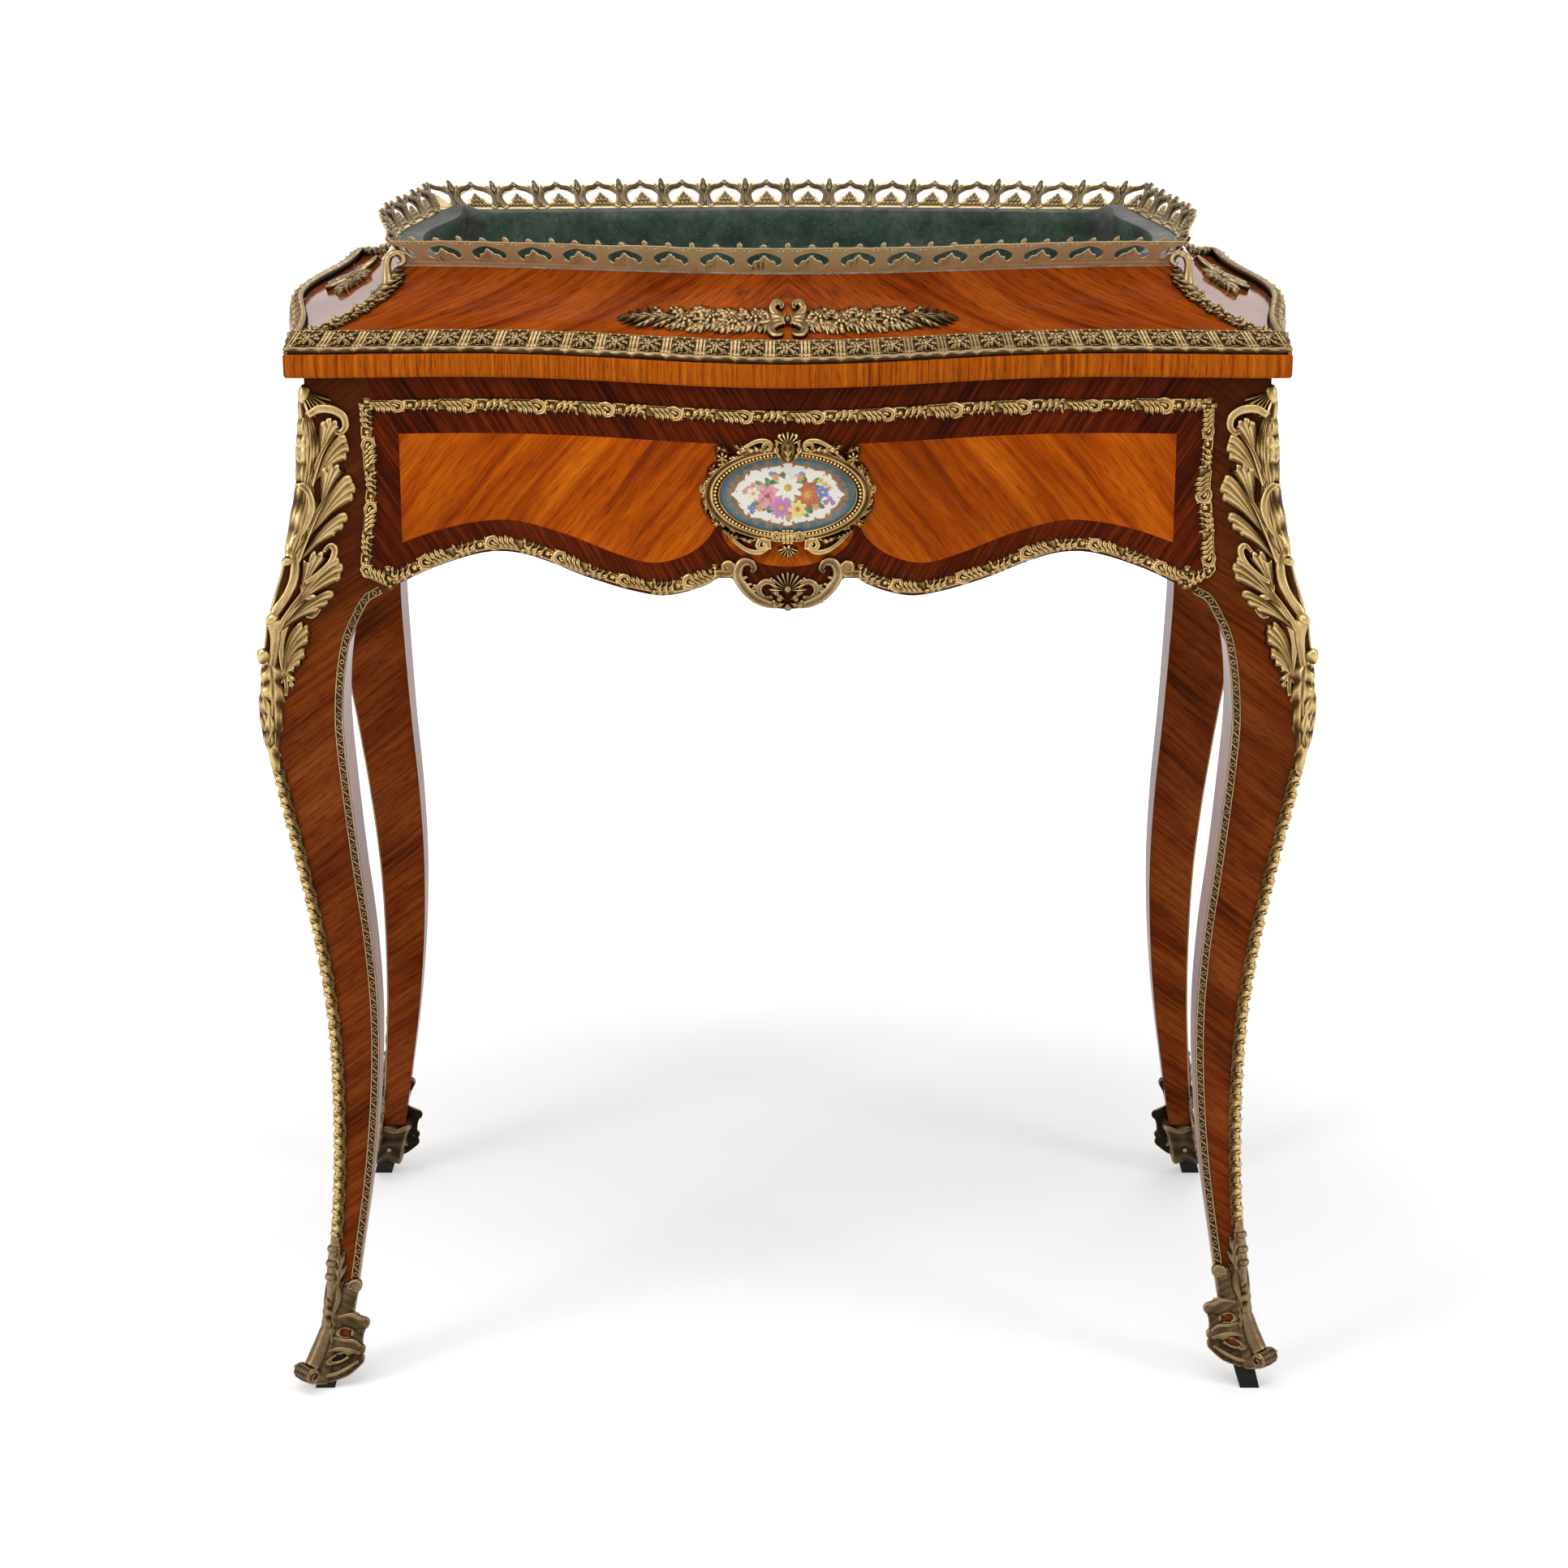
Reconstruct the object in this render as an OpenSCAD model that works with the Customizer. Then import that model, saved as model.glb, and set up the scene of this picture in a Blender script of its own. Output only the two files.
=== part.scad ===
// Jardiniere table: a serpentine planter table on four cabriole legs, with cast mounts.
// Millimetres, +Z up, front towards -Y. The origin lies on the floor under the middle.
// Sides are numbered 0 front, 1 right, 2 back, 3 left. On each side u runs along it,
// v outward from the table's middle and z up.

/* [Top board] */
// Width of the top board between its corners
top_w = 672; // [600:1:760]
// Depth of the top board between its corners
top_d = 388; // [340:1:440]
// Thickness of the top board
top_t = 16; // [12:1:22]
// Height of the top board's underside above the floor
under_z = 740; // [700:1:780]
// How far the front edge bows out past its corners
front_bow = 36; // [10:1:45]
// How far the back edge bows out past its corners
back_bow = 14; // [5:1:40]
// How far each side edge bows out past its corners
side_bow = 19; // [8:1:30]
// Thickness of the pale edge band round the top board
band_t = 3; // [2:0.5:5]

/* [Carcass] */
// Overhang of the top board past the aprons
overhang = 12; // [8:1:18]
// Thickness of an apron without its veneer
apron_t = 19; // [14:1:24]
// Thickness of the sawn veneers on the aprons
veneer_t = 1; // [0.8:0.1:2]
// Side of the square leg post between the aprons
post = 58; // [50:1:64]
// Thickness of the well floor board
floor_t = 8; // [6:1:12]
// Drop from the top board's underside to the top of the well floor
floor_drop = 93; // [92:1:96]
// Width of a bearer under the well floor
bearer_w = 18; // [12:1:30]
// Height of a bearer under the well floor
bearer_h = 12; // [8:1:16]

/* [Legs] */
// Height of the black foot peg under each leg
peg_h = 28; // [18:1:40]
// How much the peg steps in from the leg on each face
peg_step = 1; // [0.5:0.25:2]

/* [Cover and well] */
// Width of the rim between its corners
rim_w = 524; // [470:1:560]
// Depth of the rim between its corners
rim_d = 262; // [230:1:290]
// How far the rim's front bows out
rim_front_bow = 35; // [8:1:40]
// How far the rim's back bows out
rim_back_bow = 13; // [5:1:35]
// How far the rim's sides bow out
rim_side_bow = 18; // [5:1:26]
// Height of the coved cover above the top board
cover_h = 49.5; // [40:0.5:64]
// Height of the cover's upright foot behind the edge moulding
foot_h = 9; // [5:0.5:12]
// Width of the rim at the front and back, from its edge to the well
rim_land = 14; // [11:0.5:18]
// Thickness of the zinc sheet on the rim
ledge_t = 1; // [0.6:0.1:1.5]

/* [Zinc liner] */
// Wall thickness of the zinc liner
liner_wall = 1.2; // [0.8:0.1:2]
// Gap between the liner and the well opening
liner_gap = 2; // [1:0.25:4]
// Depth of the liner below its flange
liner_depth = 150; // [110:1:154]
// Gap between the liner's flange and the gallery
flange_gap = 1.5; // [0.5:0.25:3]

/* [Gallery] */
// Height of the gallery without its crests
gallery_h = 20.5; // [14:0.5:28]
// How far the gallery leans outward at its top
gallery_lean = 11; // [5:0.5:14]
// Thickness of the gallery sheet
gallery_t = 1.6; // [1:0.1:2.5]
// Distance from the rim's edge to the gallery
gallery_inset = 1.2; // [0.5:0.1:3]
// Length of one bay of the gallery pattern
bay = 31; // [24:1:40]
// Gap from the rim's corner to the end of a gallery section
gallery_end = 10; // [8:0.5:16]
// Height of the small crests on the gallery
crest = 2; // [1:0.25:3]

/* [Edge moulding] */
// Width of the cast moulding on the top board's edge
edge_w = 10; // [8:0.5:12]
// Height of the cast moulding on the top board's edge
edge_h = 13; // [9:0.5:16]
// Setback of the moulding from the top board's edge
edge_set = 1; // [0.5:0.25:3]

/* [Cast mounts] */
// Gap between a mount and the surface it is pinned to
seat = 0.3; // [0.2:0.05:0.4]
// Width of the frame moulding on the aprons
frame_w = 11; // [8:0.5:13]
// Thickness of the frame moulding
frame_t = 4; // [2:0.5:6]
// Thickness of the shell mount
shell_t = 7; // [5:0.5:9]
// Thickness of a knee mount
knee_t = 6; // [4:0.5:8]
// Width of the strip on each face beside the leg's outer edge
arris_w = 7; // [5:0.5:9]
// Thickness of the strip on the leg's outer edge
arris_t = 2.6; // [1.5:0.1:4]
// Width of the strip along the inner edge of a leg face
fillet_w = 5.5; // [4:0.5:8]
// Thickness of the strip along the inner edge of a leg face
fillet_t = 1.3; // [1:0.1:2]
// Width of a hip mount on each side of the hip
hip_w = 9; // [6:0.5:12]
// Thickness of a hip mount
hip_t = 5; // [3:0.5:7]
// Radius of the curl at the top of a hip mount
curl_r = 6.5; // [4:0.5:8]
// Length of the spray on the front and back of the cover
spray_l = 252; // [180:2:300]
// Length of the spray on each side of the cover
side_spray_l = 96; // [70:2:120]
// Thickness of a spray
spray_t = 6; // [4:0.5:8]
// Wall thickness of the cast shoe
shoe_t = 3; // [2:0.25:4]
// Height of the cast shoe's point above the floor
shoe_top = 106; // [90:1:125]
// Radius of the scroll at the shoe's toe
toe_r = 6.5; // [4:0.5:8]
// Lift of each shoe above the floor: front left, front right, back right, back left
shoe_lift = [4, 15, 7, 7]; // [0:1:18]

/* [Plaque] */
// Width of the oval plaque
plaque_w = 92; // [70:1:110]
// Height of the oval plaque
plaque_h = 52; // [40:1:60]
// Thickness of the plaque
plaque_t = 3; // [2:0.5:5]
// Drop from the top board's underside to the plaque's middle
plaque_drop = 72.5; // [66:0.5:80]
// Width of the plaque's cast frame
plaque_rim = 9; // [6:0.5:12]
// How far the frame stands in front of the plaque
plaque_lip = 3; // [2:0.5:5]

/* [Hidden] */

kingwood = "#5b2110";
tulipwood = "#b4591c";
oak = "#a5814f";
gilt = "#9c7f3c";
zinc = "#5f6b62";
ebonised = "#1c1815";
china = "#e9e4d6";
steel = "#77746e";

// Corners, by the same order as shoe_lift: the sign of x and of y
CORNER = [[-1, -1], [1, -1], [1, 1], [-1, 1]];

// Half sizes of the outlines
top_hw = top_w / 2;
top_hd = top_d / 2;
apron_hw = top_hw - overhang;
apron_hd = top_hd - overhang;
rim_hw = rim_w / 2;
rim_hd = rim_d / 2;

// Bows of the four sides and the waves that shape them
top_bow = [front_bow, side_bow, back_bow, side_bow];
top_wave = [[0.24, 0.5, 0.26], [0.45, 0.5, 0.05], [0.5, 0.5, 0], [0.45, 0.5, 0.05]];
rim_bow = [rim_front_bow, rim_side_bow, rim_back_bow, rim_side_bow];
rim_wave = [[0.5, 0.5, 0], [0.5, 0.5, 0], [0.5, 0.5, 0], [0.5, 0.5, 0]];

// Heights
top_z = under_z + top_t;
rim_z = top_z + cover_h;
ledge_z = rim_z + ledge_t;

// Foot of the cover, just behind the edge moulding, and the well, in line with each hip
foot_inset = edge_set + edge_w + 0.5;
foot_hw = top_hw - foot_inset;
foot_hd = top_hd - foot_inset;
land_x = rim_land * (foot_hw - rim_hw) / (foot_hd - rim_hd);

// Stretches of a side that are drawn straight
STEPS = [40, 22, 40, 22];
COVE_STEPS = [32, 18, 32, 18];

// Leg lines as drawn: height, how far the outer edge stands outside the aprons' corner, and
// how far the inner corner stands inside it. The last row is at the top board. The shank up
// to SHANK_DRAWN stretches with the table's height, and the knee above it keeps its shape.
SHANK_DRAWN = 340;
LEG_LINE = [
    [0, 20, -4], [25, 14, 3.5], [50, 9, 9], [100, 4, 17], [160, -0.5, 26], [220, -2, 32],
    [280, -0.5, 34.5], [340, 5.5, 32.5], [400, 14.5, 27.5], [460, 24.5, 23.5], [500, 29.5, 21.5],
    [530, 31, 22], [550, 30, 24], [562, 28.5, 26.5], [573, 26, 31.5], [587, 21.5, 40],
    [592, 20, 49], [596, 19, 58], [620, 12, 58], [640, 7.5, 58], [665, 3.5, 58], [700, 1, 58],
    [740, 0, 58]
];
leg_drawn = LEG_LINE[len(LEG_LINE) - 1][0];
knee_out = max([for (row = LEG_LINE) row[1]]);
POST_DRAWN = 596;

// Lower edges of the aprons: distance from the middle, drop below the top board.
// The long aprons are drawn 266 from their middle to the post, the short ones 124.
LONG_HALF = 266;
LOBE_LINE = [[-12, 150], [0, 152], [12, 150], [25, 143.5], [36, 133], [43, 128]];
WAVE_LINE = [
    [43, 128], [52, 135.6], [69, 143], [85, 146.6], [102, 145.3], [119, 142], [141, 136],
    [163, 128], [185, 122.4], [207, 122.7], [241, 133], [266, 144.3]
];
SHORT_HALF = 124;
SHORT_LINE = [[-25, 147], [0, 150], [25, 147], [48, 136], [72, 124], [95, 125], [124, 144.3]];

// Lower edges of the pale panels, in the same terms
PANEL_TOP = 40;
FRONT_PANEL_LINE = [
    [46, 88], [50, 100], [62, 113], [80, 122], [96, 124], [118, 119], [151, 108], [185, 100],
    [207, 100.6], [235, 106], [262, 115]
];
BACK_PANEL_LINE = [
    [0, 120], [30, 120], [62, 122], [96, 124], [118, 119], [151, 108], [185, 100],
    [207, 100.6], [235, 106], [262, 115]
];
SIDE_PANEL_LINE = [[0, 124], [25, 121], [48, 110], [72, 99], [90, 98], [110, 106]];

// Knee mount: drawn height and reach from the leg's outer edge. The strips on the inner
// edges end a little higher than its foot, under the frame moulding.
INNER_STRIP_TOP = 584;
KNEE_LINE = [
    [462, 2], [475, 4], [490, 5], [510, 7], [533, 10], [551, 19], [568, 23], [585, 29],
    [597, 26], [608, 26], [619, 32], [630, 28], [646, 22], [670, 28], [690, 28], [708, 24],
    [720, 13], [733, 9]
];

// Spline through a table's rows: column c at x
function slope(T, c, i) =
    let (a = max(i - 1, 0), b = min(i + 1, len(T) - 1))
    (T[b][c] - T[a][c]) / (T[b][0] - T[a][0]);
function span(T, x, i = 0) = (i >= len(T) - 2 || x <= T[i + 1][0]) ? i : span(T, x, i + 1);
function along(T, c, x) =
    let (i = span(T, x), w = T[i + 1][0] - T[i][0], s = min(1, max(0, (x - T[i][0]) / w)))
    T[i][c] * (2 * s ^ 3 - 3 * s ^ 2 + 1) + slope(T, c, i) * w * (s ^ 3 - 2 * s ^ 2 + s)
    + T[i + 1][c] * (3 * s ^ 2 - 2 * s ^ 3) + slope(T, c, i + 1) * w * (s ^ 3 - s ^ 2);
function wave(c, t) = c[0] + c[1] * cos(180 * t) + c[2] * cos(360 * t);
function mix(a, b, s) = a + (b - a) * s;
function unit(v) = v / norm(v);
function ramp(x) = let (s = min(1, max(0, x))) s * s * (3 - 2 * s);
function spread(a, b, n) = [for (i = [0 : n]) a + (b - a) * i / n];
function flip(list) = [for (i = [len(list) - 1 : -1 : 0]) list[i]];

// A point on side k at u, v
function at(k, u, v) =
    k == 0 ? [u, -v] : k == 1 ? [v, u] : k == 2 ? [-u, v] : [-v, -u];
function at3(k, u, v, z) = let (p = at(k, u, v)) [p[0], p[1], z];
function half_u(k, hw, hd) = k % 2 == 0 ? hw : hd;
function half_v(k, hw, hd) = k % 2 == 0 ? hd : hw;

// The bowed edge of an outline on side k, at t from -1 to 1
function edge(k, t, hw, hd, bow, waves) =
    [t * half_u(k, hw, hd), half_v(k, hw, hd) + bow[k] * wave(waves[k], abs(t))];
function outline(hw, hd, bow, waves) = [
    for (k = [0 : 3]) for (i = [0 : STEPS[k] - 1])
        let (e = edge(k, -1 + 2 * i / STEPS[k], hw, hd, bow, waves)) at(k, e[0], e[1])
];
function top_outline(inset) = outline(top_hw - inset, top_hd - inset, top_bow, top_wave);
function rim_outline(inset) =
    outline(rim_hw - inset * land_x / rim_land, rim_hd - inset, rim_bow, rim_wave);

// The table's corners lie round the middle, but its front bows out past its back, so every
// piece is set back by half the difference
front_reach = top_hd + front_bow;
back_reach = max(apron_hd + knee_out + knee_t, top_hd + back_bow);
module placed() {
    translate([0, (front_reach - back_reach) / 2, 0]) children();
}

// Solids from lists of points. Faces are turned to look outward by the sign of the volume.
function volume(P, F) =
    let (parts = [for (f = F) cross(P[f[0]], P[f[1]]) * P[f[2]]]) parts * [for (f = F) 1];
function quad(a, b, c, d) = [[a, b, c], [a, c, d]];
module solid(P, F) {
    polyhedron(P, volume(P, F) < 0 ? F : [for (f = F) flip(f)], convexity = 8);
}

// A loft through sections of the same count of points; closed joins the last to the first
module loft(S, closed = false) {
    m = len(S[0]);
    n = len(S);
    last = closed ? n - 1 : n - 2;
    walls = [
        for (i = [0 : last]) for (j = [0 : m - 1])
            let (i2 = (i + 1) % n, j2 = (j + 1) % m)
            each quad(i * m + j, i * m + j2, i2 * m + j2, i2 * m + j)
    ];
    ends = closed ? [] : concat(
        [for (j = [0 : m - 3]) [m - 1, j + 1, j]],
        [for (j = [0 : m - 3]) [n * m - 1, (n - 1) * m + j, (n - 1) * m + j + 1]]
    );
    solid([for (s = S) each s], concat(walls, ends));
}

// A sheet between an outer and an inner grid of points, with the cells that keep holds
module sheet(P, Q, keep, ring = false) {
    n = len(P);
    m = len(P[0]);
    base = n * m;
    cols = ring ? m : m - 1;
    function held(i, j) =
        i < 0 || i > n - 2 ? false
        : ring ? keep[i][(j + m) % m]
        : j < 0 || j > m - 2 ? false
        : keep[i][j];
    F = [
        for (i = [0 : n - 2]) for (j = [0 : cols - 1]) if (keep[i][j])
            let (
                a = i * m + j,
                b = (i + 1) * m + j,
                c = (i + 1) * m + (j + 1) % m,
                d = i * m + (j + 1) % m
            )
            each concat(
                quad(a, b, c, d),
                quad(base + a, base + d, base + c, base + b),
                held(i - 1, j) ? [] : quad(a, d, base + d, base + a),
                held(i, j - 1) ? [] : quad(b, a, base + a, base + b),
                held(i + 1, j) ? [] : quad(c, b, base + b, base + c),
                held(i, j + 1) ? [] : quad(d, c, base + c, base + d)
            )
    ];
    solid(concat([for (r = P) each r], [for (r = Q) each r]), F);
}
function all_cells(n, m) = [for (i = [1 : n]) [for (j = [1 : m]) true]];

// Leg lines at height z. The knee keeps its shape and the shank stretches.
function drawn(z) =
    let (knee_z = under_z - (leg_drawn - SHANK_DRAWN))
    z > knee_z ? z - under_z + leg_drawn : z * SHANK_DRAWN / knee_z;
function undrawn(h) =
    let (knee_z = under_z - (leg_drawn - SHANK_DRAWN))
    h > SHANK_DRAWN ? h + under_z - leg_drawn : h * knee_z / SHANK_DRAWN;
function leg_out(z) = along(LEG_LINE, 1, drawn(z));
function leg_in(z) = let (h = drawn(z)) h > POST_DRAWN ? post : min(post, along(LEG_LINE, 2, h));

// The apron's face on side k, measured outward, at u
function apron_v(k, u) =
    half_v(k, apron_hw, apron_hd) + top_bow[k] * wave(top_wave[k], abs(u) / half_u(k, apron_hw, apron_hd));

// Height over which a leg's face goes from flush with the apron to flat
SWELL = 100;

// A hollow from 1 at p = 0 to 0 at p = 1, drawn in LEG_COLS straight stretches
LEG_COLS = 5;
function hollow(p) =
    let (i = min(LEG_COLS - 1, floor(p * LEG_COLS)))
    mix((1 - i / LEG_COLS) ^ 2, (1 - (i + 1) / LEG_COLS) ^ 2, p * LEG_COLS - i);

// A leg's face on side k at distance a from its outer edge: flush with the apron at the
// inner edge of the post, swelling to the outer edge at the knee, flat below it
function leg_face(k, a, z) =
    let (
        out = leg_out(z),
        width = out + leg_in(z),
        flush = apron_v(k, half_u(k, apron_hw, apron_hd) - post) - half_v(k, apron_hw, apron_hd),
        g = mix(flush, out, ramp((POST_DRAWN + 4 - drawn(z)) / SWELL)),
        p = min(1, max(0, a / width))
    )
    half_v(k, apron_hw, apron_hd) + g + (out - g) * hollow(p);

// The outer surface on side k at u, z: the apron between the posts, the leg beyond them
function face_v(k, u, z) =
    let (h = half_u(k, apron_hw, apron_hd), a = h + leg_out(z) - abs(u))
    abs(u) <= h - post ? apron_v(k, u) : leg_face(k, a, z);

// The two sides that meet at corner c, and the sign of u on each towards that corner
function side_a(c) = [0, 0, 2, 2][c];
function side_b(c) = [3, 1, 1, 3][c];
function sign_a(c) = [-1, 1, -1, 1][c];
function sign_b(c) = [1, -1, 1, -1][c];

// A point on leg c at height z: q from -1 at one inner edge over 0 at the outer edge to 1.
// reach is the distance from the outer edge at q = 1, and h stands off the face.
function leg_point(c, q, reach, h, z) =
    let (
        k = q < 0 ? side_b(c) : side_a(c),
        s = q < 0 ? sign_b(c) : sign_a(c),
        a = abs(q) * reach,
        u = half_u(k, apron_hw, apron_hd) + leg_out(z) - a,
        v = leg_face(k, a, z) + h,
        corner = q == 0 ? h : 0
    )
    at3(k, s * (u + corner), v, z);

// One level of a leg or a peg, stepped in by step
function leg_ring(c, z, step) =
    let (
        width = leg_out(z) + leg_in(z),
        i = leg_in(z) - step,
        inner = [CORNER[c][0] * (apron_hw - i), CORNER[c][1] * (apron_hd - i), z]
    )
    concat(
        [for (j = [-LEG_COLS : LEG_COLS])
            leg_point(c, j / LEG_COLS, width - (abs(j) == LEG_COLS ? step : 0), -step, z)],
        [inner]
    );

// Levels of a leg, close together round the knee
KNEE_LEVELS = [460, 485, 510, 530, 545, 555, 565, 575, 583, 590, 596, 604, 616, 632, 655, 690];
function leg_levels() = concat(
    spread(peg_h, undrawn(KNEE_LEVELS[0]), 18),
    [for (i = [1 : len(KNEE_LEVELS) - 1]) undrawn(KNEE_LEVELS[i])],
    [under_z]
);

module leg(c) {
    color(kingwood)
    placed()
    loft([for (z = leg_levels()) leg_ring(c, z, 0)]);
}

module foot_peg(c) {
    color(ebonised)
    placed()
    loft([for (z = spread(0, peg_h, 2)) leg_ring(c, z, peg_step)]);
}

// A shape drawn in u and z, kept between two distances from the apron's face
module on_face(k, v0, v1, half) {
    us = spread(-half, half, STEPS[k]);
    plan = concat(
        [for (u = us) [u, -apron_v(k, u) - v1]],
        [for (u = flip(us)) [u, -apron_v(k, u) - v0]]
    );
    rotate([0, 0, 90 * k])
    intersection() {
        linear_extrude(under_z) polygon(plan);
        rotate([90, 0, 0]) linear_extrude(top_w) children();
    }
}

function apron_half(k) = half_u(k, apron_hw, apron_hd) - post;

// The lower edge of the apron on side k, as a drop below the top board
function apron_drop(k, u) =
    let (a = abs(u) * (k % 2 == 0 ? LONG_HALF : SHORT_HALF) / apron_half(k))
    k % 2 == 1 ? along(SHORT_LINE, 1, a)
    : a < LOBE_LINE[len(LOBE_LINE) - 1][0] ? along(LOBE_LINE, 1, a)
    : along(WAVE_LINE, 1, a);

function apron_shape(k) =
    let (h = apron_half(k))
    concat(
        [[h, under_z], [-h, under_z]],
        [for (u = spread(-h, h, 56)) [u, under_z - apron_drop(k, u)]]
    );

module apron(k) {
    color(kingwood)
    placed()
    on_face(k, -veneer_t - apron_t, -veneer_t, apron_half(k)) polygon(apron_shape(k));
}

// The pale panels of side k. The front's keep clear of the plaque, the others meet.
function panel_line(k) = k == 0 ? FRONT_PANEL_LINE : k == 2 ? BACK_PANEL_LINE : SIDE_PANEL_LINE;
module panel_half(k) {
    T = panel_line(k);
    grow = apron_half(k) / (k % 2 == 0 ? LONG_HALF : SHORT_HALF);
    a = T[0][0];
    b = T[len(T) - 1][0];
    polygon(concat(
        [[(b - 6) * grow, under_z - PANEL_TOP], [a * grow, under_z - PANEL_TOP]],
        [for (x = spread(a, b, 20)) [x * grow, under_z - along(T, 1, x)]]
    ));
}
module panel_shapes(k) {
    panel_half(k);
    mirror([1, 0]) panel_half(k);
    if (k == 0) half_oval();
}

// The pale half oval under the plaque
module half_oval() {
    polygon([
        for (a = spread(180, 360, 20))
            [44 * cos(a), under_z - plaque_drop - 26 + 24 * sin(a)]
    ]);
}

module crossband_veneers() {
    color(kingwood)
    placed()
    for (k = [0 : 3])
        on_face(k, -veneer_t, 0, apron_half(k))
        difference() {
            polygon(apron_shape(k));
            panel_shapes(k);
        }
}

module reserve_panels() {
    color(tulipwood)
    placed()
    for (k = [0 : 3]) on_face(k, -veneer_t, 0, apron_half(k)) panel_shapes(k);
}

floor_z = under_z - floor_drop;
bearer_z = floor_z - floor_t;

module well_bearer(k) {
    back = veneer_t + apron_t;
    h = apron_half(k);
    color(oak)
    placed()
    on_face(k, -back - bearer_w, -back, h)
    translate([-h, bearer_z - bearer_h]) square([2 * h, bearer_h]);
}

module well_floor() {
    back = veneer_t + apron_t + 0.5;
    us = spread(-apron_half(0) + 0.5, apron_half(0) - 0.5, STEPS[0]);
    color(oak)
    placed()
    translate([0, 0, bearer_z])
    linear_extrude(floor_t)
    polygon(concat(
        [for (u = us) at(0, u, apron_v(0, u) - back)],
        [for (u = us) at(2, u, apron_v(2, u) - back)]
    ));
}

module top_board() {
    color(oak)
    placed()
    translate([0, 0, under_z])
    linear_extrude(top_t)
    difference() {
        polygon(top_outline(band_t));
        polygon(rim_outline(rim_land));
    }
}

module edge_band() {
    color(tulipwood)
    placed()
    translate([0, 0, under_z])
    linear_extrude(top_t)
    difference() {
        polygon(top_outline(0));
        polygon(top_outline(band_t));
    }
}

// The cover's concave face on side k: t along the side, f from 0 at the foot to 1 at the rim
COVE_STRAIGHT = 0.35;
function cove_in(f) = mix(sin(90 * f), f, COVE_STRAIGHT);
function cove_up(f) = mix(1 - cos(90 * f), f, COVE_STRAIGHT);
function cove(k, t, f) =
    let (
        a = edge(k, t, foot_hw, foot_hd, top_bow, top_wave),
        b = edge(k, t, rim_hw, rim_hd, rim_bow, rim_wave),
        p = mix(a, b, cove_in(f))
    )
    at3(k, p[0], p[1], mix(top_z + foot_h, rim_z, cove_up(f)));

module cover(k) {
    fs = spread(0, 1, 7);
    color(kingwood)
    placed()
    loft([
        for (t = spread(-1, 1, COVE_STEPS[k]))
            let (
                a = edge(k, t, foot_hw, foot_hd, top_bow, top_wave),
                w = edge(k, t, rim_hw - land_x, rim_hd - rim_land, rim_bow, rim_wave)
            )
            concat(
                [at3(k, w[0], w[1], top_z), at3(k, a[0], a[1], top_z)],
                [for (f = fs) cove(k, t, f)],
                [at3(k, w[0], w[1], rim_z)]
            )
    ]);
}

module rim_sheet() {
    color(zinc)
    placed()
    translate([0, 0, rim_z])
    linear_extrude(ledge_t)
    difference() {
        polygon(rim_outline(0));
        polygon(rim_outline(rim_land));
    }
}

// The liner: a soldered box that hangs by its flange
flange_z = ledge_z + seat;
liner_inset = rim_land + liner_gap;
module zinc_liner() {
    color(zinc)
    placed() {
        translate([0, 0, flange_z])
        linear_extrude(liner_wall)
        difference() {
            polygon(rim_outline(gallery_inset + gallery_t + flange_gap));
            polygon(rim_outline(liner_inset + liner_wall));
        }
        translate([0, 0, flange_z - liner_depth])
        difference() {
            linear_extrude(liner_depth + liner_wall / 2) polygon(rim_outline(liner_inset));
            translate([0, 0, liner_wall])
            linear_extrude(liner_depth) polygon(rim_outline(liner_inset + liner_wall));
        }
    }
}

// The gallery: a pierced sheet that leans out over the rim
GALLERY_ROWS = [0, 0.3, 0.55, 0.82, 1];
BAY_COLS = 5;
module gallery(k) {
    hu = half_u(k, rim_hw, rim_hd);
    reach = (hu - gallery_end) / hu;
    bays = round(2 * reach * hu / bay);
    cols = bays * BAY_COLS;
    // A crest over each post
    function top_rise(i) = i % BAY_COLS == 0 ? crest : 0;
    function grid(inset) = [
        for (i = [0 : cols])
            let (e = edge(k, reach * (-1 + 2 * i / cols), rim_hw - inset, rim_hd - inset, rim_bow, rim_wave))
            [for (r = GALLERY_ROWS)
                at3(k, e[0], e[1] + gallery_lean * r * r, ledge_z + gallery_h * r + (r == 1 ? top_rise(i) : 0))]
    ];
    // In each bay the opening arches over a small cluster
    function solid_cell(c, r) =
        r == 0 || r == 3 || c == 0 || c == BAY_COLS - 1 || (r == 1 && c == 2);
    keep = [for (i = [0 : cols - 1]) [for (r = [0 : 3]) solid_cell(i % BAY_COLS, r)]];
    color(gilt)
    placed()
    sheet(grid(gallery_inset), grid(gallery_inset + gallery_t), keep);
}

// The cast moulding on the top board's edge
module edge_moulding(k) {
    // Distance in from the board's edge, and height
    profile = [
        [edge_set, 0], [edge_set, 3.5], [edge_set + 1.5, 5], [edge_set + edge_w - 3, edge_h],
        [edge_set + edge_w, edge_h], [edge_set + edge_w, 0]
    ];
    color(gilt)
    placed()
    loft([
        for (t = spread(-1, 1, COVE_STEPS[k]))
            [for (p = profile)
                let (e = edge(k, t, top_hw - p[0], top_hd - p[0], top_bow, top_wave))
                at3(k, e[0], e[1], top_z + p[1])]
    ]);
}

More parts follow.
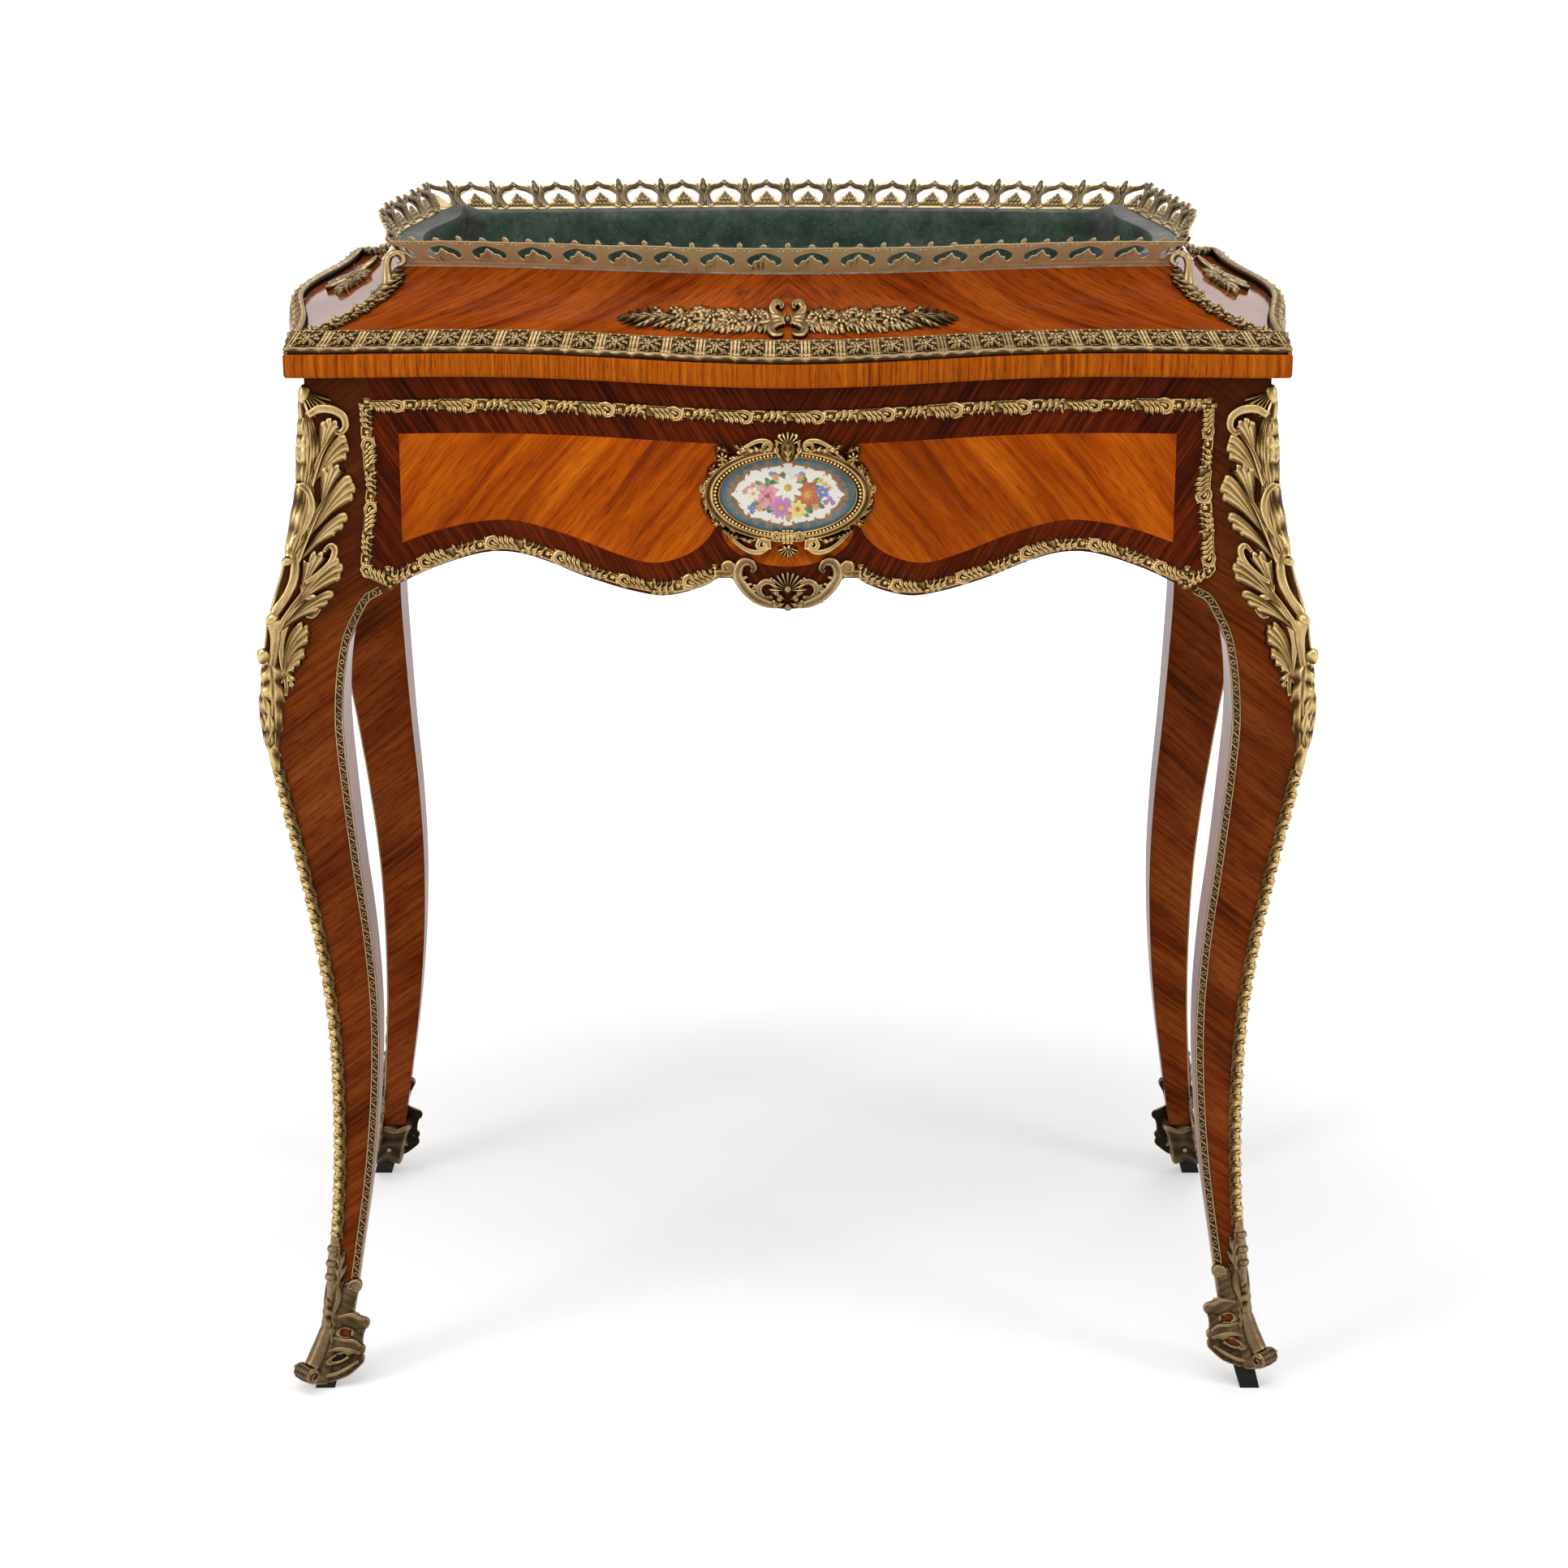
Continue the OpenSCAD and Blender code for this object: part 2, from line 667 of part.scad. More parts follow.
// A hip mount: a leaf strip down the mitre, with a curl over the rim's corner
module hip_mount(c) {
    ka = side_a(c);
    kb = side_b(c);
    sa = sign_a(c);
    sb = sign_b(c);
    foot = cove(ka, sa, 0);
    rim = cove(ka, sa, 1);
    out = unit([foot[0] - rim[0], foot[1] - rim[1], 0]);
    up = [0, 0, 1];
    fs = spread(0.06, 1, 7);
    qs = [-1, -0.5, 0, 0.5, 1];
    curl_w = 6;
    // Upright at the foot, nearly level at the rim
    function normal(f) = unit(out * mix(0.35, 1, f) + up * mix(1, 0.25, f));
    function width(f) = hip_w * (0.55 + 0.45 * sin(180 * f));
    function spine(f, q) =
        let (
            k = q < 0 ? kb : ka,
            s = q < 0 ? sb : sa,
            t = 1 - abs(q) * width(f) / half_u(k, foot_hw, foot_hd)
        )
        cove(k, s * t, f);
    rim_side = spine(1, 1) - spine(1, -1);
    across = unit([rim_side[0], rim_side[1], 0]);
    function grid(h) = concat(
        [for (f = fs) [for (q = qs)
            spine(f, q) + normal(f) * (abs(q) == 1 ? min(h, hip_t * 0.4) : h)]],
        [[for (q = qs) rim + out * (h + 0.6) + across * q * curl_w / 2 + up * (ledge_t + curl_r)]]
    );
    color(gilt)
    placed()
    union() {
        sheet(grid(hip_t), grid(0.5), all_cells(len(fs), 4));
        translate(rim + out * (curl_r * 0.55) + up * (ledge_t + curl_r + 0.4))
        rotate([0, 0, atan2(out[1], out[0])])
        rotate([90, 0, 0])
        cylinder(r = curl_r, h = curl_w, center = true, $fn = 32);
    }
}

// A floral spray that lies on the cover: leaf tips at both ends, a scroll in the middle
module spray(k) {
    l = k % 2 == 0 ? spray_l : side_spray_l;
    hu = half_u(k, foot_hw, foot_hd);
    mid = 0.36;
    n = 16;
    function swell(s) = 0.03 + 0.13 * sqrt(max(0, 1 - abs(s))) + 0.05 * max(0, cos(360 * 1.6 * s)) * (1 - abs(s));
    function point(s, q, h) =
        let (
            t = s * l / 2 / hu,
            f = mid + q * swell(s),
            p = cove(k, t, f),
            du = cove(k, t + 0.01, f) - cove(k, t - 0.01, f),
            df = cove(k, t, f + 0.02) - cove(k, t, f - 0.02)
        )
        p + unit(cross(du, df)) * h;
    function height(q) = abs(q) == 1 ? spray_t * 0.35 : spray_t;
    qs = [-1, -0.5, 0, 0.5, 1];
    color(gilt)
    placed()
    sheet(
        [for (s = spread(-1, 1, n)) [for (q = qs) point(s, q, height(q))]],
        [for (s = spread(-1, 1, n)) [for (q = qs) point(s, q, 0.4)]],
        all_cells(n, 4)
    );
}

// The frame moulding on side k, as a closed strip along a path in u and drop
FRAME_TOP = 20.5;
SHELL_HALF = 47;
function frame_side(k) = k % 2 == 0
    ? [[283, 43], [281, 76], [285, 110], [287, 134]]
    : [[141, 43], [139, 76], [143, 110], [145, 134]];
function frame_path(k) =
    let (
        drawn_half = k % 2 == 0 ? LONG_HALF : SHORT_HALF,
        grow = apron_half(k) - drawn_half,
        side = [for (p = frame_side(k)) [p[0] + grow, p[1]]],
        top_u = side[0][0],
        low_u = apron_half(k) + 6,
        top = [for (u = spread(0, top_u, k % 2 == 0 ? 12 : 6)) [u, FRAME_TOP]],
        low = [for (u = flip(spread(0, low_u - 4, k % 2 == 0 ? 22 : 11)))
            [u, apron_drop(k, min(u, apron_half(k))) - frame_w / 2 - 1 + max(0, u - apron_half(k)) * 0.3]]
    )
    concat(top, side, [for (i = [0 : len(low) - 2]) low[i]]);
module frame_moulding(k) {
    // The front's ends at the cusps beside the shell, the others run right round
    whole = k != 0;
    right = [for (p = frame_path(k)) if (whole || p[1] == FRAME_TOP || p[0] > SHELL_HALF) p];
    left = [for (p = flip(right)) if (p[0] > 0) [-p[0], p[1]]];
    low_mid = [0, apron_drop(k, 0) - frame_w / 2 - 1];
    path = whole ? concat(right, [low_mid], left) : concat(left, right);
    n = len(path);
    // The path's sideways direction, from its neighbours
    function across(i) =
        let (
            a = whole ? (i + n - 1) % n : max(i - 1, 0),
            b = whole ? (i + 1) % n : min(i + 1, n - 1),
            d = unit(path[b] - path[a])
        )
        [-d[1], d[0]];
    function point(i, s, h) =
        let (p = path[i] + across(i) * s, z = under_z - p[1])
        at3(k, p[0], face_v(k, p[0], z) + h, z);
    color(gilt)
    placed()
    loft([
        for (i = [0 : n - 1]) [
            point(i, -frame_w / 2, seat), point(i, frame_w / 2, seat),
            point(i, frame_w / 4, frame_t), point(i, -frame_w / 4, frame_t)
        ]
    ], closed = whole);
}

// The plaque and its frame stand on the front apron's middle
plaque_z = under_z - plaque_drop;
plaque_v = apron_v(0, 0) + seat;
function oval(w, h, n = 48) = [for (i = [0 : n - 1]) [w / 2 * cos(360 * i / n), h / 2 * sin(360 * i / n)]];

module porcelain_plaque() {
    color(china)
    placed()
    translate([0, -plaque_v, plaque_z])
    rotate([90, 0, 0])
    linear_extrude(plaque_t) polygon(oval(plaque_w, plaque_h));
}

module plaque_frame() {
    front = plaque_v + plaque_t + plaque_lip;
    hu = plaque_w / 2 + plaque_rim + 2;
    us = spread(-hu, hu, 18);
    // Lobed outer line with a crest above and a clasp below
    function bump(a, mid, wide, tall) = tall * exp(-((a - mid) / wide) ^ 2);
    outer = [
        for (a = [0 : 5 : 355])
            let (
                r = plaque_rim + 1.5 * cos(6 * a) ^ 2 + bump(a, 90, 22, 7.5) + bump(a, 270, 20, 6.5),
                w = plaque_w / 2 + r * 0.9,
                h = plaque_h / 2 + r
            )
            [w * cos(a), h * sin(a)]
    ];
    color(gilt)
    placed()
    difference() {
        intersection() {
            linear_extrude(under_z)
            polygon(concat(
                [[-hu, -front], [hu, -front]],
                [for (u = flip(us)) [u, -apron_v(0, u) - seat]]
            ));
            translate([0, 0, plaque_z]) rotate([90, 0, 0]) linear_extrude(top_w) polygon(outer);
        }
        translate([0, -plaque_v - plaque_t - 0.2, plaque_z])
        rotate([90, 0, 0])
        translate([0, 0, -2 * plaque_t])
        linear_extrude(2 * plaque_t) polygon(oval(plaque_w + 0.6, plaque_h + 0.6));
        translate([0, 0, plaque_z])
        rotate([90, 0, 0])
        linear_extrude(top_w) polygon(oval(plaque_w - 4, plaque_h - 4));
    }
}

// The shell and its two scrolls under the plaque
module shell_mount() {
    scroll_r = 9;
    color(gilt)
    placed()
    on_face(0, seat, shell_t, apron_half(0))
    translate([0, under_z - LOBE_LINE[1][1] + 12])
    union() {
        polygon([
            for (a = spread(180, 360, 24)) [24 * cos(a), 6 + (14 + 1.5 * cos(8 * a)) * sin(a)]
        ]);
        for (s = [-1, 1]) {
            translate([s * 35, 11]) circle(r = scroll_r, $fn = 40);
            translate([s * 24, 2]) rotate(s * 32) square([28, 10], center = true);
        }
        translate([0, -9.5]) circle(r = 3.5, $fn = 32);
    }
}

// Cast work on the legs: strips and the knee mount, at the levels of the leg under them
function strip_levels(a, b) =
    concat([a], [for (z = leg_levels()) if (z > a + 2 && z < b - 2) z], [b]);

module knee_mount(c) {
    zs = strip_levels(undrawn(KNEE_LINE[0][0]), undrawn(KNEE_LINE[len(KNEE_LINE) - 1][0]));
    qs = [-1, -0.6, -0.25, 0, 0.25, 0.6, 1];
    function reach(z) = along(KNEE_LINE, 1, drawn(z));
    function height(q) = abs(q) == 1 ? knee_t * 0.45 : knee_t;
    color(gilt)
    placed()
    sheet(
        [for (z = zs) [for (q = qs) leg_point(c, q, reach(z), height(q), z)]],
        [for (z = zs) [for (q = qs) leg_point(c, q, reach(z), seat + 0.1, z)]],
        all_cells(len(zs) - 1, len(qs) - 1)
    );
}

module arris_strips() {
    color(gilt)
    placed()
    for (c = [0 : 3]) {
        zs = strip_levels(shoe_top + shoe_lift[c] + 1, undrawn(KNEE_LINE[0][0] - 1));
        sheet(
            [for (z = zs) [for (q = [-1, 0, 1]) leg_point(c, q, arris_w, arris_t, z)]],
            [for (z = zs) [for (q = [-1, 0, 1]) leg_point(c, q, arris_w, seat, z)]],
            all_cells(len(zs) - 1, 2)
        );
    }
}

module inner_edge_strips() {
    color(gilt)
    placed()
    for (c = [0 : 3]) for (q = [-1, 1]) {
        foot = SHOE_FOOT + shoe_lift[c] + SHOE_BAND + 1;
        zs = [for (z = leg_levels()) if (z > foot && z < undrawn(INNER_STRIP_TOP)) z];
        loft([
            for (z = zs)
                let (w = leg_out(z) + leg_in(z))
                [
                    leg_point(c, q, w - 0.4, seat, z), leg_point(c, q, w - 0.4 - fillet_w, seat, z),
                    leg_point(c, q, w - 0.4 - fillet_w, fillet_t, z), leg_point(c, q, w - 0.4, fillet_t, z)
                ]
        ]);
    }
}

// A cast shoe: a band round the foot, two pierced horns up the outer faces, a toe scroll
SHOE_FOOT = 4;
SHOE_BAND = 38;
module shoe(c) {
    lift = shoe_lift[c];
    base = SHOE_FOOT + lift;
    // Points round the foot: the two outer faces, then the two inner ones
    function ring_at(z, h) =
        let (
            w = leg_out(z) + leg_in(z),
            i = leg_in(z) + h,
            x = CORNER[c][0],
            y = CORNER[c][1],
            far = [x * (apron_hw - i), y * (apron_hd - i), z],
            pa = leg_point(c, 1, w + h, h, z),
            pb = leg_point(c, -1, w + h, h, z)
        )
        concat([pb], [for (q = [-0.66, -0.33, 0, 0.33, 0.66]) leg_point(c, q, w, h, z)], [pa, far]);
    zs = [base, base + 9, base + 20, base + SHOE_BAND - 8, base + SHOE_BAND, 60 + lift, 78 + lift, 92 + lift, shoe_top + lift];
    // Rows above the band hold only the cells beside the outer edge
    function cell(i, j) =
        i <= 2 ? !((i == 1) && (j == 1 || j == 4))
        : i == 3 ? j <= 5
        : i <= 5 ? (j >= 1 && j <= 4)
        : (j >= 2 && j <= 3);
    keep = [for (i = [0 : len(zs) - 2]) [for (j = [0 : 7]) cell(i, j)]];
    toe = leg_point(c, 0, 1, toe_r + 0.5, base + 3.5);
    turn = atan2(CORNER[c][1], CORNER[c][0]);
    color(gilt)
    placed()
    union() {
        sheet([for (z = zs) ring_at(z, shoe_t)], [for (z = zs) ring_at(z, seat)], keep, ring = true);
        translate(toe + [0, 0, toe_r - 3.5])
        rotate([0, 0, turn])
        rotate([90, 0, 0])
        cylinder(r = toe_r, h = 17, center = true, $fn = 32);
    }
}

// Domed heads of the pins that hold each shoe's band to the foot's inner faces
module shoe_pins() {
    head_r = 1.8;
    head_h = 1.4;
    color(steel)
    placed()
    for (c = [0 : 3]) {
        z = SHOE_FOOT + shoe_lift[c] + SHOE_BAND * 0.4;
        inset = leg_in(z) + shoe_t + 2 * seat;
        x = CORNER[c][0];
        y = CORNER[c][1];
        mid = (leg_in(z) - leg_out(z)) / 2;
        translate([x * (apron_hw - inset), y * (apron_hd - mid), z])
            rotate([0, -90 * x, 0]) cylinder(r = head_r, h = head_h, $fn = 24);
        translate([x * (apron_hw - mid), y * (apron_hd - inset), z])
            rotate([90 * y, 0, 0]) cylinder(r = head_r, h = head_h, $fn = 24);
    }
}

leg(0);  // leg_front_left
leg(1);  // leg_front_right
leg(2);  // leg_back_right
leg(3);  // leg_back_left
foot_peg(0);  // foot_peg_front_left
foot_peg(1);  // foot_peg_front_right
foot_peg(2);  // foot_peg_back_right
foot_peg(3);  // foot_peg_back_left
apron(0);  // apron_front
apron(1);  // apron_right
apron(2);  // apron_back
apron(3);  // apron_left
crossband_veneers();
reserve_panels();
well_bearer(0);  // well_bearer_front
well_bearer(2);  // well_bearer_back
well_floor();
top_board();
edge_band();
cover(0);  // cover_front
cover(1);  // cover_right
cover(2);  // cover_back
cover(3);  // cover_left
rim_sheet();
zinc_liner();
gallery(0);  // gallery_front
gallery(1);  // gallery_right
gallery(2);  // gallery_back
gallery(3);  // gallery_left
edge_moulding(0);  // edge_moulding_front
edge_moulding(1);  // edge_moulding_right
edge_moulding(2);  // edge_moulding_back
edge_moulding(3);  // edge_moulding_left
hip_mount(0);  // hip_mount_front_left
hip_mount(1);  // hip_mount_front_right
hip_mount(2);  // hip_mount_back_right
hip_mount(3);  // hip_mount_back_left
spray(0);  // spray_front
spray(1);  // spray_right
spray(2);  // spray_back
spray(3);  // spray_left
frame_moulding(0);  // frame_moulding_front
frame_moulding(1);  // frame_moulding_right
frame_moulding(2);  // frame_moulding_back
frame_moulding(3);  // frame_moulding_left
porcelain_plaque();
plaque_frame();
shell_mount();
knee_mount(0);  // knee_mount_front_left
knee_mount(1);  // knee_mount_front_right
knee_mount(2);  // knee_mount_back_right
knee_mount(3);  // knee_mount_back_left
arris_strips();
inner_edge_strips();
shoe(0);  // shoe_front_left
shoe(1);  // shoe_front_right
shoe(2);  // shoe_back_right
shoe(3);  // shoe_back_left
shoe_pins();
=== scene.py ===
# %% [markdown]
# A planter table stands on four cabriole legs. Its body is veneered in dark and pale woods, cast
# gilt mounts cover every edge, and a metal liner hangs in the well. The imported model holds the
# true sizes, so this script loads it first and then dresses each piece in its own place.

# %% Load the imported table
import math
import random

import bpy
import numpy as np
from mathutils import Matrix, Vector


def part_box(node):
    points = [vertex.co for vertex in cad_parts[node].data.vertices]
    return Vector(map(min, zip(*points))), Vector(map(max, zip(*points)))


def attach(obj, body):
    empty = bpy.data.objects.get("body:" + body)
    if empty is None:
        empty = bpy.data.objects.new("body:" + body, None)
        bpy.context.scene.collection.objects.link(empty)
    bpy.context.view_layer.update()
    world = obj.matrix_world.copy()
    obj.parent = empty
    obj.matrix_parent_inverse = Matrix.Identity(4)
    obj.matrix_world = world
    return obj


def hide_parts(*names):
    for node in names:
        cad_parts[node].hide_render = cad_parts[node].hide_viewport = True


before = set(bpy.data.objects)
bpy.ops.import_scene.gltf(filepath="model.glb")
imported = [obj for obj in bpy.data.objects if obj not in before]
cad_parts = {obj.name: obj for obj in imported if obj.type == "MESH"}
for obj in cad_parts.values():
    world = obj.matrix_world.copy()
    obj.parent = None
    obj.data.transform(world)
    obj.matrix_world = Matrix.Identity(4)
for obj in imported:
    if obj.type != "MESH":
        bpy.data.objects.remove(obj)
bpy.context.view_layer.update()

print("nodes in the frame:", len(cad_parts))

# %% [markdown]
# ## Sizes
# Every outline of the table follows from a few sizes. Most are read from the boxes of the packed
# nodes, so the pieces made here always fit them. Lengths are in millimetres until a mesh is made.
# The lists go round the table: front, right, back, left.

# %% Read the driving sizes
MM = 1000.0
TOP_BOW = [36.0, 19.0, 14.0, 19.0]
RIM_BOW = [35.0, 18.0, 13.0, 18.0]


def box_mm(node):
    low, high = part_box(node)
    return np.array(low) * MM, np.array(high) * MM


def half_sizes(low, high, bow):
    return (high[0] - low[0]) / 2 - bow[1], (high[1] - low[1] - bow[0] - bow[2]) / 2


band_low, band_high = box_mm("edge_band")
TOP_HW, TOP_HD = half_sizes(band_low, band_high, TOP_BOW)
SET_BACK = (band_low[1] + band_high[1] + TOP_BOW[0] - TOP_BOW[2]) / 2
UNDER_Z, TOP_Z = band_low[2], band_high[2]
rim_low, rim_high = box_mm("rim_sheet")
RIM_HW, RIM_HD = half_sizes(rim_low, rim_high, RIM_BOW)
RIM_Z, LEDGE_Z = rim_low[2], rim_high[2]
RIM_LAND = 14.0
OVERHANG = 12.0
POST = 58.0
FOOT_INSET = 11.5
COVER_FOOT = 9.0
LAND_X = RIM_LAND * (TOP_HW - FOOT_INSET - RIM_HW) / (TOP_HD - FOOT_INSET - RIM_HD)
APRON_UV = [(TOP_HW - OVERHANG, TOP_HD - OVERHANG), (TOP_HD - OVERHANG, TOP_HW - OVERHANG)] * 2
FOOT_U = [TOP_HW - FOOT_INSET, TOP_HD - FOOT_INSET] * 2
RIM_U = [RIM_HW, RIM_HD] * 2
print("top board", TOP_HW, TOP_HD, "rim", RIM_HW, RIM_HD, "set back", SET_BACK)

# %% [markdown]
# ## Bowed outlines
# Seen from above, each edge is a wave of cosines that swells out between its corners. Sides are
# numbered 0 front, 1 right, 2 back, 3 left. On each side u runs to the right as seen from outside
# and v points outward, so one rule serves all four. A corner joins two sides, and a sign for each
# says at which of its ends the corner is.

# %% Waves and sides
TOP_WAVE = [(0.24, 0.5, 0.26), (0.45, 0.5, 0.05), (0.5, 0.5, 0), (0.45, 0.5, 0.05)]
RIM_WAVE = [(0.5, 0.5, 0)] * 4
UP = np.array([0, 0, 1.0])
OUTWARD = np.array([[0, -1, 0], [1, 0, 0], [0, 1, 0], [-1, 0, 0]], float)
SIDES = ["front", "right", "back", "left"]
CORNERS = {"front_left": (0, 3, -1, 1), "front_right": (0, 1, 1, -1),
           "back_right": (2, 1, -1, 1), "back_left": (2, 3, 1, -1)}


def wave(c, t):
    return c[0] + c[1] * np.cos(np.pi * t) + c[2] * np.cos(2 * np.pi * t)


def side_point(k, u, v, z):
    x = (u, v, -u, -v)[k]
    y = (-v, u, v, -u)[k]
    x, y, z = np.broadcast_arrays(x, y, z)
    return np.stack([x, y + SET_BACK, z], -1).astype(float)


def bowed_edge(k, t, half_width, half_depth, bow, waves):
    hu, hv = (half_width, half_depth) if k % 2 == 0 else (half_depth, half_width)
    return t * hu, hv + bow[k] * wave(waves[k], np.abs(t))


def top_edge(k, t, inset):
    return bowed_edge(k, t, TOP_HW - inset, TOP_HD - inset, TOP_BOW, TOP_WAVE)


def rim_edge(k, t, inset):
    return bowed_edge(k, t, RIM_HW - inset * LAND_X / RIM_LAND, RIM_HD - inset, RIM_BOW, RIM_WAVE)


def top_point(k, t, inset, z):
    return side_point(k, *top_edge(k, t, inset), z)


def rim_point(k, t, inset, z):
    return side_point(k, *rim_edge(k, t, inset), z)


def mix(a, b, s):
    return a + (b - a) * s


def ramp(x):
    s = np.clip(x, 0, 1)
    return s * s * (3 - 2 * s)


def unit(v):
    return v / np.maximum(np.linalg.norm(v, axis=-1, keepdims=True), 1e-9)


def path_length(points):
    return float(np.linalg.norm(np.diff(points, axis=0), axis=1).sum())


print("front edge bows out", TOP_BOW[0], "mm, the back edge", TOP_BOW[2], "mm")

# %% [markdown]
# ## The lines of the legs and aprons
# A maker cuts these from templates. Here each template is a short list of knots with a smooth
# curve drawn through them: the leg's outer and inner line, and the aprons' lower edges.

# %% Templates
LEG_LINE = np.array([
    [0, 20, -4], [25, 14, 3.5], [50, 9, 9], [100, 4, 17], [160, -0.5, 26], [220, -2, 32],
    [280, -0.5, 34.5], [340, 5.5, 32.5], [400, 14.5, 27.5], [460, 24.5, 23.5], [500, 29.5, 21.5],
    [530, 31, 22], [550, 30, 24], [562, 28.5, 26.5], [573, 26, 31.5], [587, 21.5, 40],
    [592, 20, 49], [596, 19, 58], [620, 12, 58], [640, 7.5, 58], [665, 3.5, 58], [700, 1, 58],
    [740, 0, 58]], float)
LOBE_LINE = [(-12, 150), (0, 152), (12, 150), (25, 143.5), (36, 133), (43, 128)]
WAVE_LINE = [
    (43, 128), (52, 135.6), (69, 143), (85, 146.6), (102, 145.3), (119, 142), (141, 136),
    (163, 128), (185, 122.4), (207, 122.7), (241, 133), (266, 144.3)]
SHORT_LINE = [(-25, 147), (0, 150), (25, 147), (48, 136), (72, 124), (95, 125), (124, 144.3)]
PANEL_TOP = 40.0
PANEL_REST = [(96, 124), (118, 119), (151, 108), (185, 100), (207, 100.6), (235, 106), (262, 115)]
SIDE_PANEL = [(0, 124), (25, 121), (48, 110), (72, 99), (90, 98), (110, 106)]
PANEL_LINES = [[(46, 88), (50, 100), (62, 113), (80, 122)] + PANEL_REST, SIDE_PANEL,
               [(0, 120), (30, 120), (62, 122)] + PANEL_REST, SIDE_PANEL]
POST_DRAWN = 596.0
SWELL = 100.0


def along(table, x, column=1):
    rows = np.array(table, float)
    k = rows[:, 0]
    y = rows[:, column]
    x = np.asarray(x, float)
    slope = np.empty(len(k))
    slope[1:-1] = (y[2:] - y[:-2]) / (k[2:] - k[:-2])
    slope[0] = (y[1] - y[0]) / (k[1] - k[0])
    slope[-1] = (y[-1] - y[-2]) / (k[-1] - k[-2])
    i = np.clip(np.searchsorted(k, x, side="left") - 1, 0, len(k) - 2)
    w = k[i + 1] - k[i]
    s = np.clip((x - k[i]) / w, 0, 1)
    return (y[i] * (2 * s**3 - 3 * s**2 + 1) + slope[i] * w * (s**3 - 2 * s**2 + s)
            + y[i + 1] * (3 * s**2 - 2 * s**3) + slope[i + 1] * w * (s**3 - s**2))


def leg_out(z):
    return along(LEG_LINE, z, 1)


def leg_in(z):
    return np.where(np.asarray(z) > POST_DRAWN, POST, np.minimum(POST, along(LEG_LINE, z, 2)))


def apron_v(k, u):
    hu, hv = APRON_UV[k]
    return hv + TOP_BOW[k] * wave(TOP_WAVE[k], np.abs(u) / hu)


def leg_face(k, a, z):
    """How far out a leg's face is, at distance a from the leg's outer edge."""
    hu, hv = APRON_UV[k]
    out = leg_out(z)
    width = out + leg_in(z)
    flush = apron_v(k, hu - POST) - hv
    g = mix(flush, out, ramp((POST_DRAWN + 4 - z) / SWELL))
    return hv + g + (out - g) * (1 - np.clip(a / width, 0, 1)) ** 2


def leg_point(k, sign, a, z):
    return side_point(k, sign * (APRON_UV[k][0] + leg_out(z) - a), leg_face(k, a, z), z)


def face_v(k, u, z):
    """How far out the front of an apron and its two legs is."""
    hu = APRON_UV[k][0]
    a = hu + leg_out(z) - np.abs(u)
    return np.where(np.abs(u) <= hu - POST, apron_v(k, u), leg_face(k, a, z))


def apron_half(k):
    return APRON_UV[k][0] - POST


def apron_drop(k, u):
    a = np.abs(u)
    if k % 2 == 1:
        return along(SHORT_LINE, a)
    return np.where(a < LOBE_LINE[-1][0], along(LOBE_LINE, a), along(WAVE_LINE, a))


print("knee stands out", LEG_LINE[:, 1].max(), "mm; front apron is", 2 * apron_half(0), "mm long")

# %% [markdown]
# ## Laying flat work on the table
# A chaser models a mount flat on the bench and it is then fitted to its place. The same is done
# here: ornament is drawn flat, x along, y up and z outward, and a placing rule carries each point
# onto the apron, the leg, the coved cover or the hip between two covers.

# %% Placing rules
COVE_STRAIGHT = 0.35


def cove(k, t, f):
    """A point on a cover, at t along it and f up its slope."""
    ua, va = top_edge(k, t, FOOT_INSET)
    ub, vb = rim_edge(k, t, 0)
    inward = mix(np.sin(f * np.pi / 2), f, COVE_STRAIGHT)
    upward = mix(1 - np.cos(f * np.pi / 2), f, COVE_STRAIGHT)
    return side_point(k, mix(ua, ub, inward), mix(va, vb, inward), mix(TOP_Z + COVER_FOOT, RIM_Z, upward))


def cove_normal(k, t, f):
    du = cove(k, t + 0.01, f) - cove(k, t - 0.01, f)
    df = cove(k, t, f + 0.01) - cove(k, t, f - 0.01)
    return unit(np.cross(du, df))


COVE_LENGTH = path_length(cove(0, 0.0, np.linspace(0, 1, 40)))
HIP_LENGTH = path_length(cove(0, 1.0, np.linspace(0, 1, 40)))


def on_side(k):
    def place(p):
        return side_point(k, p[:, 0], face_v(k, p[:, 0], p[:, 1]) + p[:, 2], p[:, 1])
    return place


def on_cove(k):
    def place(p):
        t = p[:, 0] / FOOT_U[k]
        f = p[:, 1] / COVE_LENGTH
        return cove(k, t, f) + cove_normal(k, t, f) * p[:, 2:3]
    return place


def folded_over(p, on_a, on_b, normal_a, normal_b, blend):
    """Lays x >= 0 on one side and x < 0 on the other, with normals that turn round the edge."""
    w = ramp(p[:, 0] / blend + 0.5)[:, None]
    base = np.where((p[:, 0] >= 0)[:, None], on_a, on_b)
    return base + unit(normal_a * w + normal_b * (1 - w)) * p[:, 2:3]


def on_hip(corner):
    ka, kb, sa, sb = CORNERS[corner]

    def place(p):
        d = np.abs(p[:, 0])
        f = p[:, 1] / HIP_LENGTH
        ta = sa * (1 - d / FOOT_U[ka])
        tb = sb * (1 - d / FOOT_U[kb])
        return folded_over(p, cove(ka, ta, f), cove(kb, tb, f), cove_normal(ka, ta, f),
                           cove_normal(kb, tb, f), 6)
    return place


def on_leg(corner):
    ka, kb, sa, sb = CORNERS[corner]

    def place(p):
        d = np.abs(p[:, 0])
        z = p[:, 1]
        return folded_over(p, leg_point(ka, sa, d, z), leg_point(kb, sb, d, z), OUTWARD[ka], OUTWARD[kb], 8)
    return place


print("cove is", round(COVE_LENGTH), "mm up its slope, a hip", round(HIP_LENGTH), "mm")

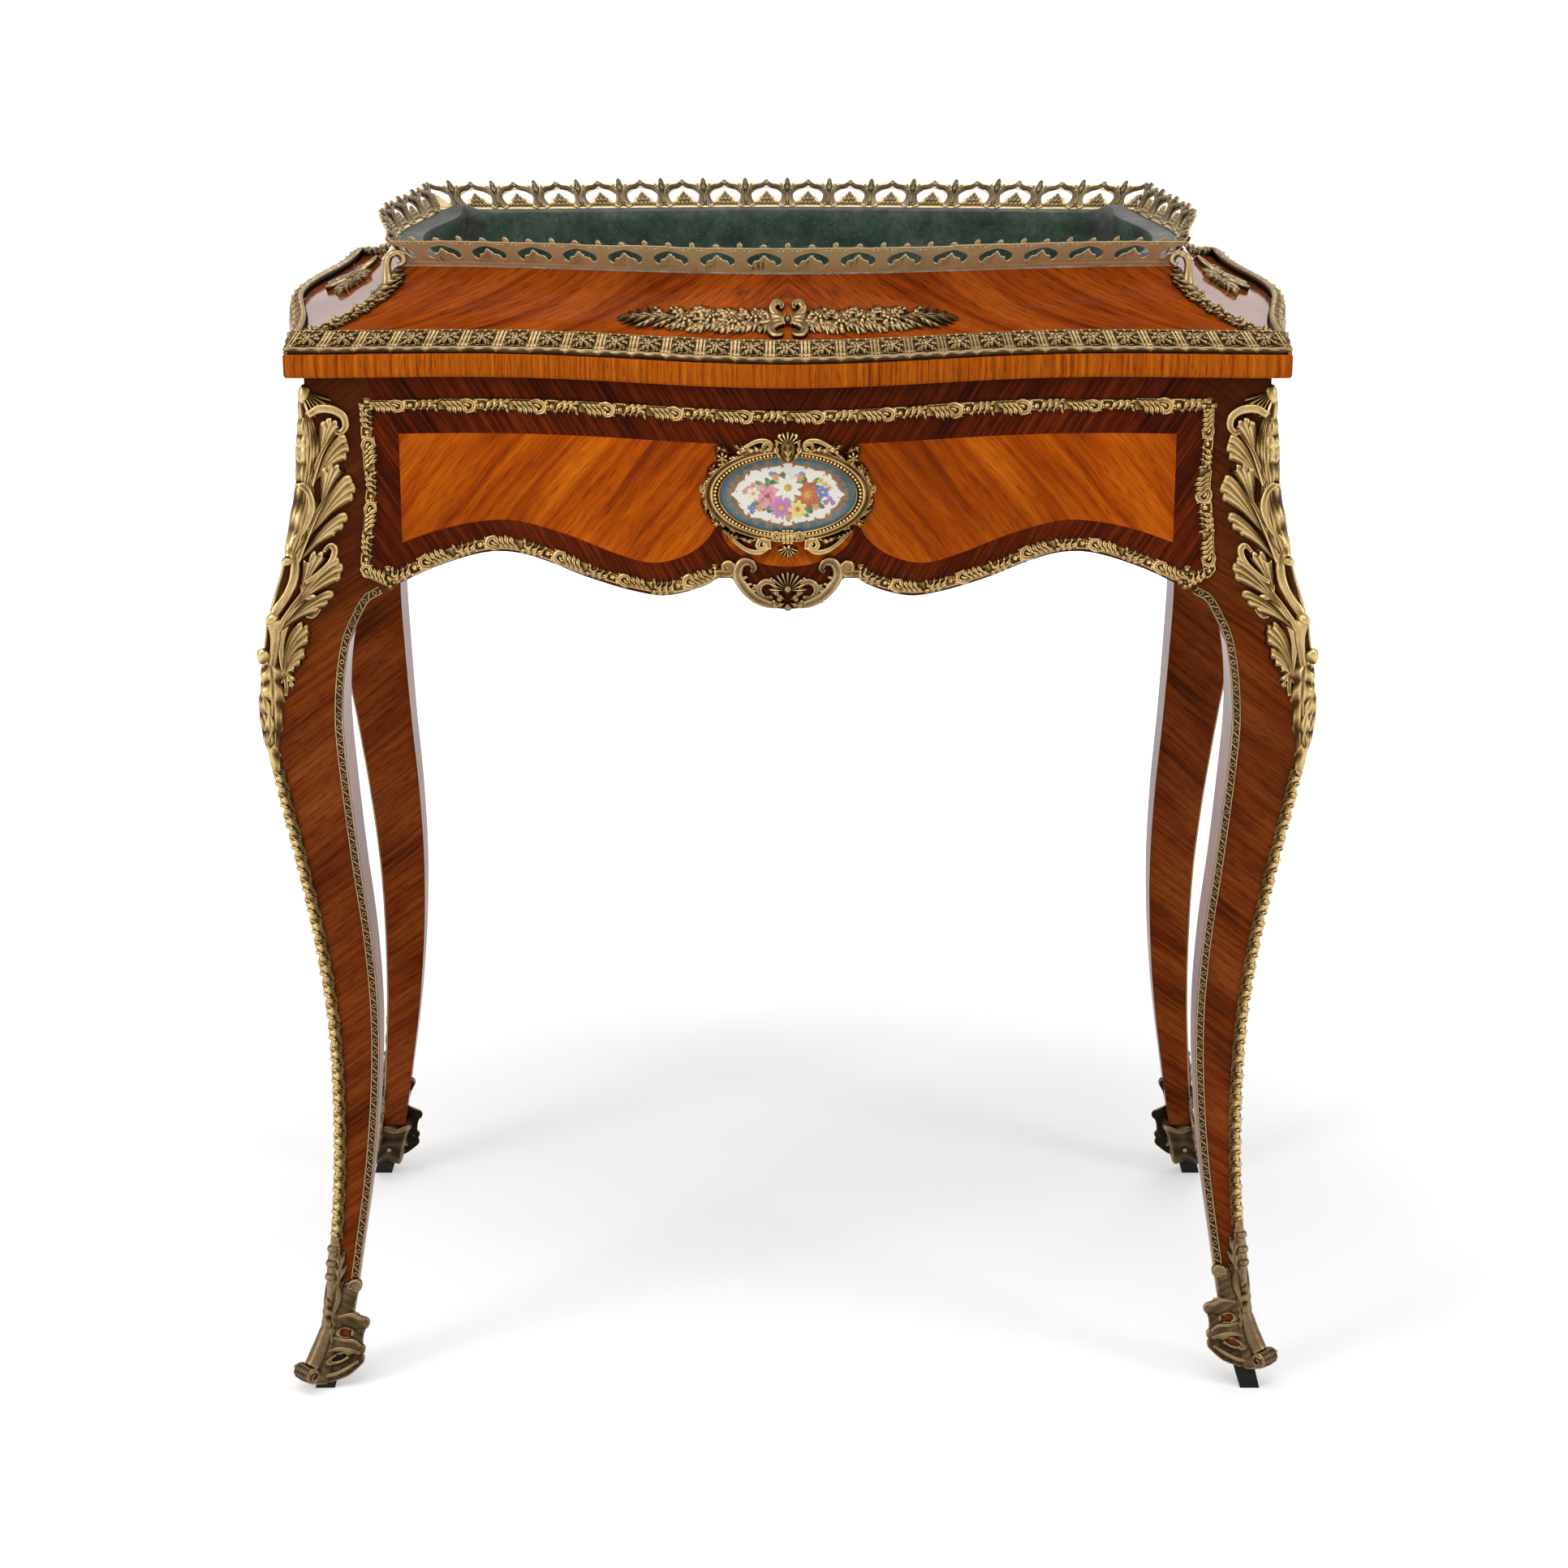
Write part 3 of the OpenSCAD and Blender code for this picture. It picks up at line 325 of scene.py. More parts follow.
# %% [markdown]
# ## Shapes as arrays
# A shape is a set of points with its four-sided and three-sided faces. Arrays build thousands of
# points at once, which plain loops are too slow for. Each closed shape is turned so that its faces
# look outward, by the sign of the volume that it encloses.

# %% Closed shapes
def outward(shape):
    points, quads, tris = shape
    tri = np.concatenate([quads[:, [0, 1, 2]], quads[:, [0, 2, 3]], tris])
    a, b, c = points[tri[:, 0], :3], points[tri[:, 1], :3], points[tri[:, 2], :3]
    if np.einsum("ij,ij->i", a, np.cross(b, c)).sum() < 0:
        return turned(shape)
    return shape


def turned(shape):
    """The same shape with its faces turned over. Values behind the faces stay."""
    points, quads, tris, *values = shape
    return (points, quads[:, ::-1], tris[:, ::-1], *values)


def loft(sections, loop=False):
    n, m = sections.shape[:2]
    points = sections.reshape(n * m, -1)
    i = np.arange(n if loop else n - 1)[:, None]
    j = np.arange(m)[None, :]
    after = (i + 1) % n * m
    quads = np.stack([i * m + j, i * m + (j + 1) % m, after + (j + 1) % m, after + j], -1).reshape(-1, 4)
    tris = np.zeros((0, 3), int)
    if not loop:
        points = np.vstack([points, sections[0].mean(0), sections[-1].mean(0)])
        j = np.arange(m)
        k = (j + 1) % m
        first = np.stack([np.full(m, n * m), k, j], -1)
        last = np.stack([np.full(m, n * m + 1), (n - 1) * m + j, (n - 1) * m + k], -1)
        tris = np.vstack([first, last])
    return outward((points, quads, tris))


def disc(rings, top=None):
    """A closed shape from rings (n, m, 3) that run from the middle outward."""
    n, m = rings.shape[:2]
    middle = rings[0].mean(0) if top is None else np.array(top, float)
    under = rings[-1].mean(0)
    under[2] = rings[-1][:, 2].min()
    points = np.vstack([rings.reshape(n * m, -1), middle, under])
    i = np.arange(n - 1)[:, None] * m
    j = np.arange(m)[None, :]
    k = (j + 1) % m
    quads = np.stack([i + j, i + m + j, i + m + k, i + k], -1)
    j, k = j[0], k[0]
    tris = np.vstack([np.stack([np.full(m, n * m), j, k], -1),
                      np.stack([np.full(m, n * m + 1), (n - 1) * m + k, (n - 1) * m + j], -1)])
    return outward((points, quads.reshape(-1, 4), tris))


def merged(shapes):
    starts = np.cumsum([0] + [len(p) for p, q, t in shapes])
    return (np.vstack([p for p, q, t in shapes]), np.vstack([q + s for (p, q, t), s in zip(shapes, starts)]),
            np.vstack([t + s for (p, q, t), s in zip(shapes, starts)]))


def rises(shapes, plain=None):
    """How high each point stands within its own shape, from 0 at the foot to 1 on the crest."""
    values = []
    for p, q, t in shapes:
        low, high = np.percentile(p[:, 2], (30, 99))
        rise = np.clip((p[:, 2] - low) / max(high - low, 0.4), 0, 1)
        values.append(rise if plain is None else np.where(p[:, 2] < -0.6, plain, rise))
    return np.concatenate(values)


def moved(shape, scale=(1, 1, 1), shift=(0, 0, 0)):
    points, quads, tris = shape
    solid = points * scale + shift, quads, tris
    return turned(solid) if np.prod(scale) < 0 else solid


def both_ways(shapes):
    """Shapes with their mirror images across x = 0."""
    return shapes + [moved(s, (-1, 1, 1)) for s in shapes]


def solid_row(shapes, place):
    """Flat shapes laid by a placing rule, with their rises: one row of a casting."""
    points, quads, tris = merged(shapes)
    return place(points[:, :3]), quads, tris, rises(shapes)


print("closed shapes are ready")

# %% [markdown]
# ## From arrays to pieces
# Each finished piece is one mesh whose place is in its points. Cast pieces also carry a value of
# wear and painted shade, from 0 in the hollows to 1 on the crests, worked out from how far each point
# stands off its neighbours. The gilding is rubbed bright on the crests and stays dark in the hollows,
# and the value also paints shade into hollows and folds and light onto the crests.

# %% Make meshes
SLOTS = {"kingwood_cover_end": "kingwood_cover", "gilt_bronze_deep": "gilt_bronze",
         "gilt_bronze_dull": "gilt_bronze"}


# Painted shade and light: points in hollows and folds get low values and turn dark, and crests get high
# values and turn light, on top of the gilt's real wear.
def crest_value(points, quads, tris, rise):
    tri = np.concatenate([quads[:, [0, 1, 2]], quads[:, [0, 2, 3]], tris])
    a, b, c = (points[tri[:, i]] for i in range(3))
    face_normal = np.cross(b - a, c - a)
    count = len(points)
    normal = unit(np.stack([np.bincount(tri.ravel(), np.repeat(face_normal[:, i], 3), count)
                            for i in range(3)], -1))
    edges = np.vstack([quads[:, [i, (i + 1) % 4]] for i in range(4)]
                      + [tris[:, [i, (i + 1) % 3]] for i in range(3)])
    start, end = edges[:, 0], edges[:, 1]
    step = points[end] - points[start]
    length = np.linalg.norm(step, axis=1)
    share = np.bincount(start, minlength=count) + 1e-9
    lift = np.bincount(start, np.einsum("ij,ij->i", step, normal[start]) / np.maximum(length, 0.05), count)
    bend = np.clip(-lift / share * 2.2, -1, 1)
    near = np.bincount(start, bend[end], count) / share
    value = 0.34 * rise + 0.75 * (0.5 * bend + 0.5 * near)
    low, high = np.percentile(value, (6, 94))
    return np.clip(0.06 + 0.88 * (value - low) / max(high - low, 1e-6), 0, 1)


def new_mesh(name, shape, **values):
    """A smooth mesh in metres. Each further value has one number or one vector per point."""
    points, quads, tris = shape
    mesh = bpy.data.meshes.new(name)
    mesh.vertices.add(len(points))
    mesh.vertices.foreach_set("co", (points[:, :3] / MM).astype(np.float32).ravel())
    mesh.loops.add(quads.size + tris.size)
    mesh.loops.foreach_set("vertex_index", np.concatenate([quads.ravel(), tris.ravel()]).astype(np.int32))
    mesh.polygons.add(len(quads) + len(tris))
    starts = np.concatenate([np.arange(len(quads)) * 4, quads.size + np.arange(len(tris)) * 3])
    mesh.polygons.foreach_set("loop_start", starts.astype(np.int32))
    mesh.polygons.foreach_set("use_smooth", np.full(len(starts), True))
    mesh.update(calc_edges=True)
    for key, value in values.items():
        carry(mesh, key, value)
    return mesh


def carry(mesh, key, value):
    value = np.array(value, np.float32)
    kind, field = ("FLOAT_VECTOR", "vector") if value.ndim > 1 else ("FLOAT", "value")
    mesh.attributes.new(key, kind, "POINT").data.foreach_set(field, value.ravel())


def new_object(mesh, material=None):
    piece = bpy.data.objects.new(mesh.name, mesh)
    bpy.context.scene.collection.objects.link(piece)
    if material:
        mesh.materials.append(material)
    return piece


def settle(mesh, material, replaces, sharp=50, body="table"):
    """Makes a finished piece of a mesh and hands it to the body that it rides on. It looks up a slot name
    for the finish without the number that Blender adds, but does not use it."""
    piece = new_object(mesh, material)
    mesh.set_sharp_from_angle(angle=math.radians(sharp))
    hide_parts(replaces)
    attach(piece, body)
    finish = material.name.split(".")[0]
    SLOTS.get(finish, finish)
    print(piece.name, sum(len(p.vertices) - 2 for p in mesh.polygons), "triangles")


def cast(name, row, material, replaces):
    points, quads, tris, rise = row
    # This value is the gilt's wear together with painted shade in the hollows and painted light on the
    # crests.
    worn = crest_value(points, quads, tris, rise)
    settle(new_mesh(name, (points, quads, tris), worn=worn), material, replaces)


print("pieces ride on body 'table' unless they say otherwise")

# %% [markdown]
# ## Effects that finishes share
# Veneer is a slice of a trunk: stripes run along the grain, drift a little, and hold fine dark
# pores. Old metal is bright where hands and cloths reach it and dull where they do not, and its
# effect also paints shade into the hollows and light onto the crests. Each effect is a node group
# that puts out plain values, so every finish can mix its own colours from it. A wire is one output of
# a node, and sums and products of wires add the nodes that work them out.

# %% Wires and node helpers
class Wire:
    def __init__(self, socket):
        self.socket = socket
        self.tree = socket.id_data

    def maths(self, operation, other):
        return add_node(self.tree, "ShaderNodeMath", {0: self, 1: other}, operation=operation)

    def __add__(self, other):
        return self.maths("ADD", other)

    def __sub__(self, other):
        return self.maths("SUBTRACT", other)

    def __mul__(self, other):
        return self.maths("MULTIPLY", other)


def feed(node, values):
    for key, value in values.items():
        socket = node.inputs[key]
        if isinstance(value, Wire):
            value.tree.links.new(value.socket, socket)
        else:
            socket.default_value = value


def add_node(tree, kind, inputs=None, output=0, **settings):
    node = tree.nodes.new(kind)
    for key, value in settings.items():
        setattr(node, key, value)
    feed(node, inputs or {})
    return Wire(node.outputs[output])


def vector_of(tree, x, y, z):
    return add_node(tree, "ShaderNodeCombineXYZ", {0: x, 1: y, 2: z})


def parts_of(vector):
    node = vector.tree.nodes.new("ShaderNodeSeparateXYZ")
    feed(node, {0: vector})
    return [Wire(socket) for socket in node.outputs]


def noise(vector, scale=1.0, detail=2.0, roughness=0.5, distortion=0.0):
    return add_node(vector.tree, "ShaderNodeTexNoise", {"Vector": vector, "Scale": scale, "Detail": detail,
                                                        "Roughness": roughness, "Distortion": distortion},
                                                        "Fac")


def stretched(value, low, high, to_low=0.0, to_high=1.0):
    return add_node(value.tree, "ShaderNodeMapRange", {"Value": value, "From Min": low, "From Max": high,
                                                       "To Min": to_low, "To Max": to_high}, "Result",
                                                       clamp=True)


def new_group(name, inputs, outputs):
    """A shader group. inputs are numbers, or None for a vector. Gives its wires and its end node."""
    tree = bpy.data.node_groups.new(name, "ShaderNodeTree")
    for label, value in inputs.items():
        kind = "NodeSocketVector" if value is None else "NodeSocketFloat"
        socket = tree.interface.new_socket(label, in_out="INPUT", socket_type=kind)
        if value is not None:
            socket.default_value = value
    for label in outputs:
        tree.interface.new_socket(label, in_out="OUTPUT", socket_type="NodeSocketFloat")
    given = tree.nodes.new("NodeGroupInput").outputs
    return {label: Wire(given[label]) for label in inputs}, tree.nodes.new("NodeGroupOutput")


# %% The veneer grain group
def sawn_grain_group():
    given, result = new_group(
        "Sawn veneer grain", {"Grain": None, "Stripes": 260.0, "Drift": 0.012, "Pore Lines": 1100.0,
                              "Seed": 0.0}, ["Stripe", "Figure", "Pores", "Height"])
    run, across, sheet = parts_of(given["Grain"])
    tree = run.tree
    seed = given["Seed"] + sheet
    drift = noise(vector_of(tree, run * 7.0, across * 16.0, seed))
    side = across + (drift - 0.5) * given["Drift"]
    stripe = noise(vector_of(tree, run * 5.0, side * given["Stripes"], seed), detail=4.0, roughness=0.62)
    figure = noise(vector_of(tree, run * 9.0, side * 34.0, seed + 5.0), detail=3.0)
    pore = noise(vector_of(tree, run * 75.0, side * given["Pore Lines"], seed))
    pores = stretched(pore, 0.52, 0.68)
    feed(result, {"Stripe": stretched(stripe, 0.3, 0.7), "Figure": stretched(figure, 0.28, 0.72),
                  "Pores": pores, "Height": stripe * 0.35 - pores})
    return tree


# %% The metal group of wear and painted shade
def worn_and_shaded_metal_group():
    given, result = new_group(
        "Handled cast metal", {"Position": None, "Worn": 0.5, "Patch Scale": 60.0, "Patches": 0.3},
        ["Crest", "Patina", "Height"])
    place = given["Position"]
    patch = noise(place, given["Patch Scale"], 4.0, 0.6)
    fine = noise(place, 900.0, 3.0, 0.6)
    chased = noise(place, 320.0, 2.0, 0.5, 0.6)
    # Crest is the gilt's wear and patches, together with painted shade in the hollows and painted light on
    # the crests.
    crest = given["Worn"] + (patch - 0.5) * given["Patches"] + (fine - 0.5) * 0.25
    feed(result, {"Crest": stretched(crest, 0.22, 0.85), "Patina": stretched(patch, 0.52, 0.78),
                  "Height": fine * 0.5 + chased * 0.5})
    return place.tree


GRAIN = sawn_grain_group()
WORN_AND_SHADED = worn_and_shaded_metal_group()
print("groups:", GRAIN.name, "and", WORN_AND_SHADED.name)

# %% [markdown]
# ## Wood finishes
# The dark veneer is kingwood and the pale one tulipwood, both polished with shellac until they
# gleam. The colour comes from the stripe, figure and pore values, and a thin coat lies on top. The
# grain follows each leaf of veneer, through an attribute that every veneered mesh carries. Bare
# wood takes its grain from the place in the table.

# %% Helpers for materials
def ramp_node(value, *stops):
    node = value.tree.nodes.new("ShaderNodeValToRGB")
    elements = node.color_ramp.elements
    while len(elements) < len(stops):
        elements.new(0.5)
    for element, (place, colour) in zip(elements, stops):
        element.position = place
        element.color = (*colour, 1)
    feed(node, {"Fac": value})
    return Wire(node.outputs["Color"])


def blended(share, a, b):
    return add_node(share.tree, "ShaderNodeMix", {0: share, 6: a, 7: (*b, 1) if isinstance(b, tuple) else b},
                    2, data_type="RGBA")


def bump(height, distance, strength):
    return add_node(height.tree, "ShaderNodeBump",
                    {"Strength": strength, "Distance": distance, "Height": height})


def attribute(tree, name, output="Fac"):
    return add_node(tree, "ShaderNodeAttribute", output=output, attribute_name=name)


def group_wires(tree, group, values):
    node = tree.nodes.new("ShaderNodeGroup")
    node.node_tree = group
    feed(node, values)
    return {socket.name: Wire(socket) for socket in node.outputs}


def object_place(tree):
    return add_node(tree, "ShaderNodeTexCoord", output="Object")


def flattened(place, height):
    """The same place with its height squeezed, so that stains run down."""
    return add_node(place.tree, "ShaderNodeMapping", {"Vector": place, "Scale": (1, 1, height)})


def new_material(name):
    material = bpy.data.materials.new(name)
    material.use_nodes = True
    shader = next(n for n in material.node_tree.nodes if n.type == "BSDF_PRINCIPLED")
    return material, material.node_tree, shader


def shade(colour, factor):
    return tuple(factor * c for c in colour)


# %% Build the wood materials
def wood_material(name, dark, mid, light, stripes=260.0, drift=0.012, pore_lines=1100.0, pore_depth=0.55,
                  figure=0.5, seed=0.0, polished=True, shade_and_patina_up_top=None, mottle=0.3, gloss=(0.6, 1.12)):
    """A tuple of two heights in metres and a share darkens the colour towards the top: painted shade
    under the board, together with darker patina.
    """
    material, tree, shader = new_material(name)
    place = object_place(tree)
    grain = group_wires(tree, GRAIN, {
        "Grain": attribute(tree, "grain", "Vector") if polished else place, "Stripes": stripes,
        "Drift": drift, "Pore Lines": pore_lines, "Seed": seed})
    tone = grain["Stripe"] * (1 - figure) + grain["Figure"] * figure
    colour = ramp_node(tone, (0.12, dark), (0.45, mid), (0.82, light))
    colour = blended(grain["Pores"] * pore_depth, colour, shade(dark, 0.35))
    clouds = stretched(noise(place, 6.5), 0.42, 0.68, 0.0, mottle)
    colour = blended(clouds, colour, shade(dark, 1.2))
    # Darker towards the top: painted shade under the board, together with darker patina.
    if shade_and_patina_up_top:
        low, high, share = shade_and_patina_up_top
        colour = blended(stretched(parts_of(place)[2], low, high, 0.0, share), colour, shade(dark, 0.8))
    smooth, rough = (0.24, 0.42) if polished else (0.6, 0.8)
    cloudy = stretched(noise(place, 24.0, 3.0), 0.3, 0.7, smooth, rough)
    feed(shader, {"Base Color": colour, "Roughness": cloudy, "Specular IOR Level": 0.0 if polished else 0.2,
                  "Normal": bump(grain["Height"], 0.00012 if polished else 0.0003, 0.5)})
    if polished:
        feed(shader, {"Coat Weight": gloss[0], "Coat Roughness": 0.09, "Coat IOR": gloss[1]})
    return material


KINGWOOD_BAND = wood_material("kingwood_crossband", (0.022, 0.0030, 0.0006), (0.092, 0.0105, 0.0010),
                              (0.190, 0.026, 0.0024), 420.0, 0.006, 900.0, 0.6, 0.35, 1.0)
# The legs darken towards the top: painted shade under the board, together with darker patina.
KINGWOOD_LEG = wood_material("kingwood_leg", (0.050, 0.0080, 0.0010), (0.185, 0.0330, 0.0040),
                             (0.290, 0.072, 0.0105), 300.0, 0.010, 1000.0, 0.55, 0.5, 2.0,
                             shade_and_patina_up_top=(0.46, 0.71, 0.72))
COVER_LOOK = ((0.095, 0.012, 0.0012), (0.310, 0.050, 0.0028), (0.460, 0.100, 0.0075), 220.0, 0.020, 760.0,
              0.65, 0.55, 3.0)
KINGWOOD_COVER = wood_material("kingwood_cover", *COVER_LOOK)
KINGWOOD_END = wood_material("kingwood_cover_end", *COVER_LOOK, gloss=(1.0, 1.42))
TULIPWOOD_PANEL = wood_material("tulipwood_panel", (0.130, 0.015, 0.0008), (0.430, 0.070, 0.0014),
                                (0.660, 0.150, 0.0050), 170.0, 0.028, 900.0, 0.45, 0.55, 4.0, mottle=0.42)
TULIPWOOD_EDGE = wood_material("tulipwood_edge", (0.150, 0.024, 0.0020), (0.420, 0.086, 0.0030),
                               (0.600, 0.150, 0.0070), 300.0, 0.004, 800.0, 0.5, 0.22, 5.0, mottle=0.12)
OAK = wood_material("carcass_oak", (0.14, 0.075, 0.032), (0.25, 0.150, 0.070), (0.34, 0.22, 0.110), 180.0,
                    pore_lines=600.0, seed=6.0, polished=False)
EBONISED = wood_material("ebonised_foot", (0.006, 0.005, 0.004), (0.014, 0.011, 0.009), (0.03, 0.024, 0.02),
                         400.0, seed=7.0, polished=False)
print("wood finishes:", [m.name for m in bpy.data.materials if "wood" in m.name or "oak" in m.name])

# %% [markdown]
# ## Metal finishes
# Cast and chased bronze is gilt and then wears. Colour and roughness both follow the value of wear
# and painted shade: crests are bright and smooth, hollows brown and dull, with painted shade in the
# hollows and painted light on the crests. Darker copies of the gilt paint shade onto mounts that face
# the lamps. Zinc sheet goes grey and, inside the liner, keeps the remains of green paint.

# %% Build the cast metals
def cast_material(name, dark, mid, bright, patina, patches=0.35, smooth=0.27, rough=0.55, metal=1.0,
                  packed=False):
    material, tree, shader = new_material(name)
    values = {"Position": object_place(tree), "Patches": patches}
    if not packed:
        values["Worn"] = attribute(tree, "worn")
    worn_and_shaded = group_wires(tree, WORN_AND_SHADED, values)
    # The ramp paints shade in the hollows and light on the crests over the gilt's wear; its shadow stop is
    # painted shade.
    shadow = tuple((d + m) / 3 for d, m in zip(dark, mid))
    colour = ramp_node(worn_and_shaded["Crest"], (0.04, dark), (0.28, shadow), (0.56, mid), (0.97, bright))
    feed(shader, {"Base Color": blended(worn_and_shaded["Patina"] * 0.45, colour, patina), "Metallic": metal,
                  "Roughness": stretched(worn_and_shaded["Crest"], 0.0, 1.0, rough, smooth),
                  "Normal": bump(worn_and_shaded["Height"], 0.00035, 0.45)})
    return material


GILT = cast_material("gilt_bronze", (0.050, 0.027, 0.009), (0.270, 0.160, 0.055), (0.64, 0.46, 0.205),
                     (0.26, 0.125, 0.055))
# Two darker copies of the same gilt, with only their colours changed: painted shade for mounts that face the
# lamps; the second is darker still.
GILT_SHADED = cast_material("gilt_bronze_deep", (0.045, 0.024, 0.008), (0.200, 0.120, 0.042),
                          (0.54, 0.385, 0.170), (0.20, 0.10, 0.045))
GILT_MORE_SHADED = cast_material("gilt_bronze_dull", (0.038, 0.022, 0.009), (0.140, 0.088, 0.038),
                          (0.38, 0.265, 0.130), (0.15, 0.08, 0.04))
GALLERY_BRASS = cast_material("gallery_brass", (0.060, 0.040, 0.018), (0.370, 0.275, 0.135),
                              (0.60, 0.47, 0.24), (0.24, 0.17, 0.085), smooth=0.34, metal=0.6)
DARK_BRONZE = cast_material("dark_bronze", (0.022, 0.014, 0.007), (0.105, 0.066, 0.032), (0.26, 0.175, 0.090),
                            (0.09, 0.055, 0.035), patches=0.5, rough=0.6, smooth=0.33)
STEEL = cast_material("steel_pin", (0.10, 0.09, 0.08), (0.30, 0.28, 0.26), (0.55, 0.52, 0.48),
                      (0.2, 0.13, 0.08), packed=True)


# %% Build the zinc and the porcelain
def specked(place, colour, scale, low, high, share, speck):
    """Small specks of another colour, as dirt or bright scratches leave."""
    return blended(stretched(noise(place, scale, 3.0), low, high) * share, colour, speck)


def rim_material():
    material, tree, shader = new_material("rim_zinc")
    place = object_place(tree)
    cloud = noise(place, 90.0, 6.0, 0.62, 0.4)
    colour = ramp_node(stretched(cloud, 0.3, 0.7), (0.0, (0.09, 0.075, 0.06)), (0.5, (0.20, 0.165, 0.135)),
                       (1.0, (0.36, 0.32, 0.28)))
    feed(shader, {"Base Color": specked(place, colour, 700.0, 0.6, 0.7, 0.4, (0.35, 0.36, 0.33)),
                  "Metallic": 0.6,
                  "Roughness": stretched(cloud, 0.3, 0.7, 0.4, 0.62), "Normal": bump(cloud, 0.0015, 0.35)})
    return material


def liner_material():
    material, tree, shader = new_material("liner_zinc")
    place = object_place(tree)
    fine = noise(place, 210.0, 5.0, 0.7, 0.3)
    tone = noise(place, 30.0, 6.0, 0.65, 0.5) * 0.65 + fine * 0.35
    grey = ramp_node(tone, (0.32, (0.034, 0.036, 0.036)), (0.5, (0.082, 0.083, 0.078)),
                     (0.68, (0.185, 0.182, 0.168)))
    green = ramp_node(tone, (0.34, (0.016, 0.030, 0.021)), (0.5, (0.040, 0.070, 0.046)),
                      (0.66, (0.085, 0.125, 0.092)))
    left = attribute(tree, "green")
    streak = noise(flattened(place, 0.4), 55.0, 5.0, 0.7, 0.9)
    cover = stretched(streak + left * 0.42, 0.60, 0.88)
    colour = specked(place, blended(cover * left, grey, green), 620.0, 0.63, 0.70, 0.35, (0.30, 0.32, 0.28))
    feed(shader, {"Base Color": colour, "Roughness": stretched(fine, 0.3, 0.7, 0.45, 0.7), "Metallic": 0.15,
                  "Specular IOR Level": 0.25, "Normal": bump(fine, 0.0006, 0.4)})
    return material


def porcelain_material():
    material, tree, shader = new_material("porcelain")
    place = object_place(tree)
    cloud = noise(place, 60.0, 3.0)
    painted = attribute(tree, "paint", "Color")
    colour = blended(stretched(cloud, 0.35, 0.7) * 0.10, painted, (0.70, 0.62, 0.48))
    soil = stretched(noise(place, 900.0), 0.68, 0.76) * 0.25
    feed(shader, {"Base Color": blended(soil, colour, (0.20, 0.15, 0.09)), "Specular IOR Level": 0.25,
                  "Roughness": stretched(cloud, 0.3, 0.7, 0.10, 0.2), "Coat Weight": 0.3,
                  "Normal": bump(cloud, 0.0003, 0.2)})
    return material


RIM_ZINC = rim_material()
LINER_ZINC = liner_material()
PORCELAIN = porcelain_material()
print("metal finishes are ready")

# %% [markdown]
# ## The camera, the light and the floor
# The picture was taken from about two and a half metres away and a little above, with a long lens,
# which keeps upright lines nearly upright. A pale floor carries soft shadows, and the rays that
# reach past it see plain white.

# %% The camera
IMAGE = 1932
FOCAL_PIXELS = 4311.9
SENSOR = 36.0
CAMERA_PLACE = (-0.0025, -2.4945, 1.1744)
CAMERA_PITCH = 0.3014


def put(name, data, place, turn):
    thing = bpy.data.objects.new(name, data)
    thing.location = place
    thing.rotation_euler = turn
    bpy.context.scene.collection.objects.link(thing)
    return thing


lens = bpy.data.cameras.new("camera")
lens.sensor_width = SENSOR
lens.lens = SENSOR * FOCAL_PIXELS / IMAGE
bpy.context.scene.camera = put("camera", lens, CAMERA_PLACE, (math.pi / 2 - CAMERA_PITCH, 0, 0))
print("lens", round(lens.lens, 2), "mm")

# %% The white surroundings and the floor
FLOOR = 14.0
FILL = 0.42
GLOW_FROM, GLOW_TO = 0.5, 1.6
LEAST_GLOW = 0.34


def seen_white(tree, plain, white):
    path = tree.nodes.new("ShaderNodeLightPath").outputs
    seen = Wire(path["Is Camera Ray"]).maths("MAXIMUM", Wire(path["Is Glossy Ray"]))
    seen = seen.maths("MAXIMUM", Wire(path["Is Transmission Ray"]))
    return seen * (white - plain) + plain


world = bpy.data.worlds.new("studio")
world.use_nodes = True
feed(world.node_tree.nodes["Background"], {"Color": (1, 1, 1, 1),
                                           "Strength": seen_white(world.node_tree, FILL, 1.0)})
bpy.context.scene.world = world

floor_material, floor_tree, floor_shader = new_material("studio_floor")
away = add_node(floor_tree, "ShaderNodeVectorMath", {0: object_place(floor_tree)}, "Value",
                operation="LENGTH")
glow = stretched(away, GLOW_FROM, GLOW_TO, LEAST_GLOW, 1.0)
feed(floor_shader, {"Base Color": (0.86, 0.86, 0.86, 1), "Roughness": 0.9, "Specular IOR Level": 0.0,
                    "Emission Color": (1, 1, 1, 1),
                    "Emission Strength": glow * seen_white(floor_tree, 0.0, 1.0)})
floor_mesh = bpy.data.meshes.new("floor")
floor_mesh.from_pydata([(-FLOOR, -FLOOR, 0), (FLOOR, -FLOOR, 0), (FLOOR, FLOOR, 0), (-FLOOR, FLOOR, 0)], [],
                       [(0, 1, 2, 3)])
floor = new_object(floor_mesh, floor_material)
print("the floor reaches", FLOOR, "m each way")

# %% The lamps
LAMPS = {"top_box": ((-0.4, -0.9, 2.9), (2.4, 1.6), 30), "left_box": ((-2.4, -2.0, 1.7), (1.0, 1.6), 27),
         "right_box": ((2.6, -1.6, 1.9), (0.9, 1.5), 20), "back_box": ((1.0, 2.6, 2.2), (1.8, 1.2), 14)}
LAMP_AIM = np.array([0, 0, 0.5])
for name, (place, size, watts) in LAMPS.items():
    lamp = bpy.data.lights.new(name, "AREA")
    lamp.shape = "RECTANGLE"
    lamp.size, lamp.size_y = size
    lamp.energy = watts
    x, y, z = LAMP_AIM - np.array(place)
    put(name, lamp, place, (math.atan2(math.hypot(x, y), -z), 0, math.atan2(-x, y)))
bpy.context.scene.view_settings.view_transform = "Standard"
print("lamps:", ", ".join(LAMPS))

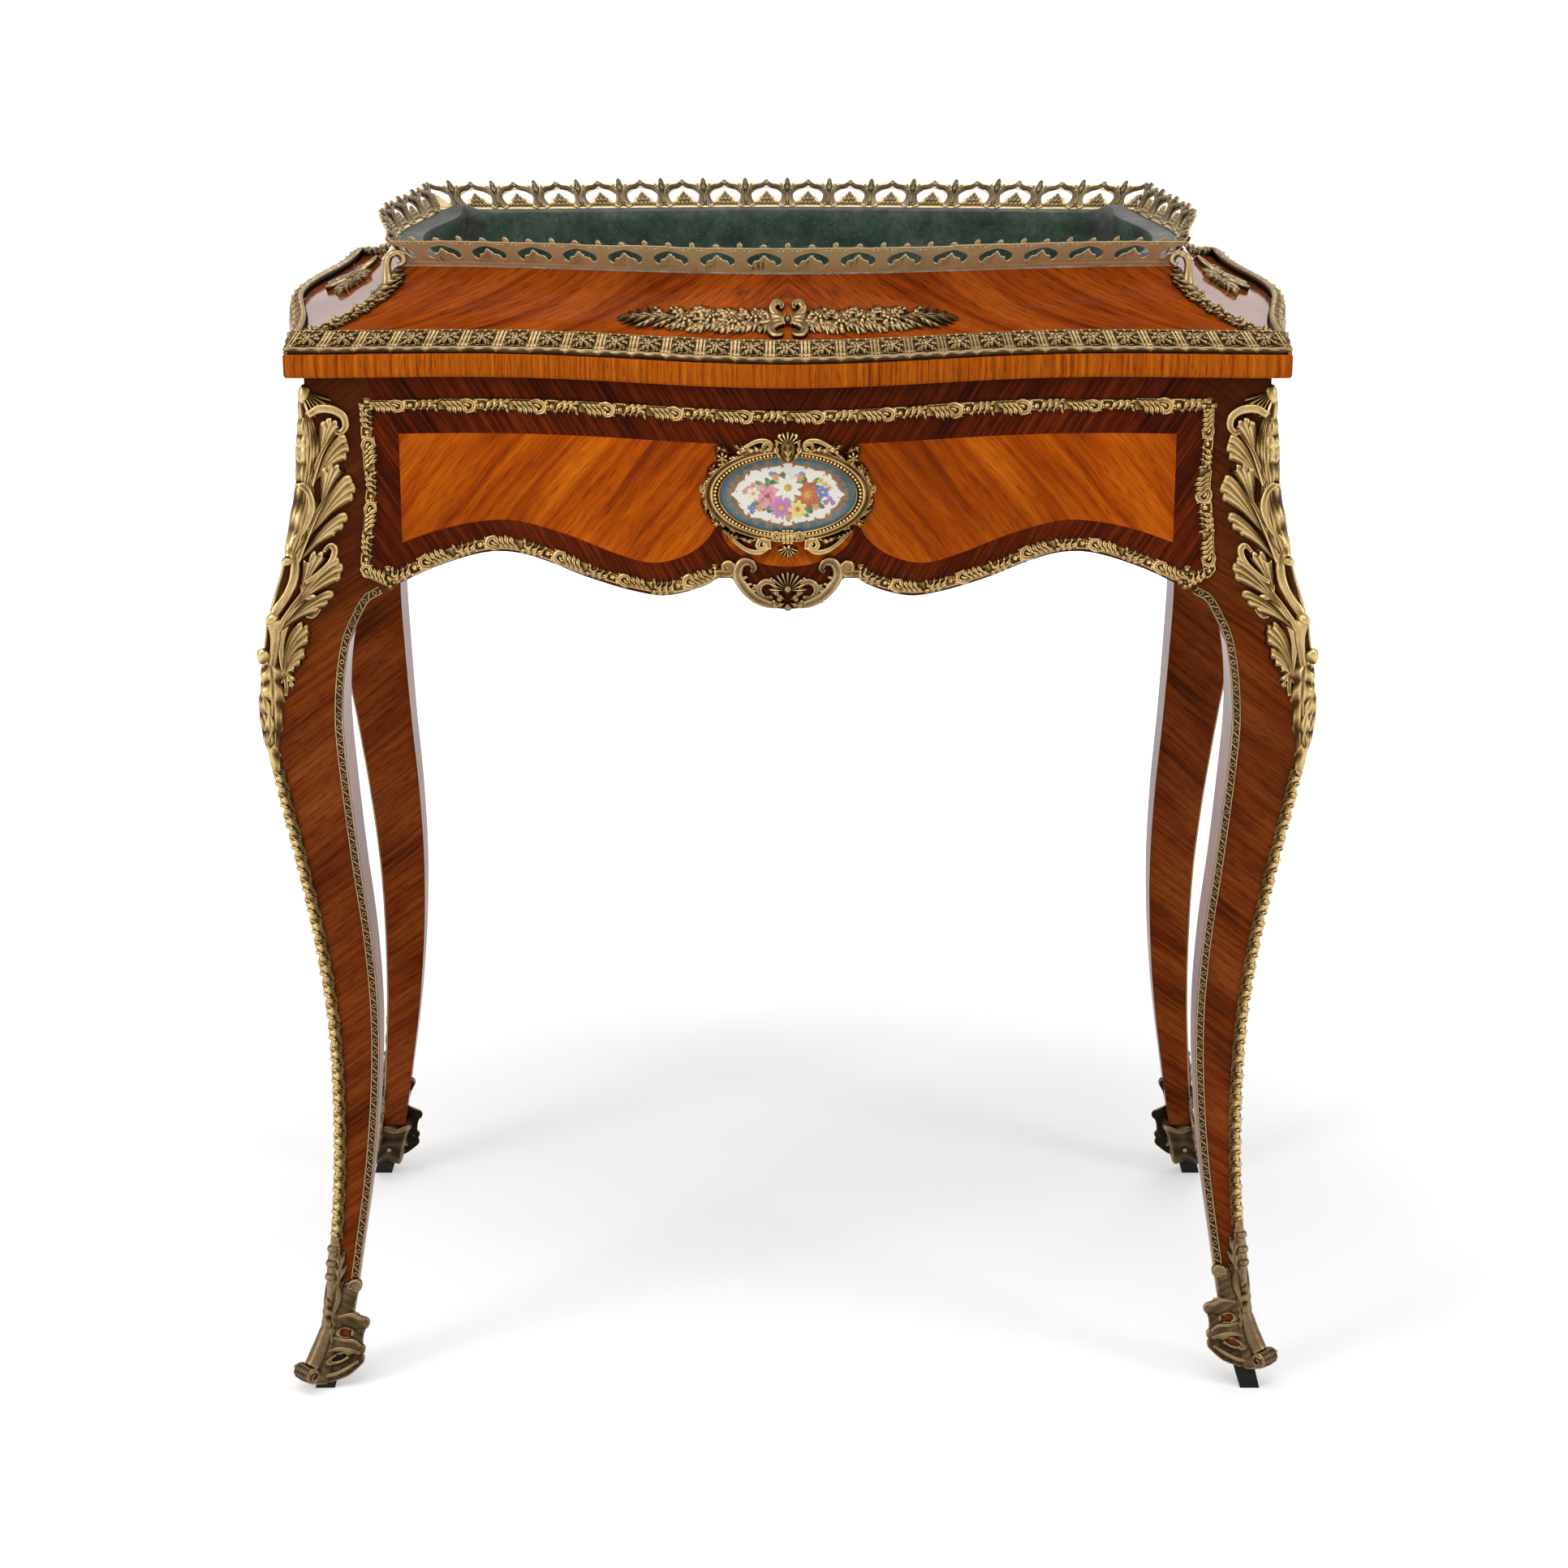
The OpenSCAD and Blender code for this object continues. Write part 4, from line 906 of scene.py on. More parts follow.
# %% [markdown]
# ## The legs
# A cabriole leg is sawn from a square post, so from above it is nearly square at every height. Rings
# drawn at close heights and lofted together give the same shape, with each long edge broken a
# little. The veneer on every face slopes up towards the inner edge.

# %% Loft the legs
LEG_GRAIN = math.radians(36)
LEG_CHAMFER = 1.0
LEG_BEND = 540
PEG_TOP = box_mm("foot_peg_front_left")[1][2]


def sloped_grain(x, y, angle, sheet):
    """Grain coordinates in metres: along the grain, across it, and the number of the leaf."""
    c, s = math.cos(angle), math.sin(angle)
    return np.stack([(x * c + y * s) / MM, (-x * s + y * c) / MM, np.broadcast_to(sheet, np.shape(x))], -1)


def veneered(name, sections, grain, material, replaces, loop=False, sharp=35):
    shape = loft(sections, loop)
    flat = grain.reshape(-1, 3)
    extra = np.repeat(flat[:1], len(shape[0]) - len(flat), axis=0)
    settle(new_mesh(name, shape, grain=np.vstack([flat, extra])), material, replaces, sharp)


def leg_ring(c, corner, z):
    ka, kb, sa, sb = CORNERS[corner]
    inner_reach = leg_in(z)
    width = leg_out(z) + inner_reach

    def across(columns):
        inside = np.linspace(LEG_CHAMFER * 2, width - LEG_CHAMFER * 2, columns)
        return np.concatenate([[LEG_CHAMFER], inside, [width - LEG_CHAMFER]])

    d, d_in = across(10), across(4)
    inner = side_point(ka, sa * (APRON_UV[ka][0] - inner_reach), APRON_UV[ka][1] - inner_reach, z)
    end_a, end_b = leg_point(ka, sa, width, z), leg_point(kb, sb, width, z)
    share = (d_in / width)[:, None]
    ring = np.vstack([leg_point(kb, sb, d[::-1], z), leg_point(ka, sa, d, z), mix(end_a, inner, share),
                      mix(inner, end_b, share)])
    sheet = np.repeat(c * 4 + np.arange(4.0), [len(d), len(d), len(d_in), len(d_in)])
    reach = np.concatenate([d[::-1], d, d_in, width - d_in])
    return ring, sloped_grain(reach, np.full(len(reach), z), LEG_GRAIN, sheet)


leg_heights = np.concatenate([np.linspace(PEG_TOP, LEG_BEND, 90), np.linspace(LEG_BEND + 4, UNDER_Z, 70)])
for c, corner in enumerate(CORNERS):
    rings, grains = zip(*[leg_ring(c, corner, z) for z in leg_heights])
    veneered(f"veneered_leg_{corner}", np.stack(rings), np.stack(grains), KINGWOOD_LEG, f"leg_{corner}",
             sharp=40)

# %% [markdown]
# ## The apron veneers
# Each apron is crossbanded in kingwood whose grain leans one way on the left half and the other way
# on the right, and tulipwood panels are let into it, leaning against the banding. Measuring from the
# middle outward mirrors the grain by itself, as a book-matched pair of leaves does.

# %% Crossbands
BAND_GRAIN = math.radians(58)
PANEL_GRAIN = math.radians(180 - 50)
VENEER = 1.0
OVER_POST = 15.0
BAND_DROP = 0.35
BAND_COLUMNS = (261, 141)
BAND_LEAF = 20.0


def face_points(k, u, z, h):
    return side_point(k, u, face_v(k, u, z) + h, z)


for k, side in enumerate(SIDES):
    half = apron_half(k)
    us = np.linspace(-half - OVER_POST, half + OVER_POST, BAND_COLUMNS[k % 2])
    over = np.maximum(np.abs(us) - half, 0)[:, None]
    share = np.concatenate([np.linspace(0, 0.985, 16), [0.996, 1.0, 1.0, 0.0]])
    depth = np.concatenate([np.zeros(16), [-0.12, -0.5, -VENEER, -VENEER]])
    u, s = np.meshgrid(us, share, indexing="ij")
    z = UNDER_Z - s * (apron_drop(k, np.clip(u, -half, half)) - BAND_DROP * over)
    skin = np.where(over > 0, np.maximum(depth, -0.3) + 0.10, depth + 0 * u)
    veneered(f"crossband_{side}", face_points(k, u, z, skin),
             sloped_grain(np.abs(u), z, BAND_GRAIN, BAND_LEAF + k), KINGWOOD_BAND, "crossband_veneers")

# %% Panels
PROUD = 0.06
LET_IN = -0.5
PLAQUE_DROP = 72.5
PANEL_LEAF = [30.0, 31.4, 32.0, 33.0]
OVAL_LEAF = 36.0


def panel_depth(rows, u):
    return np.broadcast_to(np.concatenate([np.full(rows, PROUD), [LET_IN, LET_IN]]), u.shape)


def there_and_back(rows):
    return np.concatenate([np.linspace(0, 1, rows), [1.0, 0.0]])


for k, side in enumerate(SIDES):
    table = PANEL_LINES[k]
    u, s = np.meshgrid(np.linspace(table[0][0], table[-1][0], 90), there_and_back(14), indexing="ij")
    z = UNDER_Z - PANEL_TOP - s * (along(table, u) - PANEL_TOP)
    grain = sloped_grain(u, z, PANEL_GRAIN, PANEL_LEAF[k])
    for sign, half_name in ((-1, "left"), (1, "right")):
        veneered(f"panel_{side}_{half_name}", face_points(k, sign * u, z, panel_depth(14, u)), grain,
                 TULIPWOOD_PANEL, "reserve_panels")

OVAL_HALF, OVAL_TOP, OVAL_DEEP = 44, 26, 24
turn, s = np.meshgrid(np.linspace(math.pi, 2 * math.pi, 60), there_and_back(8), indexing="ij")
u = OVAL_HALF * np.cos(turn)
z = UNDER_Z - PLAQUE_DROP - OVAL_TOP + s * OVAL_DEEP * np.sin(turn)
veneered("panel_half_oval", face_points(0, u, z, panel_depth(8, u)),
         sloped_grain(np.abs(u), z, PANEL_GRAIN, OVAL_LEAF), TULIPWOOD_PANEL, "reserve_panels")

# %% [markdown]
# ## The top board's edge
# A band of tulipwood with upright grain runs round the edge, rounded under. One profile swept round
# the bowed outline makes it, and the distance along the outline is kept as the grain's width.

# %% Sweep the edge band
def outline_t(long_count, short_count):
    counts = (long_count, short_count) * 2
    return [(k, -1 + 2 * i / counts[k]) for k in range(4) for i in range(counts[k])]


BAND_T = 3.0
EDGE_COLUMNS = (160, 90)
EDGE_LEAF = 40.0
board_t = TOP_Z - UNDER_Z
band_profile = np.array([(BAND_T, board_t), (0.5, board_t), (0.12, board_t - 0.35), (0, board_t - 0.9),
                         (0, 3.2), (0.25, 1.7), (0.9, 0.6), (1.9, 0.1), (BAND_T, 0)])
OUTER = 3
band_rows = np.array([top_point(k, t, band_profile[:, 0], UNDER_Z + band_profile[:, 1])
                      for k, t in outline_t(*EDGE_COLUMNS)])
steps = np.linalg.norm(np.diff(band_rows[:, OUTER], axis=0), axis=1)
travelled = np.concatenate([[0], np.cumsum(steps)])
leaf_numbers = [EDGE_LEAF + k for k, t in outline_t(*EDGE_COLUMNS)]
band_grain = np.stack([np.broadcast_to(band_profile[:, 1] / MM, band_rows.shape[:2]),
                       np.broadcast_to(travelled[:, None] / MM, band_rows.shape[:2]),
                       np.broadcast_to(np.array(leaf_numbers)[:, None], band_rows.shape[:2])], -1)
veneered("edge_band_swept", band_rows, band_grain, TULIPWOOD_EDGE, "edge_band", loop=True, sharp=40)
print("the band is", round(travelled[-1]), "mm round")

# %% [markdown]
# ## The coved cover
# Four panels curve up from the board to the rim of the well and meet in mitres at the hips. The
# front and back leaves are book-matched at their middle, so the grain rises like a gable.

# %% Loft the cover panels
COVER_GRAIN = math.radians(180 - 40)
COVER_COLUMNS = (181, 101)
COVER_LEAF = 50.0
for k, side in enumerate(SIDES):
    fs = np.linspace(0, 1, 22)
    up = np.concatenate([[-COVER_FOOT], fs * COVE_LENGTH, [COVE_LENGTH + RIM_LAND, COVE_LENGTH + RIM_LAND]])
    rows, grains = [], []
    for t in np.linspace(-1, 1, COVER_COLUMNS[k % 2]):
        rows.append(np.vstack([top_point(k, t, FOOT_INSET, TOP_Z), cove(k, t, fs),
                               rim_point(k, t, RIM_LAND, RIM_Z), rim_point(k, t, RIM_LAND, TOP_Z)]))
        grains.append(sloped_grain(np.full(len(up), abs(t) * FOOT_U[k]), up, COVER_GRAIN, COVER_LEAF + k))
    veneered(f"coved_{side}", np.array(rows), np.array(grains), (KINGWOOD_COVER, KINGWOOD_END)[k % 2],
             f"cover_{side}", sharp=30)

# %% [markdown]
# ## Plain boards and pegs
# The carcass inside, the well floor and the black pegs are the right shape already, so they keep
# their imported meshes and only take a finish.

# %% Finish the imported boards
plain = {"rim_sheet": RIM_ZINC, "shoe_pins": STEEL}
plain.update({f"apron_{side}": OAK for side in SIDES})
plain.update({node: OAK for node in ("well_bearer_front", "well_bearer_back", "well_floor", "top_board")})
plain.update({f"foot_peg_{corner}": EBONISED for corner in CORNERS})
for node, material in plain.items():
    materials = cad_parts[node].data.materials
    materials.clear()
    materials.append(material)
print(len(plain), "packed nodes have a finish")

# %% [markdown]
# ## Ornament in the flat
# Mounts of this kind are built from a few forms: leaves whose edges are cut into lobes that sweep
# towards the tip, channelled scrolls that end in a curl, domed buds, flowers and fluted shells.
# Each function below returns one closed solid, or a list of them, drawn flat and ready to be placed.

# %% Leaves
BACK = -0.3


def smooth_path(knots, count):
    k = np.array([tuple(p) + (0.0,) * (3 - len(p)) for p in knots], float)
    k = np.vstack([2 * k[0] - k[1], k, 2 * k[-1] - k[-2]])
    s = np.linspace(0, len(k) - 3 - 1e-6, count)
    i = s.astype(int)
    f = (s - i)[:, None]
    a, b, c, d = k[i], k[i + 1], k[i + 2], k[i + 3]
    return 0.5 * (2 * b + (c - a) * f + (2 * a - 5 * b + 4 * c - d) * f**2 + (3 * b - a - 3 * c + d) * f**3)


def evenly(values, count):
    return np.interp(np.linspace(0, 1, count), np.linspace(0, 1, len(values)), values)


def along_and_across(path):
    tangent = unit(np.gradient(path[:, :2], axis=0))
    return tangent, np.stack([-tangent[:, 1], tangent[:, 0]], -1)


def backed(xy, z, back):
    """Closes a relief (n, m) with two flat points per row behind it."""
    top = np.concatenate([xy, z[..., None]], -1)
    under = top[:, [-1, 0]].copy()
    under[..., 2] = back(under[..., 2])
    return loft(np.concatenate([top, under], 1))


def leaf(knots, width, height=3.2, lobes=5, cut=0.42, sweep=0.8, base=0.0, lift=0.0, steps=0, columns=11,
         floor=BACK, full=0.62, veins=0.0, belly=0.8):
    """A leaf along a curved rib. Teeth are cut into it where it has lobes."""
    steps = steps or max(lobes * 7, 12)
    path = smooth_path(knots, steps + 1)
    s = np.linspace(0, 1, steps + 1)
    tangent, normal = along_and_across(path)
    q = np.linspace(-1, 1, columns)
    side = np.abs(q)
    tooth = (max(lobes, 1) * s**0.9) % 1.0
    outline = np.sin(np.pi * np.clip(s, 0.02, 0.985) ** belly) ** full
    reach = width * outline * (1 - (cut if lobes else 0.0) * (1 - tooth) ** 1.6)
    sway = reach[:, None] * sweep * side**1.4 * (1 - 0.55 * s[:, None] ** 3)
    across = normal[:, None] * (q * reach[:, None])[..., None]
    xy = path[:, None, :2] + across + tangent[:, None] * sway[..., None]
    body = 0.30 + 0.70 * (1 - side**1.7)
    flute = np.cos((tooth[:, None] - 0.55) * 2 * np.pi) * side**0.6 * (0.22 if lobes else 0.0)
    flute = flute + veins * 0.07 * np.cos(side * 5 * np.pi) * (1 - side**4)
    rib = 0.30 * np.exp(-(q / 0.16) ** 2) - 0.36 * np.exp(-(q / 0.07) ** 2)
    swell = np.maximum(outline, 0.25)[:, None] ** 0.6
    raised = lift * s[:, None] ** 2.5
    z = base + path[:, 2:3] + raised + height * swell * (body + flute + rib)
    z[:, [0, -1]] = base + path[:, 2:3] + raised + height * 0.16
    return backed(xy, z, lambda edge: np.minimum(floor + 0.6 * raised, edge - 0.25))


def spread(root, tips, width, height, base=0.6, rise=0.62, lift=1.0):
    """A broad leaf: overlapping fingers that leave one root, climb, and turn out to their tips."""
    x0, y0 = root
    parts = []
    for i, (x1, y1) in enumerate(tips):
        bends = [(x0 + 0.42 * (x1 - x0), y0 + rise * (y1 - y0) + 1.5),
                 (x0 + 0.78 * (x1 - x0), y0 + 0.90 * (y1 - y0) + 0.8)]
        parts.append(leaf([root, *bends, (x1, y1)], width, height, lobes=0,
                          base=base + 0.25 * (len(tips) - i),
                          lift=lift, steps=20, columns=9, full=0.45, veins=1.0, belly=1.35))
    return parts


def acanthus(rib, lobes, width, height):
    """A deeply cut leaf: lobes of a few fingers each along a raised rib. Lower lobes lie on top."""
    parts = []
    for i, (root, tips) in enumerate(lobes):
        parts += spread(root, tips, width * (1 - 0.05 * i), height, 0.5 + 0.55 * i, 0.55, 1.5)
    thick = [width * share for share in (0.55, 0.50, 0.36, 0.14)]
    return parts + [scroll(rib, thick, base=1.7, steps=24, groove=0.3)]


# %% Scrolls, buds and shells
def scroll(knots, thick, base, groove=0.22, steps=40, around=10, floor=BACK):
    """A channelled bar along a path. thick is a list of half widths along it."""
    path = smooth_path(knots, steps + 1)
    r = evenly(thick, steps + 1)[:, None]
    normal = along_and_across(path)[1]
    a = np.linspace(-0.15 * np.pi, 1.15 * np.pi, around)
    profile = 1 - groove * np.exp(-((a - np.pi / 2) / 0.42) ** 2)
    xy = path[:, None, :2] + normal[:, None] * (np.cos(a) * r)[..., None]
    z = base + path[:, 2:3] + r * 0.85 * (0.45 + np.sin(a) * profile)
    return backed(xy, z, lambda edge: np.minimum(floor, edge - 0.1))


def curl(x, y, r, start, turns, hand=1, end=0.3, rise=1.2):
    """Eight knots of a spiral that runs in from radius r."""
    f = np.linspace(0, 1, 8)
    a = math.radians(start) + hand * turns * 2 * np.pi * f
    rr = r * (1 - (1 - end) * f)
    return [tuple(p) for p in np.stack([x + rr * np.cos(a), y + rr * np.sin(a), rise * f], -1)]


def boss(x, y, r, h, petals=0, base=0.0, depth=0.24, rings=6, around=14, turn=0.0, floor=BACK, squash=1.0):
    """A bud, or with petals a flower with a domed heart."""
    around = petals * 6 if petals else around
    f = np.linspace(0.14, 1, rings)[:, None]
    a = np.linspace(0, 2 * np.pi, around, endpoint=False)
    if petals:
        gap = np.abs(np.sin(petals * (a - turn) / 2))
        radius = r * f * (1 - depth * f * (1 - gap) ** 1.5)
        heart = 0.95 * np.exp(-(f / 0.24) ** 2)
        petal = (0.28 + 0.45 * np.sin(np.pi * np.clip(f, 0, 0.95))) * (0.55 + 0.45 * gap)
        z = h * np.maximum(heart, petal * ramp((f - 0.2) / 0.12))
        peak = h
    else:
        radius = r * f + 0 * a
        z = h * np.sqrt(np.clip(1.03 - f**2, 0, 1)) + 0 * a
        peak = h * 1.015
    top = np.stack([x + radius * np.cos(a), y + radius * np.sin(a) * squash, base + z], -1)
    under = top[-1:].copy()
    under[..., 2] = floor
    return disc(np.concatenate([top, under]), (x, y, base + peak))


def fan(x, y, r0, r1, start, stop, ribs, height, base, scallop, rows=12, floor=BACK):
    """A fluted shell between two angles, in degrees. scallop is how deeply its edge is cut."""
    share = np.linspace(0, 1, ribs * 6 + 1)[:, None]
    a = np.radians(start + (stop - start) * share)
    f = np.linspace(0, 1, rows)[None, :]
    ridge = 0.5 - 0.5 * np.cos(2 * np.pi * ribs * share)
    radius = r0 + f * (r1 * (1 - scallop + scallop * ridge**0.5) - r0)
    arch = np.sin(np.pi * (0.18 + 0.72 * f**0.9)) ** 0.5
    z = base + height * arch * (0.55 + 0.45 * ridge * (0.35 + 0.65 * f))
    xy = np.stack([x + radius * np.cos(a), y + radius * np.sin(a)], -1)
    return backed(xy, z, lambda edge: floor)


def ridge_bar(half, profile, steps=1):
    """A bar along x whose section is the closed line of (y, z) points in profile."""
    return loft(np.array([[(x, y, z) for y, z in profile] for x in np.linspace(-half, half, steps + 1)],
                         float))


def tube(points, radii, sideways, around, groove=0.2):
    """A channelled bar through points in space; sideways is the direction across its channel."""
    tangent = unit(np.gradient(points, axis=0))
    across = unit(np.broadcast_to(sideways, points.shape))
    out = unit(np.cross(tangent, across))
    a = np.linspace(0, 2 * np.pi, around, endpoint=False)
    r = np.array(radii, float)[:, None] * (1 - groove * np.exp(-((a - np.pi / 2) / 0.5) ** 2))
    return loft(points[:, None] + across[:, None] * (np.cos(a) * r)[..., None]
                + out[:, None] * (np.sin(a) * r)[..., None])


print("a five-lobed leaf has", len(leaf([(0, 0), (10, 0)], 4)[0]), "points")

# %% [markdown]
# ## Casting a row along a path
# Borders repeat one pattern. A Geometry Nodes group sets copies of a unit in a straight line with
# a little variation in size, then bends the line onto a path. The path carries two vectors at each
# point: side, the way across the border, and face, the way out of the surface.

# %% The row group
ROW_INPUTS = {"Path": "NodeSocketObject", "Unit": "NodeSocketObject", "Pitch": "NodeSocketFloat",
              "Count": "NodeSocketInt", "Vary": "NodeSocketFloat", "Seed": "NodeSocketInt",
              "Material": "NodeSocketMaterial"}


def cast_row_group():
    group = bpy.data.node_groups.new("Cast row along a path", "GeometryNodeTree")
    for name, kind in ROW_INPUTS.items():
        group.interface.new_socket(name, in_out="INPUT", socket_type=kind)
    group.interface.new_socket("Mesh", in_out="OUTPUT", socket_type="NodeSocketGeometry")
    outputs = group.nodes.new("NodeGroupInput").outputs
    given = {name: Wire(outputs[name]) for name in ROW_INPUTS}

    def node(kind, inputs=None, output=0, **settings):
        return add_node(group, kind, inputs, output, **settings)

    path = node("GeometryNodeObjectInfo", {"Object": given["Path"]}, "Geometry")
    pattern = node("GeometryNodeObjectInfo", {"Object": given["Unit"]}, "Geometry")
    line = node("GeometryNodeMeshLine", {"Count": given["Count"],
                                         "Offset": vector_of(group, given["Pitch"], 0, 0),
                                         "Start Location": vector_of(group, given["Pitch"] * 0.5, 0, 0)})
    low = given["Vary"] * -1.0 + 1.0
    high = given["Vary"] + 1.0
    size = node("FunctionNodeRandomValue", {0: vector_of(group, 1, low, low),
                                            1: vector_of(group, 1, high, high),
                                            "Seed": given["Seed"]}, data_type="FLOAT_VECTOR")
    copies = node("GeometryNodeInstanceOnPoints", {"Points": line, "Instance": pattern, "Scale": size})
    solid = node("GeometryNodeRealizeInstances", {"Geometry": copies})
    x, y, z = parts_of(node("GeometryNodeInputPosition"))
    curve = node("GeometryNodeMeshToCurve", {"Mesh": path})

    def carried(name):
        vector = node("GeometryNodeInputNamedAttribute", {"Name": name}, data_type="FLOAT_VECTOR")
        return node("GeometryNodeSampleCurve", {"Curves": curve, "Value": vector, "Length": x}, "Value",
                    mode="LENGTH", data_type="FLOAT_VECTOR", use_all_curves=False)

    def vectors(operation, a, key, b):
        return node("ShaderNodeVectorMath", {0: a, key: b}, operation=operation)

    side = carried("side")
    spot = Wire(side.socket.node.outputs["Position"])
    shift = vectors("ADD", vectors("SCALE", side, "Scale", y), 1,
                    vectors("SCALE", carried("face"), "Scale", z))
    bent = node("GeometryNodeSetPosition", {"Geometry": solid, "Position": vectors("ADD", spot, 1, shift)})
    painted = node("GeometryNodeSetMaterial", {"Geometry": bent, "Material": given["Material"]})
    feed(group.nodes.new("NodeGroupOutput"), {"Mesh": painted})
    return group


CAST_ROW = cast_row_group()
print("row inputs:", ", ".join(ROW_INPUTS))


# %% Rows of castings
def read(things, field, width, kind):
    values = np.empty(len(things) * width, kind)
    things.foreach_get(field, values)
    return values


def mesh_arrays(mesh):
    points = read(mesh.vertices, "co", 3, np.float32).reshape(-1, 3).astype(float) * MM
    corner = read(mesh.loops, "vertex_index", 1, np.int32)
    start = read(mesh.polygons, "loop_start", 1, np.int32)
    total = read(mesh.polygons, "loop_total", 1, np.int32)
    quads = corner[start[total == 4][:, None] + np.arange(4)]
    tris = corner[start[total == 3][:, None] + np.arange(3)]
    return points, quads, tris, read(mesh.attributes["rise"].data, "value", 1, np.float32).astype(float)


def run_side(rail, face):
    """The way across a run, from the way along it and the way out of the surface."""
    return unit(np.cross(face, unit(np.gradient(rail, axis=0))))


def cast_row(rail, side, face, shapes, pitch, seed, vary, plain=None, stretch=False):
    """Copies of some shapes bent onto a path, as (points, quads, tris, rise). All lengths are in mm."""
    length = path_length(rail)
    count = max(round(length / pitch), 1)
    if stretch:
        shapes = [moved(p, (length / count / pitch, 1, 1)) for p in shapes]
    pattern = new_object(new_mesh("unit", merged(shapes), rise=rises(shapes, plain)))
    line = bpy.data.meshes.new("path")
    line.from_pydata([tuple(p) for p in rail / MM], [(i, i + 1) for i in range(len(rail) - 1)], [])
    carry(line, "side", np.broadcast_to(side, rail.shape))
    carry(line, "face", np.broadcast_to(face, rail.shape))
    path = new_object(line)
    host = new_object(bpy.data.meshes.new("row"))
    row = host.modifiers.new("row", "NODES")
    row.node_group = CAST_ROW
    values = {"Path": path, "Unit": pattern, "Pitch": length / count / MM, "Count": count, "Vary": vary,
              "Seed": seed, "Material": GILT}
    for item in CAST_ROW.interface.items_tree:
        if item.in_out == "INPUT":
            row[item.identifier] = values[item.name]
    graph = bpy.context.evaluated_depsgraph_get()
    arrays = mesh_arrays(bpy.data.meshes.new_from_object(host.evaluated_get(graph)))
    host.modifiers.remove(row)
    for piece in (host, path, pattern):
        bpy.data.objects.remove(piece)
    return arrays


def plain_row(shape, rise):
    """One shape already in place, with a rise of its own, as a row."""
    return (*shape, np.full(len(shape[0]), rise))


def at_corner(shapes, place, corner):
    """Flat shapes laid at a corner, turned over where the corner is at the right end of its side."""
    row = solid_row(shapes, place(corner))
    return turned(row) if CORNERS[corner][2] > 0 else row


def join_rows(name, rows, material, replaces):
    points, quads, tris = merged([row[:3] for row in rows])
    row = points, quads, tris, np.concatenate([row[3] for row in rows])
    a, b, c = (points[quads[:, i]] - points.mean(0) for i in range(3))
    inside_out = np.einsum("ij,ij->i", a, np.cross(b, c)).sum() < 0
    cast(name, turned(row) if inside_out else row, material, replaces)


print("rows are ready")

# %% [markdown]
# ## The frame mouldings on the aprons
# A border of overlapping leaves, all raked one way, with a flower now and then. The top run goes
# straight across, the sides come down with a kink at the knee, and the lower run follows the
# apron's wave. Where two runs meet, a small flower covers the joint.

# %% The unit of the frame mouldings
FRAME_PITCH = 48.0
FRAME_VARY = 0.14
FRAME_PROFILE = [(4.5, -0.3), (4.6, 0.9), (4.0, 1.8), (2.8, 1.4), (-1.6, 1.4), (-2.9, 0.8), (-3.0, -0.3)]


def finger(knots, width, height=2.5, lobes=0):
    return leaf(knots, width, height, lobes=lobes, cut=0.4, base=0.9, lift=0.5, steps=10, columns=7,
                belly=1.15)


def frame_unit():
    """48 mm of the moulding: y is up to the plain outer edge, down to the ragged inner one."""
    draw = random.Random(11)
    parts = [ridge_bar(FRAME_PITCH / 2, FRAME_PROFILE, 24)]
    for i in range(4):
        x = -24.5 + 3.5 * i
        parts.append(finger([(x, 3.2), (x + 3.2, 2.0), (x + 6.6, -1.2), (x + 8.2, -4.8 - 0.8 * (i % 2))], 2.8,
                            3.1, 2))
    hook = [(-10, 2.8), (-5.0, 3.4), (-0.6, 1.2), (-1.6, -2.8), (-5.4, -3.8), (-7.6, -1.8)]
    parts.append(scroll(hook, [1.2, 1.8, 2.0, 1.9, 1.6, 1.1], base=1.1, steps=20, around=7))
    parts.append(finger([(-9.5, 0.6), (-6.2, 0.8), (-3.2, -0.8)], 1.6))
    for i in range(13):
        parts.append(boss(draw.uniform(0.5, 8.0), draw.uniform(-3.6, 3.4), draw.uniform(0.9, 1.3), 1.7,
                          base=1.0, rings=3, around=7))
    for i in range(3):
        x = 7.2 + 4.3 * i
        parts.append(finger([(x, -5.2 + 0.7 * (i % 2)), (x + 0.8, -1.6), (x + 4.0, 2.2), (x + 8.4, 3.8)], 2.9,
                            3.1, 3))
    return parts + [finger([(17, 2.4), (20.5, 0.2), (22.6, -5.2)], 2.1, 2.7, 3),
                    boss(13.5, 3.2, 1.7, 2.2, base=1.3, rings=4, around=9),
                    boss(-0.5, -3.4, 1.8, 2.2, petals=4, base=1.2, rings=4)]


frame_parts = frame_unit()
print("a unit of the frame has", len(frame_parts), "solids")

# %% The runs of the frame mouldings
FRAME_TOP = 20.5
FRAME_LOW = 6.3
KNEE_DROP = 118
LONG_DOWN = [(283, 43), (281, 76), (285, 110), (287, 134)]
SHORT_DOWN = [(141, 43), (139, 76), (143, 110), (145, 134)]
LOBE_END = 49


